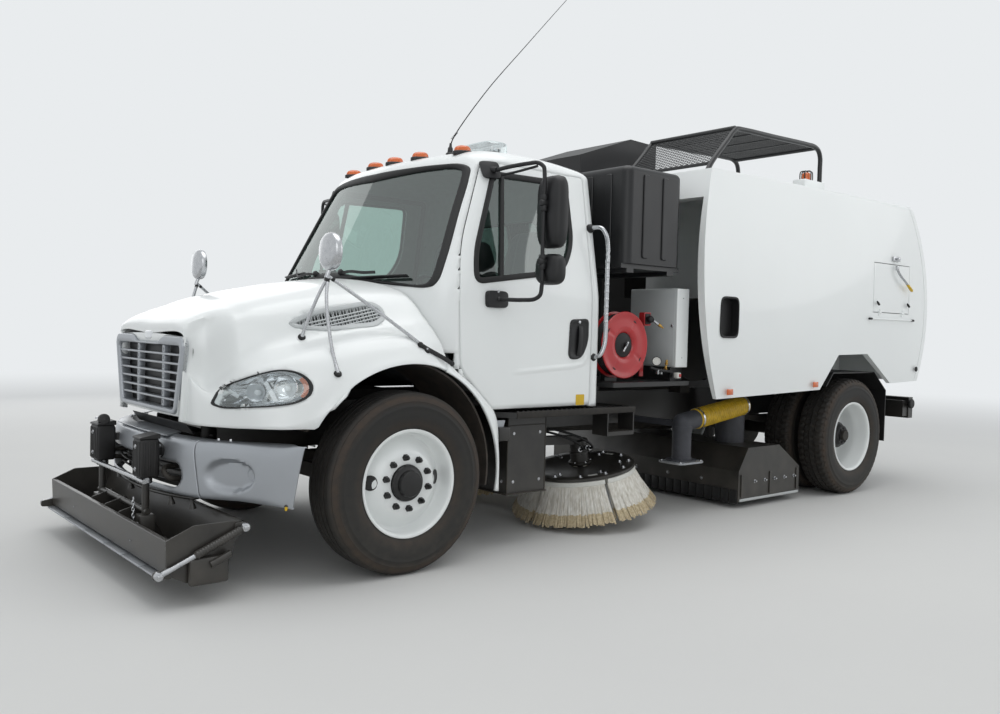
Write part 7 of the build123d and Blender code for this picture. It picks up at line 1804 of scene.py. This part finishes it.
def beaconParts():
    # box, a turned amber lens and three hoops bent over it, each at its own angle about the lens
    parts = [blockPart((-4.18, 1.01, 2.598), (-3.88, 1.13, 2.68), 0.01, 0, 3)]
    lens = [(0.036, 0.0), (0.042, 0.004), (0.042, 0.01), (0.038, 0.014), (0.038, 0.04), (0.034, 0.056), (0.022, 0.066),
            (0.001, 0.07)]
    parts.append(lathePart(lens, (-3.99, 1.07, 2.68), (0, 0, 1), 1, 32))
    k, h = np.array(((-1, 0.0), (-1, 0.05), (-0.9, 0.072), (-0.6, 0.079), (0, 0.08), (0.6, 0.079), (0.9, 0.072),
                     (1, 0.05), (1, 0.0))).T
    for turn in (0.3, 1.35, 2.4):
        c, s = math.cos(turn), math.sin(turn)
        hoop = smoothCurve(xyz(0.052 * k * c, 0.052 * k * s, h) + (-3.99, 1.07, 2.679), 30)
        parts.append(tubePart(hoop, 0.0045, 2, 8, (-s, c, 0.01)))
    return parts


makePiece("beaconUnit", beaconParts(), [whitePaint, amberLens, blackPaint], "hopper", "roof_beacon")


def hopperTrim():
    # slot sleeve on the left side only, whose black back 62 mm in closes the opening as painted shade of the hopper's
    # dark inside, and side reflectors and the drain plug on both
    look = hopperLook
    y = look["sideY"]
    x, z = look["slot"]
    flat = superOutline(*look["slotHalf"], 5.5, 56)
    # the sleeve's last rows close the slot with a black back: painted shade of the hopper's inside
    sleeve = ringPart([xyz(x + flat[:, 0] * k, y + h, z + flat[:, 1] * k) for k, h in
                       ((1.05, -0.002), (1.05, 0.004), (1.0, 0.006), (0.955, 0.003), (0.95, -0.06), (0.5, -0.062),
                        (0.03, -0.062))])
    parts = [blockPart((x - 0.036, y - 0.004, z - 0.022), (x + 0.036, y + 0.006, z + 0.022), 0.004, 1)
             for x, z in look["reflectors"]]
    parts.append(lathePart([(0.024, -0.002), (0.024, 0.004), (0.019, 0.006), (0.017, 0.002), (0.001, 0.001)],
                           (-5.7, y, 1.098), (0, 1, 0), 0, 24))
    return [sleeve] + bothSides(parts)


makePiece("hopperTrim", hopperTrim(), [blackRubber, amberLens], "hopper")


def strikerParts():
    # catch above the hatch, and the hinge bar below it with a knuckle at each end
    parts = [blockPart((-5.29, 1.249, 2.082), (-5.165, 1.262, 2.126), 0.004),
             blockPart((-5.24, 1.258, 2.092), (-5.205, 1.29, 2.118), 0.005)]
    (x0, z0), (x1, z1) = hopperLook["bar"]
    parts.append(tubePart([(x0, 1.2585, z0), (x1, 1.2585, z1)], 0.0075, 1, 14))
    for x, z, way in ((x0, z0, 1), (x1, z1, -1)):
        parts.append(tubePart([(x + way * 0.03, 1.2595, z), (x - way * 0.012, 1.2595, z)], 0.01, 2, 16))
    return parts


makePiece("hatchStriker", strikerParts(), [plated, whitePaint, blackRubber], "hopper")


def hatchParts():
    # toggle lever with its dipped grip, and the door's two black latch pins
    y = 1.276
    parts = [blockPart((-5.232, 1.262, 2.0), (-5.198, 1.284, 2.042), 0.004)]
    lever = smoothCurve([(-5.214, y, 2.03), (-5.222, y + 0.004, 1.99), (-5.262, y + 0.01, 1.95),
                         (-5.33, y + 0.012, 1.912), (-5.4, y + 0.012, 1.872)], 26)
    parts.append(sweepPart(lever, superOutline(0.0055, 0.012, 3, 14), 0, up=(0, 1, 0.05)))
    grip = [(x, y + 0.012, z) for x, z in ((-5.385, 1.881), (-5.392, 1.877), (-5.47, 1.831), (-5.486, 1.822))]
    parts.append(tubePart(grip, [0.01, 0.0125, 0.0135, 0.006], 1, 16))
    pin = [(0.001, 0.04), (0.008, 0.039), (0.01, 0.034), (0.01, 0.008), (0.007, 0.006), (0.007, -0.006)]
    return parts + [lathePart(pin, (x, 1.268, 1.702), (-0.6, 0.05, -0.5), 2, 16) for x in (-4.885, -5.445)]


makePiece("hatchFittings", hatchParts(), [plated, yellowGrip, blackRubber, whitePaint], "hatch")


def headParts():
    # spring bolts, scuffed skid, rubber skirt fingers and angle stiffeners on the pickup head
    parts = []
    for x in hopperLook["boltX"]:
        parts += boltParts((x, 1.06, hopperLook["boltZ"]), (0, 1, 0), 0.01, 0.02, 1)
    parts.append(sweepPart([(-3.215, 1.062, 0.066), (-4.045, 1.062, 0.066)], superOutline(0.006, 0.011, 3, 12), 2))
    parts += [sidePlate([(x - 0.012, 0.09), (x + 0.012, 0.09), (x + 0.012, 0.27), (x - 0.012, 0.27)], 0.004, 1.07, 0.01,
                        steps=2) for x in np.linspace(-3.24, -4.02, 3)]
    parts += [blockPart((-3.206, y, 0.04), (-3.19, y + 0.072, 0.15), 0.006, 3) for y in np.linspace(-1.02, 0.98, 26)]
    for y in (-0.7, -0.35, 0.0, 0.35, 0.7):
        parts += boltParts((-3.2, y, 0.2), (1, 0, 0), 0.01, 0.012, 1)
    return parts


makePiece("pickupHeadTrim", headParts(), [blackPaint, plated, greyCoatAndPaintedShade, blackRubber], "chassis")


def tailParts():
    # round lamps in grommets on the bumper's ends and side buffers
    grommet = [(0.046, -0.003), (0.046, 0.004), (0.04, 0.007), (0.037, 0.004)]
    lens = [(0.037, 0.003), (0.034, 0.009), (0.024, 0.013), (0.001, 0.015)]
    buffer = [(0.02, 0.0), (0.02, 0.012), (0.042, 0.014), (0.046, 0.02), (0.046, 0.034), (0.04, 0.04), (0.001, 0.042)]
    parts = []
    for side in (-1, 1):
        for y, number in ((0.915, 1), (1.005, 1), (1.09, 2)):
            parts += [lathePart(profile, (-5.871, side * y, 0.722), (-1, 0, 0), slot, 32)
                      for profile, slot in ((grommet, 0), (lens, number))]
        parts.append(lathePart(buffer, (-5.79, side * 1.149, 0.76), (0, side, 0), 0, 30))
    return parts


makePiece("tailLamps", tailParts(), [blackRubber, redLens, whiteLens], "chassis")


def tailSkin(y, z):
    # x of the tail door's outer face at y and z, found by a ray from behind
    _, spot, _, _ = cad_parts["rear_door"].ray_cast(Vector((-5, y, z)), Vector((1, 0, 0)))
    return spot[0] - fa


def doorRibs():
    # pressed ribs across the tail door and four hinge blocks with bolts, each set on the door's own sloping skin
    parts = []
    for z in np.linspace(1.25, 2.35, 4):
        x = tailSkin(0.3, z) - 0.002
        parts.append(sweepPart([(x, -1.02, z), (x, 1.02, z)], superOutline(0.03, 0.012, 2.4, 18), 0, up=(1, 0, 0)))
    for side in (-1.15, 1.15):
        for z in (1.1, 1.6):
            x = tailSkin(side, z)
            parts.append(blockPart((x - 0.022, side - 0.03, z - 0.045), (x + 0.002, side + 0.03, z + 0.045), 0.008, 1))
            parts += boltParts((x - 0.022, side, z), (-1, 0, 0), 0.012, 0.009, 1)
    return parts


makePiece("tailDoorRibs", doorRibs(), [whitePaint, plated], "tail_door")
print("stage: hopper")

# ---- wheels and tyres
wheelLook = {
    "treadRadius": 0.508,
    "treadHalf": 0.098,
    "steerGrooves": (-0.066, -0.022, 0.022, 0.066),
    "driveGrooves": (-0.05, 0.0, 0.05),
    "grooveHalf": 0.006,
    "grooveDepth": 0.013,
    "lugs": 56,
    "around": 336,
    "studCircle": 0.143,
    "frontY": 1.046,
    "rearOuterY": 1.066,
    "rearInnerY": 0.734,
    # profiles: radius and distance outwards from the wheel's middle
    "sidewall": ((0.289, 0.104), (0.301, 0.11), (0.309, 0.118), (0.326, 0.127), (0.346, 0.134), (0.372, 0.1395),
                 (0.398, 0.14), (0.42, 0.138), (0.424, 0.1395), (0.43, 0.1392), (0.434, 0.1365), (0.452, 0.132),
                 (0.456, 0.1332), (0.46, 0.131), (0.476, 0.1235), (0.488, 0.118), (0.4885, 0.114), (0.494, 0.111),
                 (0.5, 0.105), (0.5035, 0.0985)),
    "rimEdge": ((0.29, 0.104), (0.302, 0.113), (0.303, 0.118), (0.2985, 0.1215), (0.2905, 0.1205), (0.2845, 0.116),
                (0.2805, 0.106), (0.278, 0.09)),
    "frontDish": ((0.277, 0.06), (0.2745, 0.036), (0.269, 0.022), (0.26, 0.016), (0.248, 0.02), (0.23, 0.034),
                  (0.206, 0.058), (0.186, 0.076), (0.176, 0.083), (0.168, 0.086), (0.11, 0.086), (0.103, 0.083),
                  (0.101, 0.06), (0.101, 0.02)),
    "rearDish": ((0.2765, 0.05), (0.272, 0.02), (0.264, 0.0), (0.262, -0.03), (0.2615, -0.08), (0.256, -0.112),
                 (0.242, -0.136), (0.22, -0.147), (0.19, -0.151), (0.115, -0.151)),
    "barrel": ((0.29, -0.104), (0.302, -0.113), (0.303, -0.118), (0.295, -0.1205), (0.278, -0.11),
               (0.274, -0.04), (0.274, 0.02)),
    "frontHub": ((0.1005, 0.03), (0.1005, 0.098), (0.096, 0.103), (0.079, 0.105), (0.0745, 0.109), (0.0735, 0.128),
                 (0.068, 0.136), (0.04, 0.1415), (0.0, 0.1425)),
    "rearHub": ((0.1145, -0.151), (0.1145, -0.02), (0.109, -0.012), (0.096, -0.009), (0.09, 0.0),
                (0.088, 0.022), (0.08, 0.03), (0.0, 0.032)),
    "nut": ((0.0205, 0.0), (0.0205, 0.005), (0.0165, 0.006), (0.0165, 0.022), (0.013, 0.028)),
    "stud": ((0.009, 0.036), (0.0, 0.037)),
}


def tyrePart(centre, grooves, lugs):
    # section: bead, sidewall with its moulded rings, then the crown r = R - 0.004 (w / half)^2 with square
    # grooves; lugs cut the crown by a share of each pitch, skewed along the width
    look = wheelLook
    half, wide = look["grooveHalf"], look["treadHalf"] - 0.0005
    crown = [wide, -wide]
    for middle in grooves:
        crown += [middle + half, middle + half - 0.001, middle - half + 0.001, middle - half]
        if lugs:
            crown.append(middle - half - 0.018)
    crown = np.array(sorted(crown, reverse=True))
    radius = look["treadRadius"] - 0.004 * (crown / look["treadHalf"]) ** 2
    deep = np.min(np.abs(crown[:, None] - grooves), axis=1) < half - 0.0005
    wall = np.array(look["sidewall"])
    profile = np.vstack([wall, xyz(radius - look["grooveDepth"] * deep, crown), (wall * (1, -1))[::-1]])
    turn = np.linspace(0, 2 * np.pi, look["around"], endpoint=False)
    r, w = profile[:, :1], profile[:, 1:]
    if lugs:
        phase = (turn * lugs / (2 * np.pi) + np.where(np.abs(w) > 0.056, 0.5, 0) + 3.5 * np.abs(w)) % 1
        r = r - np.where((phase < 0.26) & (r > 0.487) & (np.abs(w) > 0.012), look["grooveDepth"] * 0.8, 0)
    x, y, z = centre
    return ringPart(xyz(x + r * np.cos(turn), y + w, z + r * np.sin(turn)), capEnd=False)


def around(centre, radius, turn, out=0.0):
    # spot on a circle about a wheel's axle: C + r (cos t, 0, sin t), moved outwards
    return centre + radius * np.array([np.cos(turn), 0, np.sin(turn)]) + (0, out, 0)


def studParts(centre, side, sides, length=0.0):
    # ten nuts on the stud circle, each a lathe of the nut's profile with its stud drawn out by length
    profile = wheelLook["nut"] + tuple((r, h + length) for r, h in wheelLook["stud"])
    return [lathePart(profile, around(centre, wheelLook["studCircle"], 2 * np.pi * (k + 0.35) / 10),
                      (0, side, 0), 1, sides)
            for k in range(10)]


def frontWheel(side):
    # dished rim, barrel and hub as lathes about the axle, ten nuts and two leaning hand holes in the disc
    look, out = wheelLook, (0, side, 0)
    centre = np.array([0, side * look["frontY"], place["axleZ"]])
    parts = [lathePart(look["rimEdge"] + look["frontDish"], centre, out, 0, 96),
             lathePart(look["barrel"], centre, out, 0, 64), lathePart(look["frontHub"], centre, out, 1, 48)]
    parts += studParts(centre + (0, side * 0.0855, 0), side, 6)
    hole = ((0.0425, -0.001), (0.0405, 0.003), (0.037, 0.0034), (0.035, 0.0005), (0.0, 0.0004))
    return parts + [lathePart(hole, centre + (way * 0.2145, side * 0.0505, 0.012), (way * 0.75, side, 0), 1, 40)
                    for way in (1, -1)]


def rearWheel(side):
    # two dished rims back to back, the hub with its eight bolts, ten nuts with long studs and two valve holes
    look, out = wheelLook, (0, side, 0)
    x = place["rearAxleX"] - fa
    outer, inner = (np.array([x, side * look[which], place["axleZ"]]) for which in ("rearOuterY", "rearInnerY"))
    parts = []
    for centre, way, sides in ((outer, side, 96), (inner, -side, 64)):
        parts += [lathePart(look["rimEdge"] + look["rearDish"], centre, (0, way, 0), 0, sides),
                  lathePart(look["barrel"], centre, (0, way, 0), 0, 64)]
    parts.append(lathePart(look["rearHub"], outer, out, 1, 48))
    parts += studParts(outer - (0, side * 0.1505, 0), side, 12, 0.03)
    bolt = ((0.011, 0), (0.011, 0.008), (0.009, 0.01), (0, 0.01))
    parts += [lathePart(bolt, around(outer, 0.062, 2 * np.pi * (k + 0.2) / 8, side * 0.0305), out, 1, 6)
              for k in range(8)]
    hole = ((0.034, -0.001), (0.033, 0.0022), (0.0, 0.0022))
    return parts + [lathePart(hole, outer + (way * 0.2, -side * 0.1495, 0.0), out, 1, 32) for way in (1, -1)]


def markRings(piece, axleX):
    # point attribute ring: how near a point is to the brown, scuffed bands of the sidewall,
    # 0.9 exp(-((r - 0.472) / 0.02)^2) + 0.5 exp(-((r - 0.33) / 0.02)^2)
    spots = np.empty(len(piece.data.vertices) * 3)
    piece.data.vertices.foreach_get("co", spots)
    x, _, z = spots.reshape(-1, 3).T
    radius = np.hypot(x - axleX, z - place["axleZ"])
    ring = 0.9 * np.exp(-((radius - 0.472) / 0.02) ** 2) + 0.5 * np.exp(-((radius - 0.33) / 0.02) ** 2)
    piece.data.attributes.new("ring", "FLOAT", "POINT").data.foreach_set("value", ring)


for side, word in ((1, "left"), (-1, "right")):
    title = word.title()
    frontBody, rearBody = "front_" + word + "_wheel", "rear_" + word + "_wheels"
    front = tyrePart((0, side * wheelLook["frontY"], place["axleZ"]), wheelLook["steerGrooves"], 0)
    markRings(makePiece("frontTyre" + title, [front], [tyreRubber], frontBody, "tyre_front_" + word, 35), fa)
    rear = [tyrePart((place["rearAxleX"] - fa, side * wheelLook[which], place["axleZ"]), wheelLook["driveGrooves"],
                     wheelLook["lugs"]) for which in ("rearOuterY", "rearInnerY")]
    markRings(makePiece("rearTyres" + title, rear, [tyreRubber], rearBody, "tyres_rear_" + word, 35),
              place["rearAxleX"])
    makePiece("frontRim" + title, frontWheel(side), [whitePaint, wheelBlack], frontBody,
              "rim_front_" + word)
    makePiece("rearRims" + title, rearWheel(side), [whitePaint, wheelBlack], rearBody,
              "rims_rear_" + word)
print("stage: wheels")

# ---- floor, camera and lights
view = {
    "cameraAt": (5.075, 5.26, 1.373),
    "yaw": 230.03, "pitch": -1.77, "roll": 1.51,
    "lensMm": 32.44,
    "floorHex": "#D3D3D1", "farHex": "#E9ECEE", "fadeFrom": 4.5, "fadeTo": 20.0,
    "skyHex": "#E4E7EA", "skyStrength": 0.74,
}


def stand(name, data):
    # an object of the scene that holds the given data
    made = bpy.data.objects.new(name, data)
    bpy.context.scene.collection.objects.link(made)
    return made


# Floor: a flat disc in rings that widen outwards
rings, turns = np.meshgrid(np.geomspace(0.5, 90, 24), np.linspace(0, 2 * np.pi, 72, endpoint=False), indexing="ij")
points, faces, _ = ringPart(xyz(rings * np.cos(turns), rings * np.sin(turns), -0.0005), 0, True, False)
floorMesh = bpy.data.meshes.new("paleFloor")
floorMesh.from_pydata(points.tolist(), [], faces)
floor = stand("paleFloor", floorMesh)
concrete = finish("paleConcrete", view["floorHex"], "#DADAD7", 1800, (0.75, 0.9), 14, 0.4)
floorMesh.materials.append(concrete)
# towards its far rim the floor turns into the backdrop's own light, so that no horizon shows
tree = concrete.node_tree
output = next(node for node in tree.nodes if node.type == "OUTPUT_MATERIAL")
surface = output.inputs["Surface"].links[0].from_socket
spot = addNode(tree, "TexCoord")
away = addNode(tree, "VectorMath", {"operation": "LENGTH"}, {0: (spot, "Object")})
share = addNode(tree, "MapRange", {"interpolation_type": "SMOOTHSTEP", "From Min": view["fadeFrom"],
                                   "From Max": view["fadeTo"]}, {"Value": (away, "Value")})
glow = addNode(tree, "Emission", {"Color": linear(view["farHex"]), "Strength": 1.0})
blend = addNode(tree, "MixShader", None, {0: (share, "Result"), 2: (glow, "Emission")})
tree.links.new(surface, blend.inputs[1])
tree.links.new(blend.outputs["Shader"], output.inputs["Surface"])

yaw, pitch, roll = (math.radians(view[key]) for key in ("yaw", "pitch", "roll"))
ahead = Vector((math.cos(yaw) * math.cos(pitch), math.sin(yaw) * math.cos(pitch), math.sin(pitch)))
level = ahead.cross(Vector((0, 0, 1))).normalized()
rise = level.cross(ahead)
right = math.cos(roll) * level + math.sin(roll) * rise
above = -math.sin(roll) * level + math.cos(roll) * rise
cameraData = bpy.data.cameras.new("camera")
cameraData.lens = view["lensMm"]
cameraData.sensor_width = 36
cameraData.clip_end = 300
camera = stand("camera", cameraData)
aimed = Matrix((right, above, -ahead)).transposed().to_4x4()
camera.matrix_world = Matrix.Translation(Vector(view["cameraAt"])) @ aimed
bpy.context.scene.camera = camera

# Softboxes: a broad one overhead, one at the front left, and weaker ones behind and on the far side
softboxes = (
    # name, place, aim, size, watts
    ("overhead", (0.5, 1.0, 9.0), (0.0, 0.0, 0.0), 9.0, 330),
    ("frontLeft", (7.5, 8.0, 5.0), (0.5, 0.0, 1.0), 6.0, 90),
    ("rearLeft", (-8.0, 6.5, 4.5), (-1.0, 0.0, 1.2), 6.0, 90),
    ("farSide", (1.0, -10.0, 5.0), (0.0, 0.0, 1.0), 8.0, 120),
)
for name, at, aim, size, watts in softboxes:
    lampData = bpy.data.lights.new(name, "AREA")
    lampData.shape = "DISK"
    lampData.size = size
    lampData.energy = watts
    lamp = stand(name, lampData)
    lamp.location = at
    lamp.rotation_euler = (Vector(aim) - Vector(at)).to_track_quat("-Z", "Y").to_euler()

# Sky: its own colour lights the truck, and the backdrop's pale tone is what the camera and mirrors see
world = bpy.data.worlds.new("softSky")
bpy.context.scene.world = world
world.use_nodes = True
skyTree = world.node_tree
sky = skyTree.nodes["Background"]
sky.inputs["Color"].default_value = linear(view["skyHex"])
sky.inputs["Strength"].default_value = view["skyStrength"]
seen = addNode(skyTree, "Background", {"Color": linear(view["farHex"]), "Strength": 1.0})
paths = addNode(skyTree, "LightPath")
direct = addNode(skyTree, "Math", {"operation": "MAXIMUM"},
                 {0: (paths, "Is Camera Ray"), 1: (paths, "Is Transmission Ray")})
glossy = addNode(skyTree, "Math", {"operation": "MAXIMUM"}, {0: (direct, "Value"), 1: (paths, "Is Glossy Ray")})
either = addNode(skyTree, "MixShader", None, {0: (glossy, "Value"), 1: (sky, "Background"), 2: (seen, "Background")})
skyTree.links.new(either.outputs["Shader"], skyTree.nodes["World Output"].inputs["Surface"])
bpy.context.scene.view_settings.view_transform = "Standard"
print("stage: floor, camera and lights")
